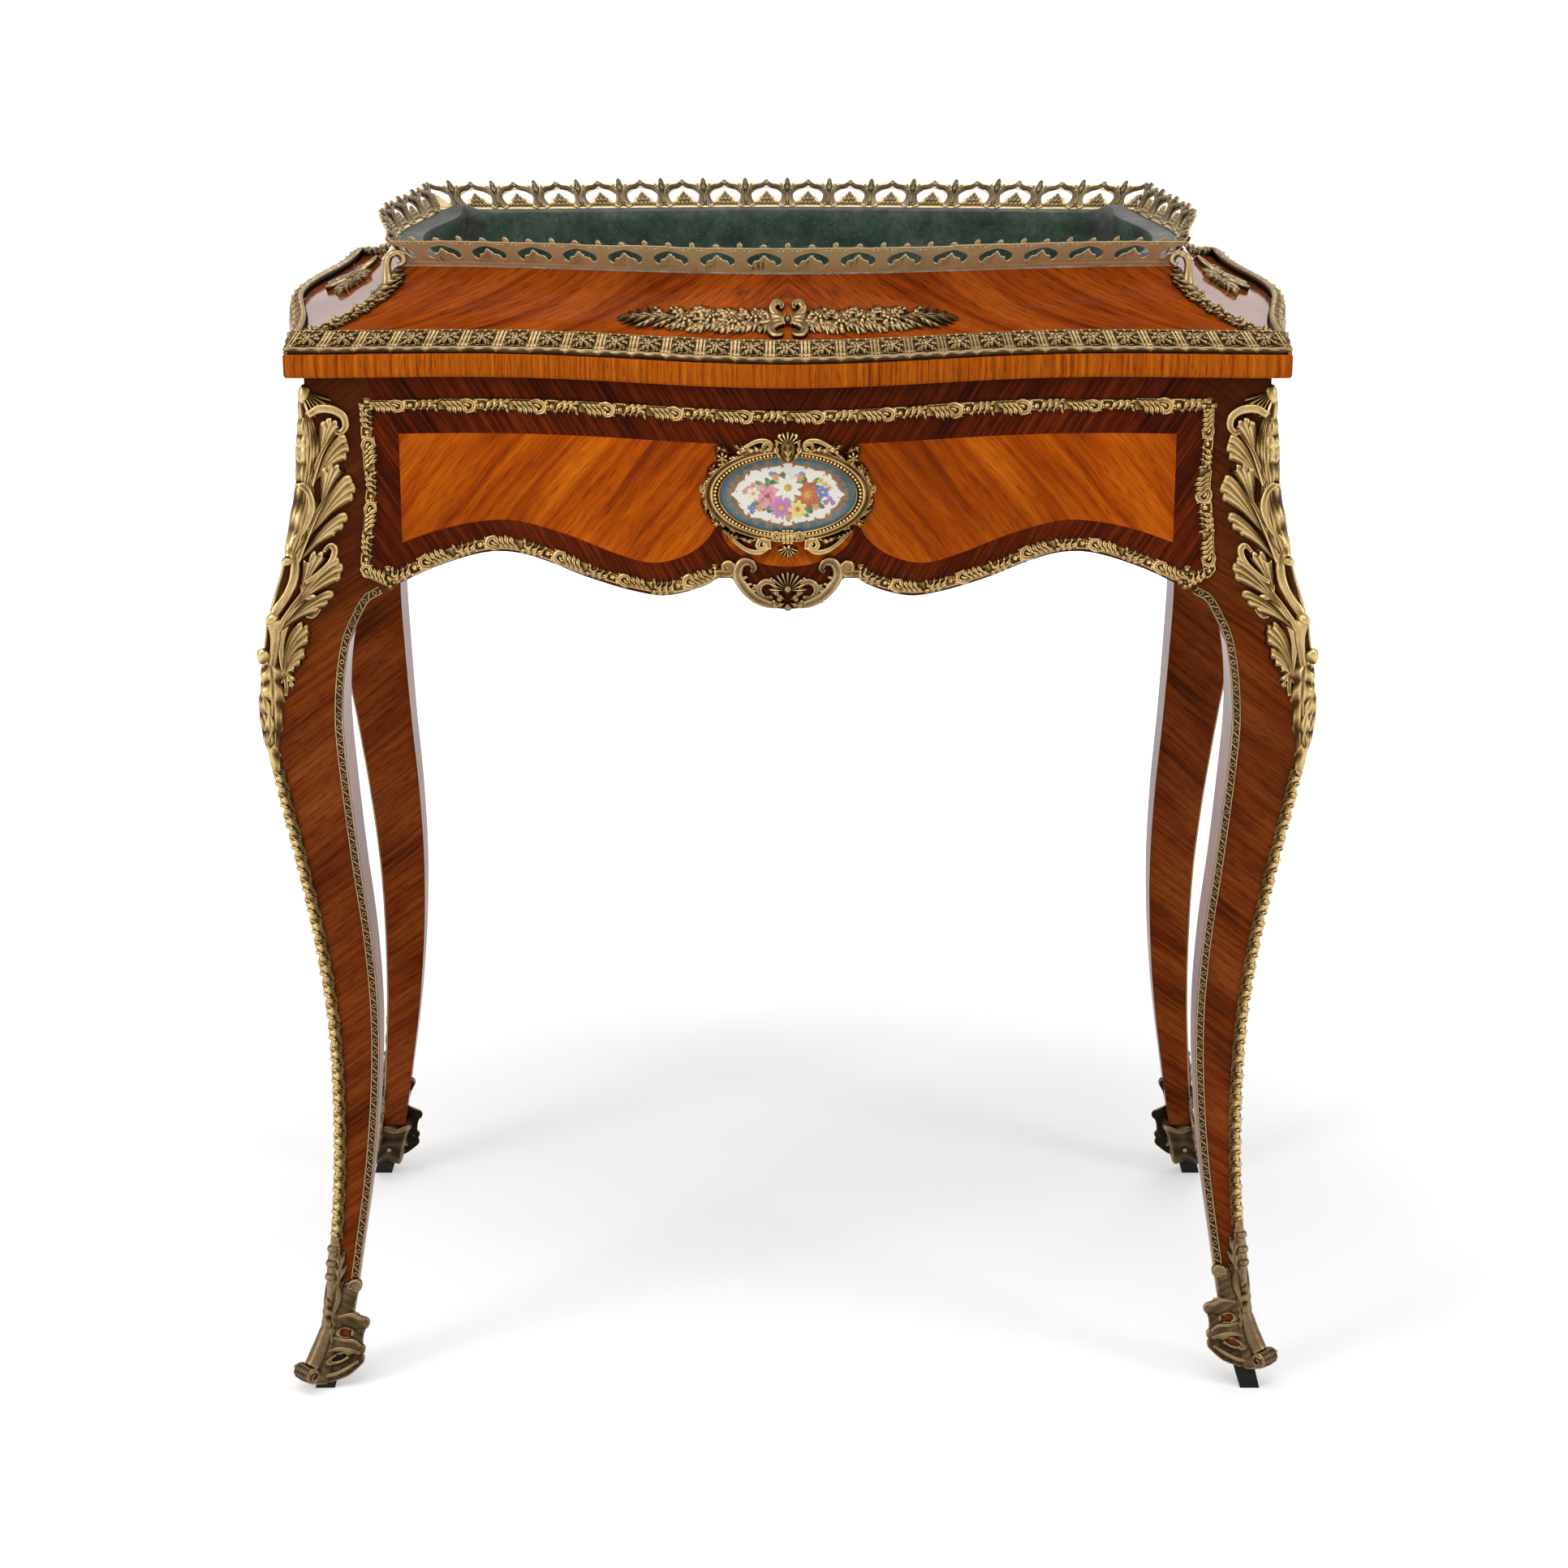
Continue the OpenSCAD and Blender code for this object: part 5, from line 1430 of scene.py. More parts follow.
def frame_runs(k):
    """Lines of (u, drop below the board) for the top, the sides and the lower edge of one apron."""
    down = np.array((LONG_DOWN, SHORT_DOWN)[k % 2], float)
    half = apron_half(k)

    def run_drop(u):
        a = np.abs(u)
        return apron_drop(k, np.minimum(a, half)) - FRAME_LOW - 0.3 * np.maximum(a - half, 0)

    outer = half + 6
    low = run_drop(outer)
    top_u = down[0, 0] - 1.0
    top = np.array([(u, FRAME_TOP) for u in np.linspace(-top_u, top_u, 120)])
    drops = np.concatenate([np.linspace(FRAME_TOP, KNEE_DROP, 30), np.linspace(KNEE_DROP + 2, low, 8)])
    drops = drops[drops < down[-1, 1]]
    left = np.stack([-np.interp(drops, down[:, 1], down[:, 0]), drops], -1)
    start, end = down[-1] * (-1, 1), np.array([1 - outer, low + 6])
    count = max(int(np.linalg.norm(end - start) / 1.5), 2)
    left = np.vstack([left, mix(start, end, np.linspace(0, 1, count + 1)[:, None])])
    runs = [top, left[::-1], left * (-1, 1)]
    if k == 0:
        u = np.linspace(outer, LOBE_END, 90)
        lower = np.stack([u, run_drop(u)], -1)
        return runs + [lower, (lower * (-1, 1))[::-1]]
    u = np.linspace(outer, -outer, 160)
    return runs + [np.stack([u, run_drop(u)], -1)]


# %% Cast the frame mouldings
CURL_AT = (40.5, 616.4)


def lobe_volute(s):
    spiral = [(x * s, y, z) for x, y, z in curl(*CURL_AT, 4.6, -60, 1.2, -1, end=0.25)]
    return [scroll([(LOBE_END * s, 612), (44 * s, 612.5)] + spiral, [2.6, 2.8, 2.8, 2.6, 2.2, 1.6], base=1.0,
                   steps=44), boss(CURL_AT[0] * s, CURL_AT[1], 2.2, 2.6, base=2.6)]


for k, side in enumerate(SIDES):
    rows = []
    for index, (u, drop) in enumerate(run.T for run in frame_runs(k)):
        z = UNDER_Z - drop
        rail = side_point(k, u, face_v(k, u, z), z)
        rows.append(cast_row(rail, run_side(rail, OUTWARD[k]), OUTWARD[k], frame_parts, FRAME_PITCH,
                             k * 10 + index, FRAME_VARY, stretch=True))
        for end in (0, -1):
            flower = boss(u[end], z[end], 5.2, 3.4, petals=4, turn=0.785, base=0.4)
            rows.append(solid_row([flower], on_side(k)))
    if k == 0:
        rows += [solid_row(lobe_volute(s), on_side(0)) for s in (-1, 1)]
    join_rows(f"frame_moulding_cast_{side}", rows, GILT, f"frame_moulding_{side}")

# %% [markdown]
# ## The moulding round the top board
# This border climbs from the edge of the board to the foot of the cover. Each unit has a flower
# between two channelled scrolls, an upright leaf at its end and a scalloped lip below.

# %% Cast the edge mouldings
EDGE_PITCH = 23.0
EDGE_HALF = EDGE_PITCH / 2
EDGE_SEED, EDGE_VARY = 40, 0.03
SLOPE_FOOT = np.array([2.5, 5.0])
SLOPE_HEAD = np.array([8.0, 12.6])
ROW_AT = 0.52


def edge_lip(x):
    out = abs(math.sin(math.pi * (x + EDGE_HALF) / EDGE_PITCH * 2)) ** 0.7
    return [(x, y, z) for y, z in (
        (-8.7, -2.6), (-8.4, -0.8), (-7.8, 0.0), (-6.8, 0.8 + 0.5 * out), (-5.8, 1.4 + 0.6 * out),
        (-5.1, 0.9), (-4.6, -0.2), (5.0, -0.2), (6.0, 1.3), (6.7, 0.9), (6.6, -1.2), (5.0, -2.2))]


def edge_field(x):
    ys = np.linspace(-4.6, 5.0, 9)
    rough = 0.75 + 0.4 * np.sin(1.6 * ys + 0.8 * x) * np.cos(1.2 * x - 0.6 * ys)
    return [(x, -4.8, -1.5), *((x, y, z) for y, z in zip(ys, rough)), (x, 5.2, -1.5)]


def edge_unit():
    wavy = [(x, -6.3 - 0.4 * math.cos(2 * math.pi * x / EDGE_HALF))
            for x in np.linspace(-EDGE_HALF, EDGE_HALF, 17)]
    parts = [loft(np.array([edge_lip(x) for x in np.linspace(-EDGE_HALF, EDGE_HALF, 17)], float)),
             loft(np.array([edge_field(x) for x in np.linspace(-EDGE_HALF, EDGE_HALF, 14)], float)),
             scroll(wavy, [1.25, 1.25], base=-0.2, steps=20, around=7, groove=0.0)]
    for s in (-1, 1):
        for y0, y1 in ((-0.6, -4.2), (1.2, 4.6)):
            parts.append(leaf([(1.0 * s, y0 * 0.4), (3.6 * s, y1 * 0.55), (6.8 * s, y1)], 2.3, 2.6, lobes=3,
                              cut=0.35, base=0.8, steps=12, columns=7))
        parts.append(leaf([(3.0 * s, 0.2), (5.4 * s, 0.4), (8.0 * s, -0.2)], 1.7, 2.2, lobes=2, base=1.2,
                          steps=8, columns=5))
        for x, r in ((11.4, 1.2), (9.0, 0.9)):
            parts.append(scroll([(x * s, -5.2), ((x + 0.1) * s, 0.5), (x * s, 6.0)], [0.7 * r, r, 0.8 * r],
                                base=0.1, steps=8, around=7, groove=0.2))
        parts.append(boss(5.8 * s, 5.8, 1.4, 1.6, base=0.8, rings=3, around=8))
    return parts + [boss(0, 0.2, 4.0, 3.2, petals=5, base=1.3, rings=6, depth=0.4),
                    boss(0, 0.2, 1.7, 1.4, base=3.6, rings=3, around=8),
                    boss(0, 5.8, 1.5, 1.6, base=0.8, rings=3, around=8)]


edge_parts = edge_unit()
around_t = np.linspace(-1, 1, 160)
# The edge mouldings take the darkest copy of the gilt: painted shade, as they face the top lamp.
for k, side in enumerate(SIDES):
    foot, head = (top_point(k, around_t, inset, TOP_Z + up) for inset, up in (SLOPE_FOOT, SLOPE_HEAD))
    rail = mix(foot, head, ROW_AT)
    climb = (head - foot) / np.linalg.norm(SLOPE_HEAD - SLOPE_FOOT)
    face = unit(np.cross(unit(np.gradient(rail, axis=0)), climb))
    row = cast_row(rail, climb, face, edge_parts, EDGE_PITCH, EDGE_SEED + k, EDGE_VARY,
                   stretch=True)
    join_rows(f"edge_moulding_cast_{side}", [row], GILT_MORE_SHADED, f"edge_moulding_{side}")

# %% [markdown]
# ## The gallery
# Four castings stand on the rim and lean outward. Their outer side is left plain, pierced with
# crescents; the inner side has the relief: waisted posts with a pointed leaf, arches that meet in a
# small knob, and a cluster of petals in the foot of each arch.

# %% The unit of the gallery
BAY = 31.0
GALLERY_SEED, GALLERY_VARY = 60, 0.02
# The plain outer side of the gallery takes this fixed value in place of its height: painted light, which
# makes it render bright.
GALLERY_OUTSIDE_PAINTED_LIGHT = 1.05
POST_HALF = 3.7
BAY_MIDDLE = 9.6
FOOT_RAIL = [(0, -1.0), (0, 1.3), (1.2, 1.7), (2.4, 1.2), (3.0, 0.2), (3.0, -1.0)]
TOP_WIRE = [(20.6, -1.2), (19.9, -1.35), (19.2, -1.2), (19.2, -0.9), (20.6, -0.9)]
CLUSTER = [(-7.6, 3.8, 1.5), (-4.6, 4.6, 1.8), (-1.6, 4.4, 1.8), (1.6, 4.4, 1.8), (4.6, 4.6, 1.8),
           (7.6, 3.8, 1.5),
           (-3.1, 7.4, 1.9), (0, 7.6, 2.0), (3.1, 7.4, 1.9), (-1.5, 10.0, 1.6), (1.5, 10.0, 1.6),
           (0, 12.0, 1.5)]


def pierced_sheet():
    """The sheet below and above a bay's crescent."""
    half = BAY / 2
    xs = np.concatenate([np.linspace(0, 3.5, 4), np.linspace(3.9, half, 18)])
    xs = np.concatenate([-xs[:0:-1], xs])
    across = np.clip((np.abs(xs) - POST_HALF) / (half - POST_HALF), 0, 1)
    opening = np.sin(np.pi / 2 * across) ** 0.42
    wave = 7.4 + 0.8 * np.cos((1 - across) * 9.5)
    cluster = np.sqrt(np.clip(1 - ((1 - across) / 0.66) ** 2, 0, 1)) * wave
    foot = BAY_MIDDLE - opening * 5.8 + cluster
    head = BAY_MIDDLE + opening * (5.6 + 1.6 * across)
    knobs = 2.0 * np.exp(-((half - np.abs(xs)) / 1.5) ** 2) + 1.4 * np.exp(-(xs / 1.8) ** 2)
    crown = 18.0 + 1.5 * across**2 + knobs
    back, front = xs * 0 - 0.9, xs * 0 + 0.25
    sheet = []
    for low, high in ((xs * 0, foot), (head, crown)):
        edges = ((xs, low, back), (xs, high, back), (xs, high, front), (xs, low, front))
        sheet.append(loft(np.stack([np.stack(edge, -1) for edge in edges], 1)))
    return sheet


def gallery_unit():
    parts = pierced_sheet() + [ridge_bar(BAY / 2, FOOT_RAIL), ridge_bar(BAY / 2, TOP_WIRE)]
    for s in (-1, 1):
        bar = [(4.8 * s, 1.2), (2.9 * s, 6.0), (2.3 * s, 10.5), (3.7 * s, 14.6), (7.6 * s, 17.0),
               (11.6 * s, 17.8), (15.0 * s, 20.2)]
        parts += [scroll(bar, [2.5, 2.2, 1.9, 2.0, 1.6, 1.5, 1.5], base=0.4, steps=26, around=8, groove=0.3,
                         floor=-0.8),
                  leaf([(1.2 * s, 14.0), (3.6 * s, 15.4), (4.8 * s, 19.0)], 1.8, 1.5, lobes=2, base=1.6,
                       steps=8, columns=5), boss(1.9 * s, 2.9, 1.3, 1.6, base=1.4, rings=3, around=8)]
    parts += [leaf([(0, 2.4), (0, 8), (0, 13.5)], 1.7, 2.2, lobes=0, base=0.9, steps=10, columns=7),
              leaf([(0, 12.5), (0, 17.5), (0, 23.6)], 2.7, 2.2, lobes=2, base=1.0, steps=12, columns=7,
                   floor=-0.8)]
    parts += [boss(BAY / 2 + x, y, r, 1.7, base=0.5, rings=3, around=9, floor=-0.9) for x, y, r in CLUSTER]
    return parts + [boss(BAY / 2, 20.9, 1.9, 1.7, base=0.2, rings=4, around=10, floor=-0.9)]


gallery_parts = gallery_unit()
print("a bay of the gallery has", len(gallery_parts), "solids")

# %% Cast the gallery
GALLERY_H = 20.5
GALLERY_LEAN = 11.0
GALLERY_END = 1.2
GALLERY_INSET = 1.2
LEAN = math.atan2(GALLERY_LEAN, GALLERY_H)

# Each gallery's plain outer side gets painted light through its fixed value.
for k, side in enumerate(SIDES):
    limit = 1 - GALLERY_END / RIM_U[k]
    rail = rim_point(k, np.linspace(-limit, limit, 160), GALLERY_INSET, LEDGE_Z)
    if k != 0:
        rail = rail[::-1]
    up = OUTWARD[k] * math.sin(LEAN) + UP * math.cos(LEAN)
    face = UP * math.sin(LEAN) - OUTWARD[k] * math.cos(LEAN)
    row = cast_row(rail, up, face, gallery_parts, BAY, GALLERY_SEED + k, GALLERY_VARY, plain=GALLERY_OUTSIDE_PAINTED_LIGHT,
                   stretch=True)
    points = row[0]
    points[:, k % 2] *= 1 + (points[:, 2] - LEDGE_Z) * GALLERY_LEAN / GALLERY_H / RIM_U[k]
    join_rows(f"gallery_cast_{side}", [row], GALLERY_BRASS, f"gallery_{side}")

# %% [markdown]
# ## The strips down the legs
# A strip of scrolls is folded round each outer edge of a leg, and a narrow strip of rings between
# two ribs follows the inner edge of each face.

# %% The units of the leg strips
ARRIS_PITCH = 17.0
ARRIS_SEED, ARRIS_VARY = 80, 0.04
ARRIS_PROFILE = [(6.6, -0.3), (6.4, 0.9), (4.9, 0.7), (0, 1.0), (-4.9, 0.7), (-6.4, 0.9), (-6.6, -0.3)]
STRIP_PITCH = 9.0
STRIP_SEED, STRIP_VARY = 90, 0.03
STRIP_PROFILE = [(2.75, -0.3), (2.7, 1.0), (2.0, 1.15), (1.75, 0.5), (-1.75, 0.5), (-2.0, 1.15), (-2.7, 1.0),
                 (-2.75, -0.3)]
STRIP_RISES = [0, 0.6, 0.7, 0.1, 0.1, 0.7, 0.6, 0]
RING_R = 1.9


def arris_unit():
    parts = [ridge_bar(ARRIS_PITCH / 2, ARRIS_PROFILE, 2)]
    for s in (-1, 1):
        bend = [(-8 * s, 2.5), (-5.5 * s, 5.3), (-1.5 * s, 3.6), (1.5 * s, -3.6), (5.5 * s, -5.3),
                (8 * s, -2.5)]
        parts += [scroll(bend, [0.6, 1.4, 1.6, 1.6, 1.4, 0.6], base=0.9, steps=20, around=6),
                  leaf([(-5 * s, -5.6), (-1 * s, -4.9), (3.6 * s, -0.8)], 2.2, 2.2, lobes=3, base=0.9,
                       steps=9, columns=5), boss(-5.2 * s, -1.6 * s, 1.7, 2.0, base=0.8, rings=3, around=8),
                  boss(-4.0 * s, 0.3 * s, 1.9, 2.4, base=0.9, rings=4, around=8)]
    return parts


def folded(shape):
    """Folds flat work along y = 0 so that it grips a square edge."""
    points, quads, tris = shape
    x, y, z = points.T
    c = math.sqrt(0.5)
    s = np.clip(y / 1.2, -1, 1)
    gripped = np.stack([x, y * c + z * c * s, z * (c + (1 - c) * (1 - np.abs(s))) - np.abs(y) * c + 0.5], -1)
    return gripped, quads, tris


def strip_unit():
    a = np.linspace(0, 2 * np.pi, 9)[:-1]
    ring = np.array([np.stack([RING_R * np.cos(a) * f, RING_R * np.sin(a) * f, 0 * a + z], -1)
                     for f, z in ((0.45, 0.45), (0.62, 0.95), (0.85, 0.95), (1.0, 0.4))])
    diagonal = [(2.6, -1.9), (4.5, 0), (6.4, 1.9)]
    return [disc(ring, (0, 0, 0.7)), scroll(diagonal, [0.35, 0.7, 0.35], base=0.2, steps=3, around=4)]


arris_parts = [folded(p) for p in arris_unit()]
strip_parts = strip_unit()
print("units of", len(arris_parts), "and", len(strip_parts), "solids")

# %% Cast the leg strips
SHOE_TOP = 106.0
SHOE_LIFT = [4, 15, 7, 7]
ARRIS_TOP = 474.0
STRIP_TOP = 592
STRIP_FOOT = [53, 77, 53, 53]
STRIP_INSET = 3.0


def leg_rail(corner, x, heights):
    return on_leg(corner)(np.stack(np.broadcast_arrays(x, heights, 0.0), -1))


def ribs(rail, side, face):
    y, z = np.array(STRIP_PROFILE).T[..., None]
    shape = loft(rail[:, None] + side[:, None] * y + face * z)
    return (*shape, np.tile(STRIP_RISES, len(rail) + 1)[:len(shape[0])])


arris_rows, strip_rows = [], []
for c, corner in enumerate(CORNERS):
    ka, kb, sa, sb = CORNERS[corner]
    rail = leg_rail(corner, 0.01, np.linspace(SHOE_TOP + SHOE_LIFT[c] + 1, ARRIS_TOP, 90))
    face = unit(OUTWARD[ka] + OUTWARD[kb])
    arris_rows.append(cast_row(rail, run_side(rail, face), face, arris_parts, ARRIS_PITCH, ARRIS_SEED + c,
                               ARRIS_VARY))
    heights = np.linspace(STRIP_FOOT[c], STRIP_TOP, 120)
    reach = leg_out(heights) + leg_in(heights) - STRIP_INSET
    for k, sign in ((ka, 1), (kb, -1)):
        rail = leg_rail(corner, sign * reach, heights)
        across = run_side(rail, OUTWARD[k])
        strip_rows.append(cast_row(rail, across, OUTWARD[k], strip_parts, STRIP_PITCH, STRIP_SEED + c,
                                   STRIP_VARY))
        strip_rows.append(ribs(rail, across, OUTWARD[k]))
# Darker copies of the gilt: painted shade on the leg strips.
join_rows("arris_strips_cast", arris_rows, GILT_SHADED, "arris_strips")
join_rows("inner_edge_strips_cast", strip_rows, GILT_MORE_SHADED, "inner_edge_strips")

# %% [markdown]
# ## Knee mounts
# The big mounts grip the knees. From the top they have a fluted collar with a horn, a long leaf
# with raked lobes, a slender scroll on the arris, a second leaf with a curled tip, an open scroll
# with a small leaf inside and a last leaf that tapers into the strip below. One side is drawn, and
# its mirror image goes on the other face.

# %% Draw the knee mounts
def broad_leaf(knots, width, height, base):
    return leaf(knots, width, height, lobes=3, cut=0.16, sweep=0.5, base=base, columns=15, veins=1.0)


def knee_side():
    return [
        scroll([(3, 714), (10, 718), (19, 717.5), (26, 713), (27.6, 706), (24, 701.5), (20.4, 703.5)],
               [2.6, 3.4, 3.3, 2.9, 2.6, 2.2, 1.6], base=1.6),
        broad_leaf([(2.5, 664), (4, 680), (4, 698), (2, 716)], 7.0, 4.2, 1.6),
        *acanthus([(5, 663), (8, 676), (13, 690), (21, 701)],
                  [((11, 684), [(15, 706.5), (18.8, 708.5), (22.5, 706.5)]),
                   ((8, 668), [(28.5, 697), (30, 691.5), (28.5, 686)])], 4.6, 3.2),
        broad_leaf([(2, 618), (4, 636), (5, 654), (3.5, 674)], 7.5, 4.6, 1.8),
        *acanthus([(5, 614), (8, 632), (14, 652), (23, 668)],
                  [((14, 650), [(16.5, 675.5), (20.5, 678), (24.5, 676.5)]),
                   ((10, 632), [(33, 669.5), (35.5, 664), (34.5, 658)]),
                   ((6, 614), [(33, 644), (31, 638.5), (26.5, 634.5)])], 5.0, 3.6),
        scroll([(0.5, 668), (5.5, 661), (8.5, 651), (6.5, 640), (2, 630), (0.5, 620)],
               [1.4, 2.3, 2.7, 2.5, 2.0, 1.4], base=3.6),
        *acanthus([(5, 568), (9, 582), (16, 596), (26, 610)],
                  [((14, 593), [(13.5, 615), (17.5, 619), (22, 617.5)]),
                   ((10, 581), [(33.5, 613.5), (37, 609), (37, 603)]),
                   ((6, 569), [(35.5, 590.5), (33, 585.5), (28.5, 582)])], 4.8, 3.4),
        scroll([(15, 601), (22, 606), (28, 614), (28.5, 622), (24.5, 625), (21.5, 621)],
               [1.8, 2.6, 2.7, 2.4, 2.0, 1.4], base=2.4, steps=34),
        scroll([(1.5, 624), (5.5, 612), (6.5, 600), (3.5, 588), (0.5, 579)], [1.5, 3.0, 3.4, 3.0, 1.6],
               base=2.2, steps=34),
        scroll([(13, 600), (17, 592), (23.5, 588.5), (28, 583), (26.5, 577), (22, 577.5)],
               [1.6, 2.6, 2.8, 2.4, 2.0, 1.5], base=1.0, steps=30),
        scroll([(23, 590), (15, 586), (10.5, 574), (9.5, 560), (12, 545), (14.5, 534), (14, 526)],
               [1.8, 2.3, 2.4, 2.3, 2.0, 1.7, 1.2], base=0.5, steps=44),
        *spread((11.5, 541), [(21.5, 571), (25.5, 568), (26.5, 562)], 4.6, 3.2, base=0.7),
        *spread((11.5, 535), [(25.5, 553), (23, 548), (19.5, 544)], 4.2, 3.0),
        leaf([(12, 545), (16.5, 538), (18.5, 531)], 3.8, 2.8, lobes=3, cut=0.35, base=0.6, lift=0.8,
             columns=9),
        scroll([(2.5, 577), (5.5, 565), (5.5, 552), (4.5, 540)], [3.0, 3.2, 2.6, 1.8], base=1.4, steps=24),
        leaf([(1.5, 556), (5.5, 540), (5.5, 515), (1.2, 480)], 8.0, 4.0, cut=0.3, sweep=0.5, base=0.4),
        leaf([(4, 522), (8.5, 527), (10.5, 535)], 3.0, 2.6, lobes=2, base=0.8, columns=7),
        leaf([(1, 712), (2.5, 690), (2.2, 672)], 3.4, 3.4, lobes=4, base=2.4, columns=9),
        leaf([(1, 528), (3, 508), (0.8, 488)], 3.0, 2.8, lobes=3, base=2.8, columns=9)]


# %% Cast the knee mounts
knee_parts = both_ways(knee_side()) + [
    fan(0, 730, 3.5, 19, -166, -14, 13, 4.6, base=0.8, scallop=0.16, rows=14),
    leaf([(0, 720), (0, 727), (0, 734)], 4.5, 3.6, lobes=0, base=0.8),
    boss(0, 578.5, 4.6, 5.0, base=1.0), boss(0, 616, 3.6, 3.6, base=2.6),
    leaf([(0, 560), (0, 556), (0, 549)], 4.2, 4.4, lobes=0, base=2.6),
    leaf([(0, 500), (0, 485), (0, 466)], 5.5, 3.4, lobes=2, cut=0.2, base=0.3)]
# A darker copy of the gilt: painted shade on the knees.
for corner in CORNERS:
    cast(f"knee_cast_{corner}", at_corner(knee_parts, on_leg, corner), GILT_SHADED, f"knee_mount_{corner}")

# %% [markdown]
# ## Hip mounts and sprays
# A garland of leaf pairs and small flowers climbs each mitre of the cover and ends in a spiky leaf.
# A horn curls over it above the rim. On each cover panel lies a spray: pointed leaves at both ends,
# flowers between leaf pairs, and four fluted ribbon scrolls in the middle.

# %% Draw the hip mounts
def hip_parts():
    top = HIP_LENGTH
    stem = [(0, 4), (0.6, top * 0.25), (-0.5, top * 0.5), (0, top * 0.8)]
    parts = [scroll(stem, [1.4, 1.8, 2.0, 2.4], base=0.4)]
    draw = random.Random(8)
    for i, f in enumerate(np.linspace(0.05, 0.60, 7)):
        grow = 0.85 + 0.35 * f
        y = f * top
        hand = 1 if i % 2 else -1
        for s in (-1, 1):
            out = draw.uniform(5.5, 8.6) * grow
            knots = [(0.6 * s, y), (out * 0.6 * s, y + draw.uniform(-1, 2)),
                     (out * s, y + draw.uniform(1, 6))]
            parts.append(leaf(knots, 3.0 * grow, 2.6, lobes=3, cut=0.45, base=0.6, lift=0.8, columns=9,
                              veins=0.8))
        parts += [boss(1.8 * hand, y + 2, draw.uniform(5.2, 6.4), 4.2, petals=5, base=2.2, rings=7, depth=0.5,
                       turn=i), boss(1.8 * hand, y + 2, 1.7, 2.0, base=5.4, rings=3, around=8),
                  boss(-4.2 * hand, y + 5, 2.9, 3.0, petals=4, base=1.6, rings=5, depth=0.4)]
    for f, reach, rise in ((0.66, 8.5, 8), (0.76, 9.5, 9), (0.86, 7.5, 8)):
        for s in (-1, 1):
            y = f * top
            knots = [(1.0 * s, y - 6), (reach * 0.5 * s, y - 3), (reach * s, y + rise - 4)]
            parts.append(leaf(knots, 3.8, 3.4, lobes=3, cut=0.4, base=1.2, lift=1.8, columns=9))
    spike = [(0, top * 0.52), (0, top * 0.75), (0, top * 0.985)]
    return parts + [leaf(spike, 8.5, 4.6, lobes=6, cut=0.34, base=1.0, columns=13),
                    leaf([(0, 2), (0, 8), (0, 14)], 3.4, 2.6, lobes=2, base=0.3, columns=7)]


# %% Cast the hip mounts
SWAN = np.array([(13.0, 0, -17.0), (10.0, -1.2, -10.5), (9.2, -2.0, -3.5), (9.4, -1.6, 3.0), (9.8, 0.8, 7.8),
                 (9.8, 4.6, 9.6), (9.4, 8.2, 7.8), (8.8, 9.4, 4.4), (8.6, 7.4, 2.2), (8.8, 5.6, 3.4)])
SWAN_R = [5.0, 4.3, 3.4, 2.9, 2.7, 2.5, 2.3, 2.0, 1.7, 1.2]
HORN_RISE = 1.6


def horn(corner):
    """The swan-necked horn: its knots run outward, inward along the rim, and up."""
    ka, kb, sa, sb = CORNERS[corner]
    rim = cove(ka, sa, 1.0)
    outwards = unit((cove(ka, sa, 0.0) - rim) * (1, 1, 0))
    inwards = np.array([-np.sign(rim[0]), 0, 0])
    path = smooth_path(rim + SWAN @ np.array([outwards, inwards, UP]), 60)
    return tube(path, evenly(SWAN_R, 60), unit(outwards + 0.3 * UP), 14, 0.12)


hip_flat = hip_parts()
# The darkest copy of the gilt: painted shade on the hips, which face up.
for corner in CORNERS:
    rows = [at_corner(hip_flat, on_hip, corner), plain_row(horn(corner), HORN_RISE)]
    join_rows(f"hip_cast_{corner}", rows, GILT_MORE_SHADED, f"hip_mount_{corner}")

# %% Draw the sprays
LONG_BLOOMS = [(0.60, -0.6, 7.0), (0.45, 1.6, 6.6), (0.31, -1.6, 7.2), (0.19, 2.4, 6.2)]
SHORT_BLOOMS = [(0.46, 0.4, 6.4)]


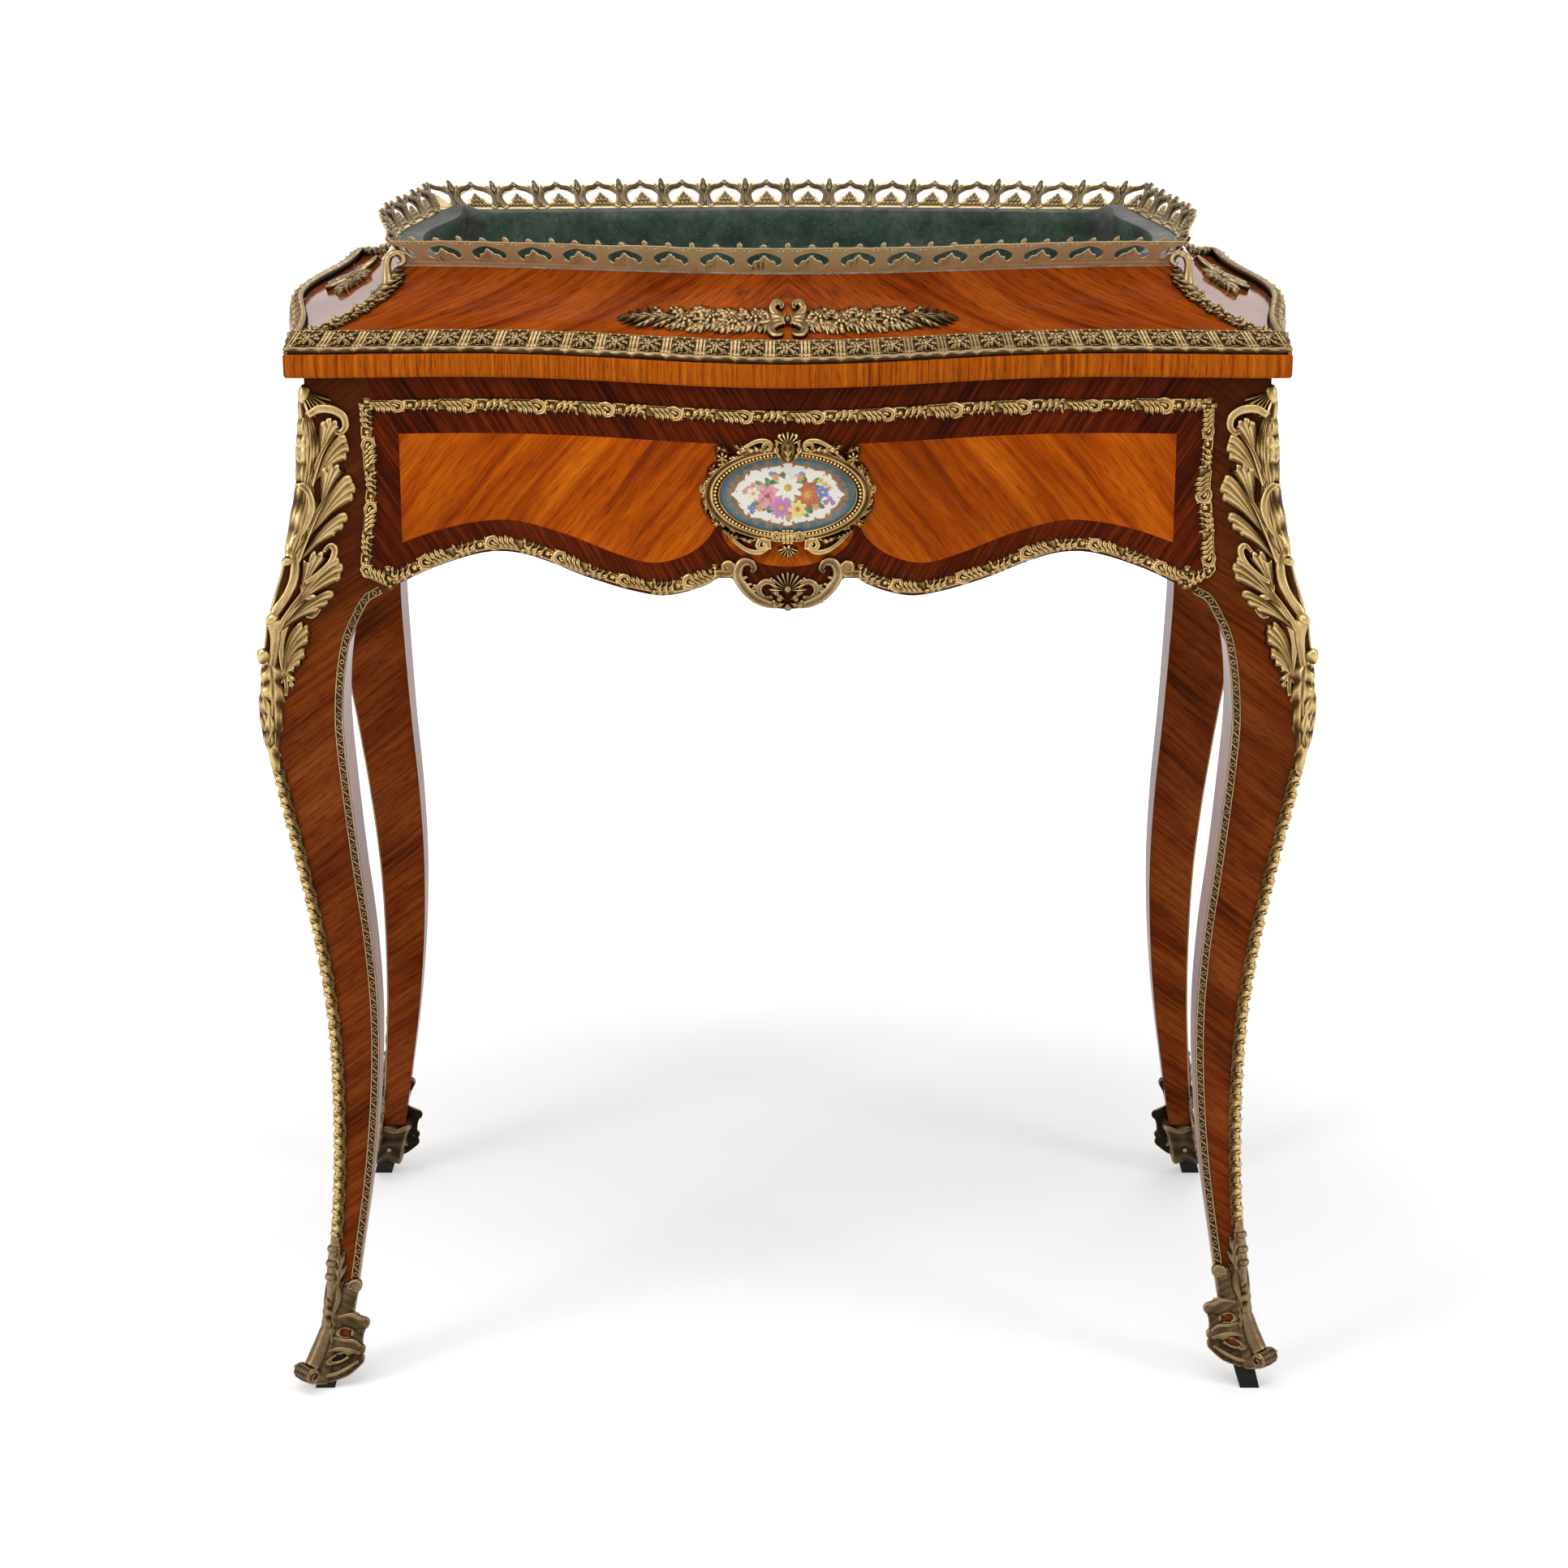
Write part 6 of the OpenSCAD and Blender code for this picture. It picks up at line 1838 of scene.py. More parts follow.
def spray_half(h, s, long, draw):
    tip = 46 if long else 22
    stem = [(4 * s, 1.0), (h * 0.25 * s, -1.5), (h * 0.45 * s, 1.2), (h * 0.7 * s, -0.5), (h * 0.93 * s, 0.3)]
    end = [((h - tip) * s, 0), ((h - tip * 0.5) * s, 0.6), ((h + 1) * s, -0.4)]
    parts = [scroll(stem, [2.0, 1.8, 1.6, 1.2, 0.8], base=0.6, steps=60, around=8),
             leaf(end, 7.6, 3.2, lobes=6, cut=0.62, sweep=1.25, base=0.8, columns=15, steps=66, veins=0.6)]
    for reach, t in ((0.0, 1), (5.0, -1), (12.0, 1), (17.0, -1)):
        x = h - tip + reach
        parts.append(leaf([(x * s, 0.5 * t), ((x + 5) * s, 4.2 * t), ((x + 12) * s, 8.6 * t)], 2.9, 2.8,
                          lobes=3, cut=0.45, base=1.2, lift=0.8, columns=9, veins=0.8))
    for f in np.linspace(0.10, 0.60, 11 if long else 4):
        for t in (-1, 1):
            x, out = h * f + draw.uniform(-2, 2), draw.uniform(6.0, 9.8)
            parts.append(leaf([(x * s, 0.4 * t), ((x + 4) * s, 0.55 * out * t), ((x + 10) * s, out * t)], 4.2,
                              2.6, lobes=3, sweep=1.0, base=0.5, lift=0.8, steps=14, columns=7, veins=0.8))
    for i, (f, y, r) in enumerate(LONG_BLOOMS if long else SHORT_BLOOMS):
        parts += [boss(h * f * s, y, r, 4.6, petals=5 if i % 2 else 6, base=1.2, depth=0.42, turn=i),
                  boss(h * f * s, y, r * 0.45, 1.8, petals=4, base=4.6, depth=0.2, turn=i + 1, rings=4)]
        for t in (-1, 1):
            x, out = h * f + draw.uniform(1, 4), draw.uniform(7.0, 9.5)
            parts += [leaf([(x * s, 1.0 * t), ((x + 4) * s, 0.65 * out * t), ((x + 10) * s, out * t)], 3.0,
                           2.8, lobes=3, cut=0.45, base=0.8, lift=1.2, columns=9, veins=0.8),
                      leaf([((x - 3) * s, 2.0 * t), ((x - 7) * s, 0.6 * out * t),
                            ((x - 9) * s, 0.95 * out * t)],
                           2.5, 2.4, lobes=3, cut=0.45, base=0.6, lift=1.0, columns=9, veins=0.8)]
        parts.append(boss((h * f + 7) * s, -y * 1.6, 1.6, 2.0, base=1.6, rings=4, around=10))
    for t in (-1, 1):
        wing = [(2.5 * s, 1.2 * t), (8.5 * s, 3.5 * t), (12.0 * s, 8.0 * t), (9.0 * s, 12.4 * t),
                (4.6 * s, 11.2 * t), (5.2 * s, 8.4 * t)]
        parts += [scroll(wing, [2.0, 2.9, 3.1, 2.6, 2.0, 1.3], base=1.8, groove=0.3),
                  leaf([(3 * s, 0.8 * t), (9 * s, 1.8 * t), (15 * s, 4.4 * t)], 3.2, 3.6, lobes=0, base=1.6,
                       columns=9)]
    return parts + [scroll([(2 * s, -4), (3.6 * s, 0), (2 * s, 4)], [0.9, 1.4, 0.9], base=3.0, steps=14,
                           around=8)]


# %% Cast the sprays
SPRAY_HALF = (126.0, 48.0)
SPRAY_AT = 0.43
SPRAY_TALL = 1.25

# The darkest copy of the gilt: painted shade on the sprays, which face up.
for k, side in enumerate(SIDES):
    draw = random.Random(3 + k)
    flat = [p for s in (-1, 1) for p in spray_half(SPRAY_HALF[k % 2], s, k % 2 == 0, draw)]
    flat = [moved(p, (1, SPRAY_TALL, 1), (0, SPRAY_AT * COVE_LENGTH, 0))
            for p in flat + [boss(0, 0, 2.2, 2.0, base=3.4)]]
    cast(f"spray_cast_{side}", solid_row(flat, on_cove(k)), GILT_MORE_SHADED, f"spray_{side}")

# %% [markdown]
# ## Wax strokes
# Pierced plates are easier to model as strokes of wax: each stroke is a path with a changing width
# and a domed height, and where no stroke runs the plate stays open. A fine grid takes the highest
# stroke at every point, and the grid's edge is pulled onto the true outline.

# %% A plate from strokes
PLATE_EDGE = 0.9
FAR = 99.0


def stroke_field(x, y, strokes, step):
    """The plate's height at every point, and how far each point is outside the strokes."""
    away = np.full(x.shape, FAR)
    z = np.zeros(x.shape)
    for knots, widths, height in strokes:
        path = smooth_path(knots, 50)
        r = evenly(widths, 50)
        gap = np.hypot(x[..., None] - path[:, 0], y[..., None] - path[:, 1]) - r
        near = gap.min(-1)
        wide = r[gap.argmin(-1)]
        dome = np.sqrt(np.clip(1 - np.clip((near + wide) / wide, 0, 1) ** 2, 0, 1))
        z = np.maximum(z, np.where(near < step, PLATE_EDGE + height * dome, 0))
        away = np.minimum(away, near)
    return away, z


def grid_solid(x, y, z, keep):
    """A closed solid from the grid cells to keep, with its back flat."""
    n = x.size
    front = np.stack([x, y, z], -1).reshape(-1, 3)
    points = np.vstack([front, front])
    points[n:, 2] = BACK
    index = np.arange(n).reshape(x.shape)
    i, j = np.nonzero(keep)
    a, b, c, d = index[i, j], index[i + 1, j], index[i + 1, j + 1], index[i, j + 1]
    quads = [np.stack([a, b, c, d], -1), np.stack([d, c, b, a], -1) + n]
    padded = np.pad(keep, 1)
    for start, end, di, dj in ((a, b, 0, -1), (b, c, 1, 0), (c, d, 0, 1), (d, a, -1, 0)):
        bare = ~padded[i + 1 + di, j + 1 + dj]
        quads.append(np.stack([end[bare], start[bare], start[bare] + n, end[bare] + n], -1))
    quads = np.vstack(quads)
    used, fresh = np.unique(quads, return_inverse=True)
    return outward((points[used], fresh.reshape(quads.shape), np.zeros((0, 3), int)))


def wax_plate(strokes, low, high, step, holes, texture):
    xs, ys = (np.linspace(low[i], high[i], int((high[i] - low[i]) / step) + 1) for i in (0, 1))
    x, y = np.meshgrid(xs, ys, indexing="ij")
    away, z = stroke_field(x, y, strokes, step)
    for hx, hy, rx, ry, turn in holes:
        c, s = math.cos(turn), math.sin(turn)
        u, v = (x - hx) * c + (y - hy) * s, -(x - hx) * s + (y - hy) * c
        ring = (np.hypot(u / rx, v / ry) - 1) * min(rx, ry)
        away = np.maximum(away, -ring)
        z += 0.7 * np.exp(-((ring - 1.0) / 0.8) ** 2)
    z = z + texture(x, y) * np.clip(-away / 1.2, 0, 1)
    keep = (away[1:, 1:] + away[:-1, 1:] + away[1:, :-1] + away[:-1, :-1]) / 4 < 0
    touched = sum(np.pad(keep.astype(int), ((di, 1 - di), (dj, 1 - dj))) for di in (0, 1) for dj in (0, 1))
    rim = (np.abs(away) < step * 1.1) & (touched > 0) & (touched < 4)
    gx, gy = np.gradient(away, xs, ys)
    steep = np.maximum(np.hypot(gx, gy), 0.5)
    x = np.where(rim, x - away * gx / steep**2, x)
    y = np.where(rim, y - away * gy / steep**2, y)
    return grid_solid(x, y, z, keep)


print("plates are", PLATE_EDGE, "mm thick at their edge")

# %% [markdown]
# ## Shell mount and plaque frame
# Below the plaque two scrolls rise from a small shell, and a ball hangs under it. The plaque's
# frame is a beaded cove with a crest, pierced scrolls beside it, flowers at the diagonals and two
# volutes that meet a clasp at the bottom.

# %% Draw and cast the shell
SHELL_UP = 3.5


def shell_side():
    ticks = [(21.0 + 2.9 * f, 590.8 + 4.6 * f) for f in range(5)]
    return [
        scroll([(5, 588), (14, 589), (23, 593.5), (30, 601), (33.6, 609), (31, 616.5), (25.5, 617.4),
                (22.6, 613.4),
                (24.4, 610.6)], [2.2, 3.0, 3.4, 3.7, 3.9, 3.5, 2.9, 2.2, 1.5], base=1.2, steps=64,
                groove=0.3),
        *[scroll([(x - 2.6, y + 2.6), (x, y + 1.6), (x + 2.4, y - 1.4)], [0.7, 1.1, 0.8], base=3.2, steps=10,
                 around=6)
          for x, y in ticks],
        scroll(curl(13.5, 598.6, 6.2, -120, 0.92, 1, end=0.85, rise=0.6), [1.4, 2.1, 2.4, 2.1, 1.5], base=1.0,
               steps=34),
        leaf([(18.5, 602), (22.5, 600), (25, 596.5)], 3.2, 3.0, lobes=2, base=1.2, columns=9),
        boss(5.6, 592.0, 2.4, 2.6, base=1.8), boss(9.4, 590.6, 1.7, 2.2, base=2.4),
        leaf([(2, 592), (7, 596), (8, 603)], 2.6, 2.6, lobes=3, base=2.2, columns=9),
        leaf([(2, 589.5), (8, 588), (14, 590.5)], 2.6, 2.6, lobes=3, base=2.6, columns=9),
        *[boss(x, y, 1.3, 1.7, base=1.6, rings=4, around=10)
          for x, y in ((16.5, 604.6), (11.0, 606.2), (20.4, 597.0))]]


shell_flat = [fan(0, 598.5, 2.5, 12.5, -8, 188, 11, 4.2, base=1.4, scallop=0.14),
              boss(0, 599.5, 2.9, 3.2, base=3.4),
              boss(0, 586.6, 3.0, 3.6, base=0.6)] + both_ways(shell_side())
shell_flat = [moved(p, shift=(0, SHELL_UP, 0)) for p in shell_flat]
# The darkest copy of the gilt: painted shade on the shell.
cast("shell_cast", solid_row(shell_flat, on_side(0)), GILT_MORE_SHADED, "shell_mount")

# %% Draw the plaque frame
PLAQUE_W = 92.0
PLAQUE_H = 52.0
PLAQUE_Z = UNDER_Z - PLAQUE_DROP
PLAQUE_SEAT = 0.3
PLAQUE_V = float(apron_v(0, 0.0)) + PLAQUE_SEAT
PLAQUE_FRONT = PLAQUE_V + 3.0
STAND_OFF = 6.0
SQUEEZE = 0.64
OVAL_PROFILE = [(-0.9, 3.6), (-0.9, 5.0), (0.1, 5.6), (0.9, 5.0), (1.3, 4.2), (3.4, 4.0), (3.9, 4.7),
                (4.9, 4.9),
                (6.4, 4.7), (7.8, 4.9), (8.6, 5.5), (9.3, 5.2), (9.8, 3.4), (10.0, 0.4), (3.0, 0.2)]


def on_plaque(p):
    """Flat work centred on the plaque; the back follows the bowed apron."""
    wall = face_v(0, p[:, 0], p[:, 1] + PLAQUE_Z)
    share = np.clip(p[:, 2] / STAND_OFF, 0, None)
    v = np.where(share <= 1, mix(wall, PLAQUE_V + STAND_OFF, np.minimum(share, 1)), PLAQUE_V + p[:, 2])
    return side_point(0, p[:, 0], v, p[:, 1] + PLAQUE_Z)


def oval(reach, a):
    """The oval that runs reach outside the plaque's edge."""
    return (PLAQUE_W / 2 + reach) * np.cos(a), (PLAQUE_H / 2 + SQUEEZE * reach) * np.sin(a)


def oval_ring():
    a = np.linspace(0, 2 * np.pi, 180, endpoint=False)[:, None]
    reach, out = np.array(OVAL_PROFILE).T
    return loft(np.stack([*oval(reach, a), out + 0 * a], -1), loop=True)


def frame_middle():
    clasp = [scroll([(x, -23.5), (x * 1.15, -28), (x * 0.9, -33)], [1.0, 1.3, 0.9], base=4.6, steps=16,
                    around=8, floor=1)
             for x in (-2.6, 0, 2.6)]
    return [boss(0, 30.5, 6.2, 4.6, base=4.6, squash=1.35, floor=1.0, rings=9, around=24),
            leaf([(0, 22.5), (0, 29), (0, 37)], 3.4, 3.0, lobes=3, cut=0.2, base=8.2, floor=5, veins=1.0,
                 columns=13),
            fan(0, 33.5, 3.0, 9.4, 12, 168, 7, 3.6, base=4.4, scallop=0.2, floor=1.0), *clasp,
            boss(0, -38.4, 5.0, 4.4, petals=7, base=2.2, depth=0.2),
            fan(0, -35.4, 1.5, 7.4, 190, 350, 7, 3.4, base=3.4, scallop=0.14)]


def frame_side():
    return [
        leaf([(3.5, 24), (7.2, 30), (6.8, 38)], 2.6, 3.2, lobes=3, cut=0.25, base=5.6, floor=2, columns=9),
        boss(5.4, 40.4, 1.5, 1.8, base=5.2, floor=2, rings=4, around=10),
        scroll([(8, 27), (9.5, 32), (13.5, 36), (20, 36.2), (27, 32.6), (33, 28)],
               [1.2, 1.6, 1.9, 1.8, 1.7, 1.4], base=3.4, floor=0.6),
        scroll(curl(13.2, 32.2, 3.6, -60, 1.0), [1.3, 1.5, 1.4, 1.1], base=4.2, steps=28, floor=1),
        leaf([(22, 30.5), (29, 30.5), (36, 33.5)], 3.2, 3.0, lobes=3, base=3.0, lift=1.2, floor=0.5),
        leaf([(15, 30), (22, 30.6), (30, 27)], 2.4, 2.6, lobes=4, base=4.4, floor=1),
        boss(43.4, 24.6, 4.4, 4.0, petals=6, base=2.4), boss(43.4, 24.6, 2.0, 1.4, base=5.8),
        leaf([(38, 27.5), (45, 30.4), (48.5, 26)], 2.6, 2.6, lobes=3, base=1.6),
        leaf([(48, 21), (51.5, 14), (53, 6)], 3.0, 2.8, base=1.0),
        scroll([(53.6, 8), (55.4, 3), (57.4, 0.8), (57.8, 3.2), (56.6, 4.6)], [1.4, 1.5, 1.3, 1.1, 0.9],
               base=0.8, steps=24),
        leaf([(54.4, -1), (56.0, -6), (57.0, -10)], 2.4, 2.4, lobes=2, base=0.8, lift=0.8),
        leaf([(54, -5), (54.5, -12), (51, -18)], 2.6, 2.6, lobes=4, base=1.0),
        boss(47.6, -19.6, 3.8, 3.6, petals=6, base=1.8), boss(47.6, -19.6, 1.7, 1.3, base=5.0),
        leaf([(44, -23.5), (38, -27.8), (30, -30.5)], 3.0, 3.0, base=2.4),
        scroll([(42, -25.4), (34, -33.0), (26, -38.2), (19, -39.2), (13.8, -36.4)], [1.2, 1.7, 2.0, 2.1, 1.8],
               base=2.6, steps=36, floor=0.4),
        scroll(curl(16.8, -34.4, 5.0, -150, 1.35, -1, end=0.22), [1.9, 1.9, 1.6, 1.2], base=2.8, steps=44,
               floor=0.4),
        leaf([(32, -28.6), (26, -31.2), (20, -29.6)], 2.2, 2.6, lobes=3, base=4.0, floor=1),
        scroll(curl(7.2, -27.6, 3.4, -120, 1.2, end=0.25), [1.5, 1.4, 1.1, 0.9], base=4.4, steps=34, floor=1)]


# %% Cast the plaque frame
BEAD_REACH, BEAD_PITCH = 2.4, 2.5
TONGUE_REACH, TONGUE_PITCH = 9.8, 8.0
TONGUE_ARC = np.linspace(-52, 232, 500)


def oval_row(reach, out, angles, shapes, pitch, seed, vary):
    x, y = oval(reach, angles)
    rail = side_point(0, x, PLAQUE_V + out, y + PLAQUE_Z)
    return cast_row(rail, run_side(rail, OUTWARD[0]), OUTWARD[0], shapes, pitch, seed, vary)


tongue = leaf([(-3.9, 0.9), (0, 0.4), (3.9, -1.3)], 1.9, 1.8, lobes=3, cut=0.3, steps=12, columns=7,
              floor=-1.8)
bead = boss(0, 0, 1.15, 1.7, rings=4, around=8)
beads = oval_row(BEAD_REACH, 4.3, np.linspace(0, 2 * np.pi, 721), [bead], BEAD_PITCH, 5, 0.02)
tongues = oval_row(TONGUE_REACH, 2.0, np.radians(TONGUE_ARC), [tongue], TONGUE_PITCH, 6, 0.08)
points, quads, tris, rise = solid_row([oval_ring()], on_plaque)
ring_row = points, quads, tris, 0.75 + 0.35 * rise
frame_row = solid_row(frame_middle() + both_ways(frame_side()), on_plaque)
join_rows("plaque_frame_cast", [ring_row, frame_row, beads, tongues], GILT, "plaque_frame")

# %% [markdown]
# ## The shoes
# Each foot stands in a cast shoe: a pierced plate over both outer faces with a leaf that climbs the
# arris, a band round the back and a rolled scroll at the toe. The middle of the leaf is tooled with
# crossed lines, as chasers do to give plain areas a tone.

# %% Draw the shoes
SHOE_STROKES = [([(0, 3), (10, 5), (19, 8), (27, 13)], [7, 8, 7.5, 5.0], 1.2),
                ([(0, 3), (0, 34), (1, 60), (0, 84), (0, 103)], [11, 11, 9.5, 6.8, 3.6], 2.2),
                ([(2, 24), (10, 24.0), (18, 23), (26.5, 20)], [7, 6.6, 6.2, 4.6], 1.8),
                ([(3, 46), (11, 44), (19, 40.5), (26, 39.5)], [8.5, 8.0, 6.0, 4.6], 1.8),
                ([(24.5, 40), (23.5, 31), (24.5, 22), (25.5, 13)], [4.5, 4.2, 4.0, 4.0], 1.4),
                ([(6, 42), (9.5, 53), (13, 63), (17.5, 68)], [8.5, 9.0, 7.0, 4.6], 1.8)]
SHOE_HOLES = [(13.2, 33.0, 3.4, 2.3, 0.0), (13.0, 14.6, 5.2, 2.0, 0.35)]
SHOE_RIBS = [([(7, 45), (16, 46.5), (22, 44), (26.5, 42.5)], [1.0, 1.6, 1.6, 1.2], 1.8),
             ([(4, 20), (11, 21.5), (19, 20.5), (27, 18.5)], [1.0, 1.5, 1.6, 1.0], 1.8),
             ([(6, 29.5), (14, 27.8), (21, 27.5), (27, 23.5)], [0.8, 1.2, 1.3, 0.9], 2.2),
             ([(2, 1.5), (12, 3.0), (20, 7.0), (27.5, 12.5)], [1.2, 1.5, 1.5, 1.0], 1.2)]


def crossed_lines(x, y):
    inside = np.exp(-(((x - 11) / 5.5) ** 4 + ((y - 53) / 9) ** 4))
    return inside * 0.16 * (np.cos((x + y) * 2.6) + np.cos((x - y) * 2.6)) - 0.06 * np.cos(y * 1.1 + x * 0.6)


def shoe_side():
    return [
        wax_plate(SHOE_STROKES, (0.0, -4.0), (34.0, 110.0), 0.8, SHOE_HOLES, crossed_lines),
        scroll(curl(17.6, 68.0, 4.2, 200, 1.15, -1), [2.6, 2.6, 2.0, 1.5], base=1.6, steps=34),
        boss(17.6, 68.0, 2.4, 2.6, base=2.0),
        leaf([(2, 62), (5.5, 76), (5.0, 89), (1.5, 100)], 5.0, 3.2, lobes=4, cut=0.35, base=1.2, columns=9),
        leaf([(3, 45), (5.5, 58), (5.0, 72)], 3.4, 2.8, lobes=0, base=2.4, columns=9),
        *[scroll(knots, thick, base=base, steps=24, around=8) for knots, thick, base in SHOE_RIBS],
        leaf([(6, 24), (4, 34), (5.5, 43)], 2.8, 2.4, lobes=3, base=2.2, columns=9)]


shoe_flat = both_ways(shoe_side()) + [
    boss(0, 96, 3.0, 3.4, base=2.0), boss(0, 85, 3.2, 3.4, base=2.4), boss(0, 75, 3.0, 3.2, base=2.6),
    leaf([(0, 60), (0, 45), (0, 22)], 4.2, 3.0, lobes=4, base=2.2)]
print("a shoe has", len(shoe_flat), "solids on its faces")

# %% Model the toe and the band
SHOE_FOOT = 4.0
TOE_R = 6.5
TOE_HALF = 8.5
BAND_H = 38
NECK_KNOTS = ((44, -1.5), (34, 0.5), (25, 2.2), (17, 4.4), (10.5, 7.6))


def toe_rows(corner, base):
    """The rolled toe with its two end curls, and the neck that leads down to it."""
    ka, kb = CORNERS[corner][:2]
    outwards = unit(OUTWARD[ka] + OUTWARD[kb])
    across = np.cross(outwards, UP)

    def arris(h):
        return on_leg(corner)(np.array([[0.0, base + h, 0.0]]))[0]

    centre = arris(3.5) * (1, 1, 0) + UP * (base + TOE_R) + outwards * (TOE_R + 0.5) * math.sqrt(2)
    width = np.concatenate([[-TOE_HALF, -8.3], np.linspace(-7.6, 7.6, 25), [8.3, TOE_HALF]])
    spin = np.linspace(0, 2 * np.pi, 40, endpoint=False)
    swell = TOE_R * (0.97 - 0.10 * np.abs(width / TOE_HALF) + 0.03 * np.cos(width * 2.6))
    swell[[0, -1]] *= 0.45
    swell[[1, -2]] *= 0.86
    radius = swell[:, None] * (1 + 0.035 * np.cos(9 * spin))
    toe = loft(centre + across * width[:, None, None] + outwards * (radius * np.cos(spin))[..., None]
               + UP * (radius * np.sin(spin))[..., None])
    spine = smooth_path([arris(h) + outwards * out for h, out in NECK_KNOTS], 26)
    neck_r = np.interp(np.linspace(0, 1, 26), [0, 0.3, 0.7, 1], [3.0, 5.2, 6.2, 5.6])
    spiral = np.array([outwards * x + UP * y for x, y, _ in curl(0, 0, 5.2, 40, 1.3, end=0.15)])
    ends = [tube(centre + across * s * 8.8 + spiral, np.linspace(1.1, 0.7, 8), across, 8) for s in (-1, 1)]
    neck = tube(spine, neck_r, across, 14, 0.1)
    return plain_row(toe, 0.6), plain_row(neck, 0.6), [plain_row(e, 0.7) for e in ends]


def band_line(corner, base, z):
    """One level of the moulded band round the back of a foot."""
    ka, kb, sa, sb = CORNERS[corner]
    hu, hv = APRON_UV[ka]
    around = np.linspace(0, 1, 13)
    inner = leg_in(z)
    high = (z - base) / BAND_H
    lip = 2.1 + 1.3 * math.exp(-((high - 0.93) / 0.06) ** 2) + 1.5 * math.exp(-((high - 0.08) / 0.10) ** 2)
    lip += 0.9 * math.sin(high * 3 * math.pi) ** 2
    cut_in = 2.6 * math.sin(math.pi * high) ** 2 - 2.4 * math.exp(-((high - 0.5) / 0.12) ** 2)
    outer = leg_out(z) + 1.5 - cut_in
    near, far = hu - inner, hu + outer
    deep, front = hv - inner, hv + outer
    bulge = lip + np.sin(np.pi * around)
    drop = 4.5 * ((1 - high) ** 2 - 0.7 * high**3) * np.sin(np.pi * around) ** 2
    line = [(near - b, mix(front, deep - lip, t), z + d) for b, t, d in zip(bulge, around, drop)]
    line += [(mix(near - lip, far, t), deep - b, z + d) for b, t, d in zip(bulge[1:], around[1:], drop[1:])]
    line += [(far, deep - 0.2, z), (near - 0.2, deep - 0.2, z), (near - 0.2, front, z)]
    u, v, w = np.array(line, float).T
    return side_point(ka, sa * u, v, w)


# %% Cast the shoes
for c, corner in enumerate(CORNERS):
    base = SHOE_FOOT + SHOE_LIFT[c]
    plates = at_corner([moved(p, shift=(0, base, 0)) for p in shoe_flat], on_leg, corner)
    toe, neck, ends = toe_rows(corner, base)
    band = loft(np.array([band_line(corner, base, z) for z in np.linspace(base, base + BAND_H, 30)]))
    join_rows(f"shoe_cast_{corner}", [plates, toe, neck, plain_row(band, 0.62), *ends], DARK_BRONZE,
              f"shoe_{corner}")

# %% [markdown]
# ## The zinc liner
# The only piece that moves is a soldered tray that lifts out. Its walls are a little dented, its
# turned-out rim is folded up at the corners, and green paint is left on the inside. A value called
# green says where the paint was.

# %% Sizes of the liner
liner_low, liner_high = box_mm("zinc_liner")
FLANGE_TOP = liner_high[2]
LINER_FLOOR = liner_low[2]
SHEET_T = 1.2
FLANGE_OUT = 4.3
CORNER_REACH = 13.0
WALL_IN = RIM_LAND + 2 + SHEET_T
FLANGE_PROFILE = [(FLANGE_OUT, -SHEET_T, 0.0), (FLANGE_OUT, 0.0, 0.0), (8.0, 0.15, 0.1), (12.0, 0.0, 0.2),
                  (WALL_IN - 1.0, -0.1, 0.3), (WALL_IN - 0.2, -0.6, 0.5)]
WALL_Z = np.linspace(FLANGE_TOP - 1.4, LINER_FLOOR + SHEET_T, 22)
BACK_Z = np.array([LINER_FLOOR, LINER_FLOOR + 40, FLANGE_TOP - 40, FLANGE_TOP - SHEET_T])


def dent(k, t, z):
    return (0.55 * np.sin(5.1 * t + 1.7 * k + z * 0.05) * np.sin(z * 0.11 + 2.3 * t)
            + 0.25 * np.sin(13 * t + z * 0.21 + k))


def liner_section(k, t):
    """The liner's section at one place: points down the inside and up the back, and their green."""
    near_corner = np.exp(-(((1 - abs(t)) * RIM_U[k]) / CORNER_REACH) ** 2)
    inset, rise, shades = np.array(FLANGE_PROFILE).T
    fold = 5.0 * near_corner * ramp((inset - FLANGE_OUT) / 9.0)
    deep = FLANGE_TOP - WALL_Z
    push = dent(k, t, WALL_Z) * ramp(deep / 12) + 2.2 * near_corner * np.exp(-(deep / 14) ** 2)
    section = [rim_point(k, t, inset, FLANGE_TOP + rise + fold), rim_point(k, t, WALL_IN + push, WALL_Z),
               rim_point(k, t, WALL_IN - SHEET_T, BACK_Z)]
    inside = 1.0 - 0.9 * near_corner - 0.3 * np.exp(-(deep / 5.0) ** 2)
    return np.vstack(section), np.concatenate([shades * (1 - near_corner), inside, 0 * BACK_Z])


# %% Build the liner
def floor_ring(f):
    """A ring of the liner's floor, at share f of the way out."""
    ring = []
    for k, t in outline_t(60, 36):
        u, v = rim_edge(k, t, WALL_IN - 0.6)
        ring.append(side_point(k, u * f, v * f, LINER_FLOOR + SHEET_T + 0.4 * math.sin(9 * f + 5 * t)))
    return np.array(ring)


sections, greens = zip(*[liner_section(k, t) for k, t in outline_t(150, 80)])
wall = loft(np.array(sections), loop=True)
floor_rings = np.array([floor_ring(f) for f in np.linspace(0.05, 1.0, 14)])
under_ring = floor_rings[-1:].copy()
under_ring[..., 2] = LINER_FLOOR
bottom = disc(np.concatenate([floor_rings, under_ring]))
paint_left = np.concatenate([np.ravel(greens), np.full(len(bottom[0]), 0.8)])
settle(new_mesh("liner_tray", merged([wall, bottom]), green=paint_left), LINER_ZINC, "zinc_liner", 40,
       "liner")

# %% [markdown]
# ## The porcelain plaque
# The plaque is slightly domed and painted by hand. The painting is done here as a painter would:
# ground, turquoise border, gilt scrolls, then leaves and flowers petal by petal, each dab a soft
# ellipse laid over those before. Every point of a fine mesh keeps the colour it gets.

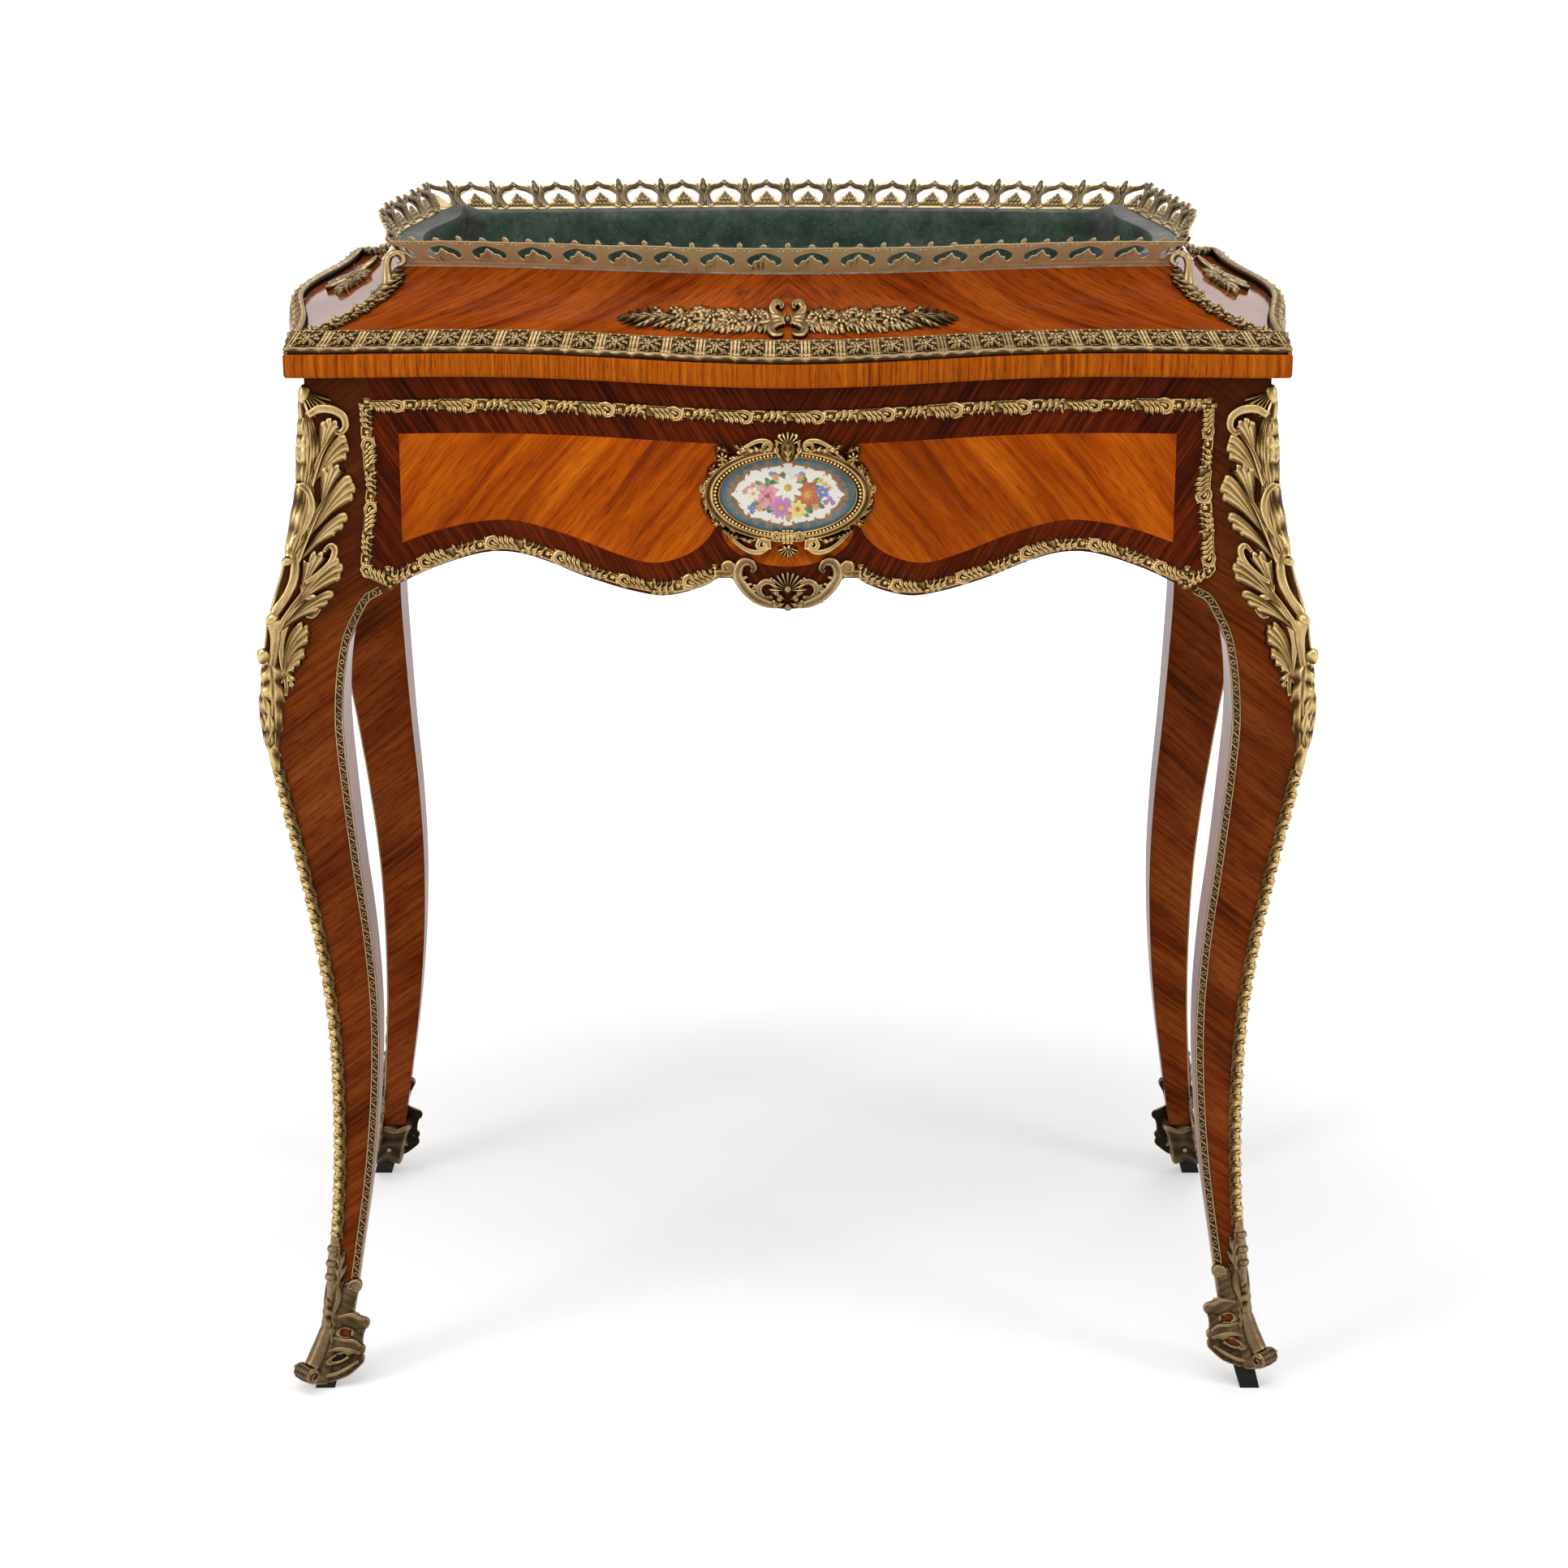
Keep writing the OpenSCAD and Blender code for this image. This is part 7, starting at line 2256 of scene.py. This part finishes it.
# %% The plaque's ground
PLAQUE_RINGS = 128
PLAQUE_SPOKES = 460
ring_share = np.concatenate([np.linspace(0.008, 1, PLAQUE_RINGS) ** 0.75, [1.0, 1.0]])
spoke = np.linspace(0, 2 * np.pi, PLAQUE_SPOKES, endpoint=False)
px = ring_share[:, None] * (PLAQUE_W / 2 - 0.1) * np.cos(spoke)
py = ring_share[:, None] * (PLAQUE_H / 2 - 0.1) * np.sin(spoke)
paint = np.empty(px.shape + (3,))
paint[:] = (0.84, 0.79, 0.71)
print("painted points:", px.size)


# %% Brush strokes
def lay(mask, colour):
    paint[:] = mix(paint, np.array(colour, float), np.clip(mask, 0, 1)[..., None])


def ahead(x, y, reach, a):
    return x + reach * math.cos(a), y + reach * math.sin(a)


def circle(count, start=0.0):
    return [start + 2 * math.pi * i / count for i in range(count)]


def dab(x, y, long, wide, turn, inner, outer, rim=0.25):
    c, s = math.cos(turn), math.sin(turn)
    u, v = ((px - x) * c + (py - y) * s) / long, (-(px - x) * s + (py - y) * c) / wide
    e = np.hypot(u, v)
    share = np.clip(0.5 + 0.5 * u + 0.25 * v, 0, 1)[..., None]
    tone = mix(np.array(inner), np.array(outer), share)
    lay(ramp((1 - e) / 0.22), tone * (1 - rim * ramp((e - 0.62) / 0.35))[..., None])


def stroke(knots, width, colour, count=60):
    path = smooth_path(knots, count)
    near = np.hypot(px[..., None] - path[:, 0], py[..., None] - path[:, 1]).min(-1)
    lay(ramp((width - near) / 0.25 + 0.5), colour)


def bloom(x, y, r, petals, inner, outer, heart, turn, layers=1):
    for layer in range(layers):
        size = r * (1 - 0.32 * layer)
        for a in circle(petals, turn + layer * 0.45):
            dab(*ahead(x, y, 0.55 * size, a), size * 0.5, size * min(0.42, 1.9 / petals), a, inner, outer)
    dab(x, y, r * 0.24, r * 0.24, 0, heart, shade(heart, 0.6))
    for a in circle(7):
        dab(*ahead(x, y, 0.24 * r, a), r * 0.06, r * 0.06, 0, (0.75, 0.45, 0.05), (0.4, 0.2, 0.02))


def full_bloom(x, y, r, light, dark):
    draw = random.Random(int(x * 10 + y))
    for layer, f in enumerate((1.0, 0.78, 0.56, 0.36)):
        for a in circle(6 - layer, layer * 0.7):
            a += draw.uniform(-0.2, 0.2)
            dab(*ahead(x, y, 0.5 * r * f, a), r * 0.46 * f, r * 0.40 * f, a, dark, light, rim=0.4)
    dab(x, y, r * 0.2, r * 0.16, 0.5, shade(dark, 0.5), dark)


def sprig(x, y, long, turn, bright, wide=0.34):
    dark, light = (0.06 * bright, 0.15 * bright, 0.03), (0.26 * bright, 0.40 * bright, 0.10)
    dab(*ahead(x, y, 0.5 * long, turn), long * 0.5, long * 0.7 * wide, turn, light, dark, rim=0.3)
    stroke([(x, y), ahead(x, y, 0.9 * long, turn)], 0.12, (0.04, 0.10, 0.02), 20)


# %% Paint the border
TURQUOISE = (0.022, 0.135, 0.200)
GOLD = (0.300, 0.135, 0.022)
GOLD_DARK = (0.13, 0.055, 0.010)
CURLS = 28

angle = np.arctan2(py / PLAQUE_H, px / PLAQUE_W)
e = np.hypot(px / (PLAQUE_W / 2), py / (PLAQUE_H / 2))
inner_line = 0.80 + 0.030 * np.cos(8 * angle + 0.4) + 0.016 * np.cos(16 * angle)
shading = (0.85 + 0.25 * np.sin(angle * 3 + 1) * np.sin(e * 20))[..., None] * np.array(TURQUOISE)
lay(ramp((e - inner_line) / 0.012 + 0.5), shading)
lay(ramp((0.030 - np.abs(e - inner_line)) / 0.008), GOLD)
lay(ramp((0.007 - np.abs(e - inner_line - 0.008)) / 0.006), GOLD_DARK)
for i, a in enumerate(circle(CURLS, math.pi / CURLS)):
    bx, by = 0.86 * PLAQUE_W / 2 * math.cos(a), 0.85 * PLAQUE_H / 2 * math.sin(a)
    way = math.atan2(by * 3, bx)
    hand = 1 if i % 2 else -1
    spiral = curl(bx, by, 2.0, math.degrees(way) + 90 * hand, 0.9, hand, end=0.25)
    stroke([(x, y) for x, y, z in spiral], 0.55, GOLD, 40)
    dab(bx * 0.92, by * 0.90, 2.0, 0.75, way + 0.9 * hand, GOLD, GOLD_DARK)
    dab(bx * 1.07, by * 1.08, 1.2, 0.6, way + 1.4, GOLD, GOLD_DARK)
    if i % 2:
        dab(bx * 0.86, by * 0.84, 0.55, 0.55, 0, GOLD, GOLD_DARK)
print("the border has", CURLS, "curls")

# %% Colours of the flowers
ROSE = (0.62, 0.18, 0.22), (0.75, 0.35, 0.40), (0.70, 0.50, 0.10)
BLUE = (0.05, 0.09, 0.38), (0.16, 0.24, 0.62), (0.75, 0.60, 0.15)
YELLOW = (0.70, 0.48, 0.08), (0.80, 0.66, 0.22), (0.45, 0.18, 0.03)
VIOLET = (0.26, 0.07, 0.34), (0.42, 0.20, 0.55), (0.75, 0.55, 0.12)
SKY = (0.06, 0.10, 0.40), (0.18, 0.28, 0.66), (0.80, 0.70, 0.25)
SCARLET = (0.72, 0.16, 0.04), (0.86, 0.42, 0.14), (0.80, 0.70, 0.20)
TWIGS = [[(-12, 2), (-19, 5), (-26, 4)], [(-12, -4), (-20, -6), (-25, -9)], [(12, 4), (19, 8), (25, 7)],
         [(13, -4), (21, -5), (28, -3)], [(2, 8), (4, 12), (9, 14)], [(-3, 8), (-6, 13), (-11, 14)]]
SPRIGS = [(-9, -2, 11, 3.5), (-7, 3, 10, 2.6), (-3, 6, 9, 1.9), (4, 5, 9, 1.1), (9, 3, 10, 0.5),
          (10, -3, 11, -0.4),
          (4, -7, 9, -1.2), (-4, -8, 9, -2.0), (14, 4, 8, 0.2), (-14, -2, 8, 3.0), (0, 8, 7, 1.5),
          (-11, 6, 7, 2.2),
          (12, -7, 7, -0.9), (-12, -7, 7, -2.5), (17, -5, 9, -0.5), (-17, -4, 9, 3.6), (6, 8, 9, 0.9),
          (-5, 9, 8, 2.2), (0, -11, 8, -1.5), (16, 7, 7, 0.7), (-15, 5, 8, 2.6), (9, -11, 7, -0.7)]
FRONT_SPRIGS = [(-6, 3, 9, 2.2), (7, 5, 9, 0.9), (-8, -7, 8, -2.4), (11, -6, 9, -0.9), (1, -10, 7, -1.4),
                (-2, 9, 7, 1.8)]
SHADOWS = [(-12, -1, 13), (0, 2, 15), (12, -1, 13), (-4, -8, 10), (7, -8, 10)]
BUDS = [(2.3, 5, ROSE, 0, [(-26, 4), (-23, 6.2), (-28.5, 2.0), (-24, 1.6)]),
        (2.1, 5, BLUE, 1, [(-25, -9), (-21.5, -8.4), (-23.6, -11.4)]),
        (2.4, 5, YELLOW, 0, [(25, 7), (22, 9.4), (27.6, 4.6)]),
        (2.1, 6, VIOLET, 1, [(28, -3), (25.4, -5.4), (30, -5.6)]),
        (2.0, 5, SKY, 1, [(9, 14), (6, 12), (-11, 14), (-8, 12.2)])]
LAST_BUDS = [(2.6, 5, SCARLET, 0, [(-8, 11.6), (8.4, 11.4), (-19, -9.4), (18.6, -8.6), (0.8, -15.2)])]


# %% Paint the bouquet
def buds(groups):
    """Small flowers in groups: radius, petals, colours, which coordinate turns them, and places."""
    for r, petals, colours, axis, places in groups:
        for place in places:
            bloom(*place, r, petals, *colours, turn=place[axis])


for x, y, r in SHADOWS:
    lay(0.62 * ramp((1 - np.hypot(px - x, (py - y) * 1.25) / r) / 0.55), (0.20, 0.22, 0.09))
for x, y, long, turn in SPRIGS:
    sprig(x, y, long, turn, 0.8 + 0.5 * ((x * 7 + y) % 3) / 3)
for knots in TWIGS:
    stroke(knots, 0.22, (0.10, 0.20, 0.05))
buds(BUDS)
for x, y, long, turn in FRONT_SPRIGS:
    sprig(x, y, long, turn, 0.6, 0.42)
full_bloom(-13.4, -0.8, 10.0, (0.86, 0.44, 0.46), (0.50, 0.07, 0.13))
bloom(13.2, -0.2, 10.0, 9, (0.72, 0.24, 0.04), (0.42, 0.03, 0.012), (0.72, 0.50, 0.06), turn=0.3, layers=2)
bloom(0.2, 4.6, 10.2, 9, (0.92, 0.86, 0.66), (0.84, 0.82, 0.74), (0.78, 0.42, 0.04), turn=0.2, layers=2)
bloom(-4.2, -9.0, 8.2, 12, (0.42, 0.08, 0.36), (0.62, 0.26, 0.56), (0.74, 0.55, 0.08), turn=0.1, layers=2)
bloom(6.6, -10.0, 6.6, 7, (0.80, 0.50, 0.06), (0.90, 0.74, 0.26), (0.50, 0.22, 0.04), turn=0.5, layers=2)
bloom(-23.0, 0.6, 4.8, 6, (0.80, 0.70, 0.46), (0.90, 0.84, 0.70), (0.72, 0.48, 0.08), turn=0.2)
bloom(23.4, 1.6, 4.8, 5, (0.06, 0.10, 0.44), (0.16, 0.28, 0.70), (0.78, 0.66, 0.20), turn=0.6)
buds(LAST_BUDS)
print("small flowers:", sum(len(group[-1]) for group in BUDS + LAST_BUDS))

# %% Make the plaque
PLAQUE_DOME = 1.1
dome = PLAQUE_DOME * np.sqrt(np.clip(1.02 - ring_share[:-1] ** 2, 0, 1))
plaque_z = np.concatenate([dome, [-1.9]])[:, None]
plaque_shape = disc(side_point(0, px, PLAQUE_FRONT - 1.0 + plaque_z, PLAQUE_Z + py))
middle_colour = np.repeat(paint[:1].mean(axis=(0, 1))[None], 2, axis=0)
painted = new_mesh("porcelain_painted", plaque_shape, paint=np.vstack([paint.reshape(-1, 3), middle_colour]))
settle(painted, PORCELAIN, "porcelain_plaque", sharp=40)
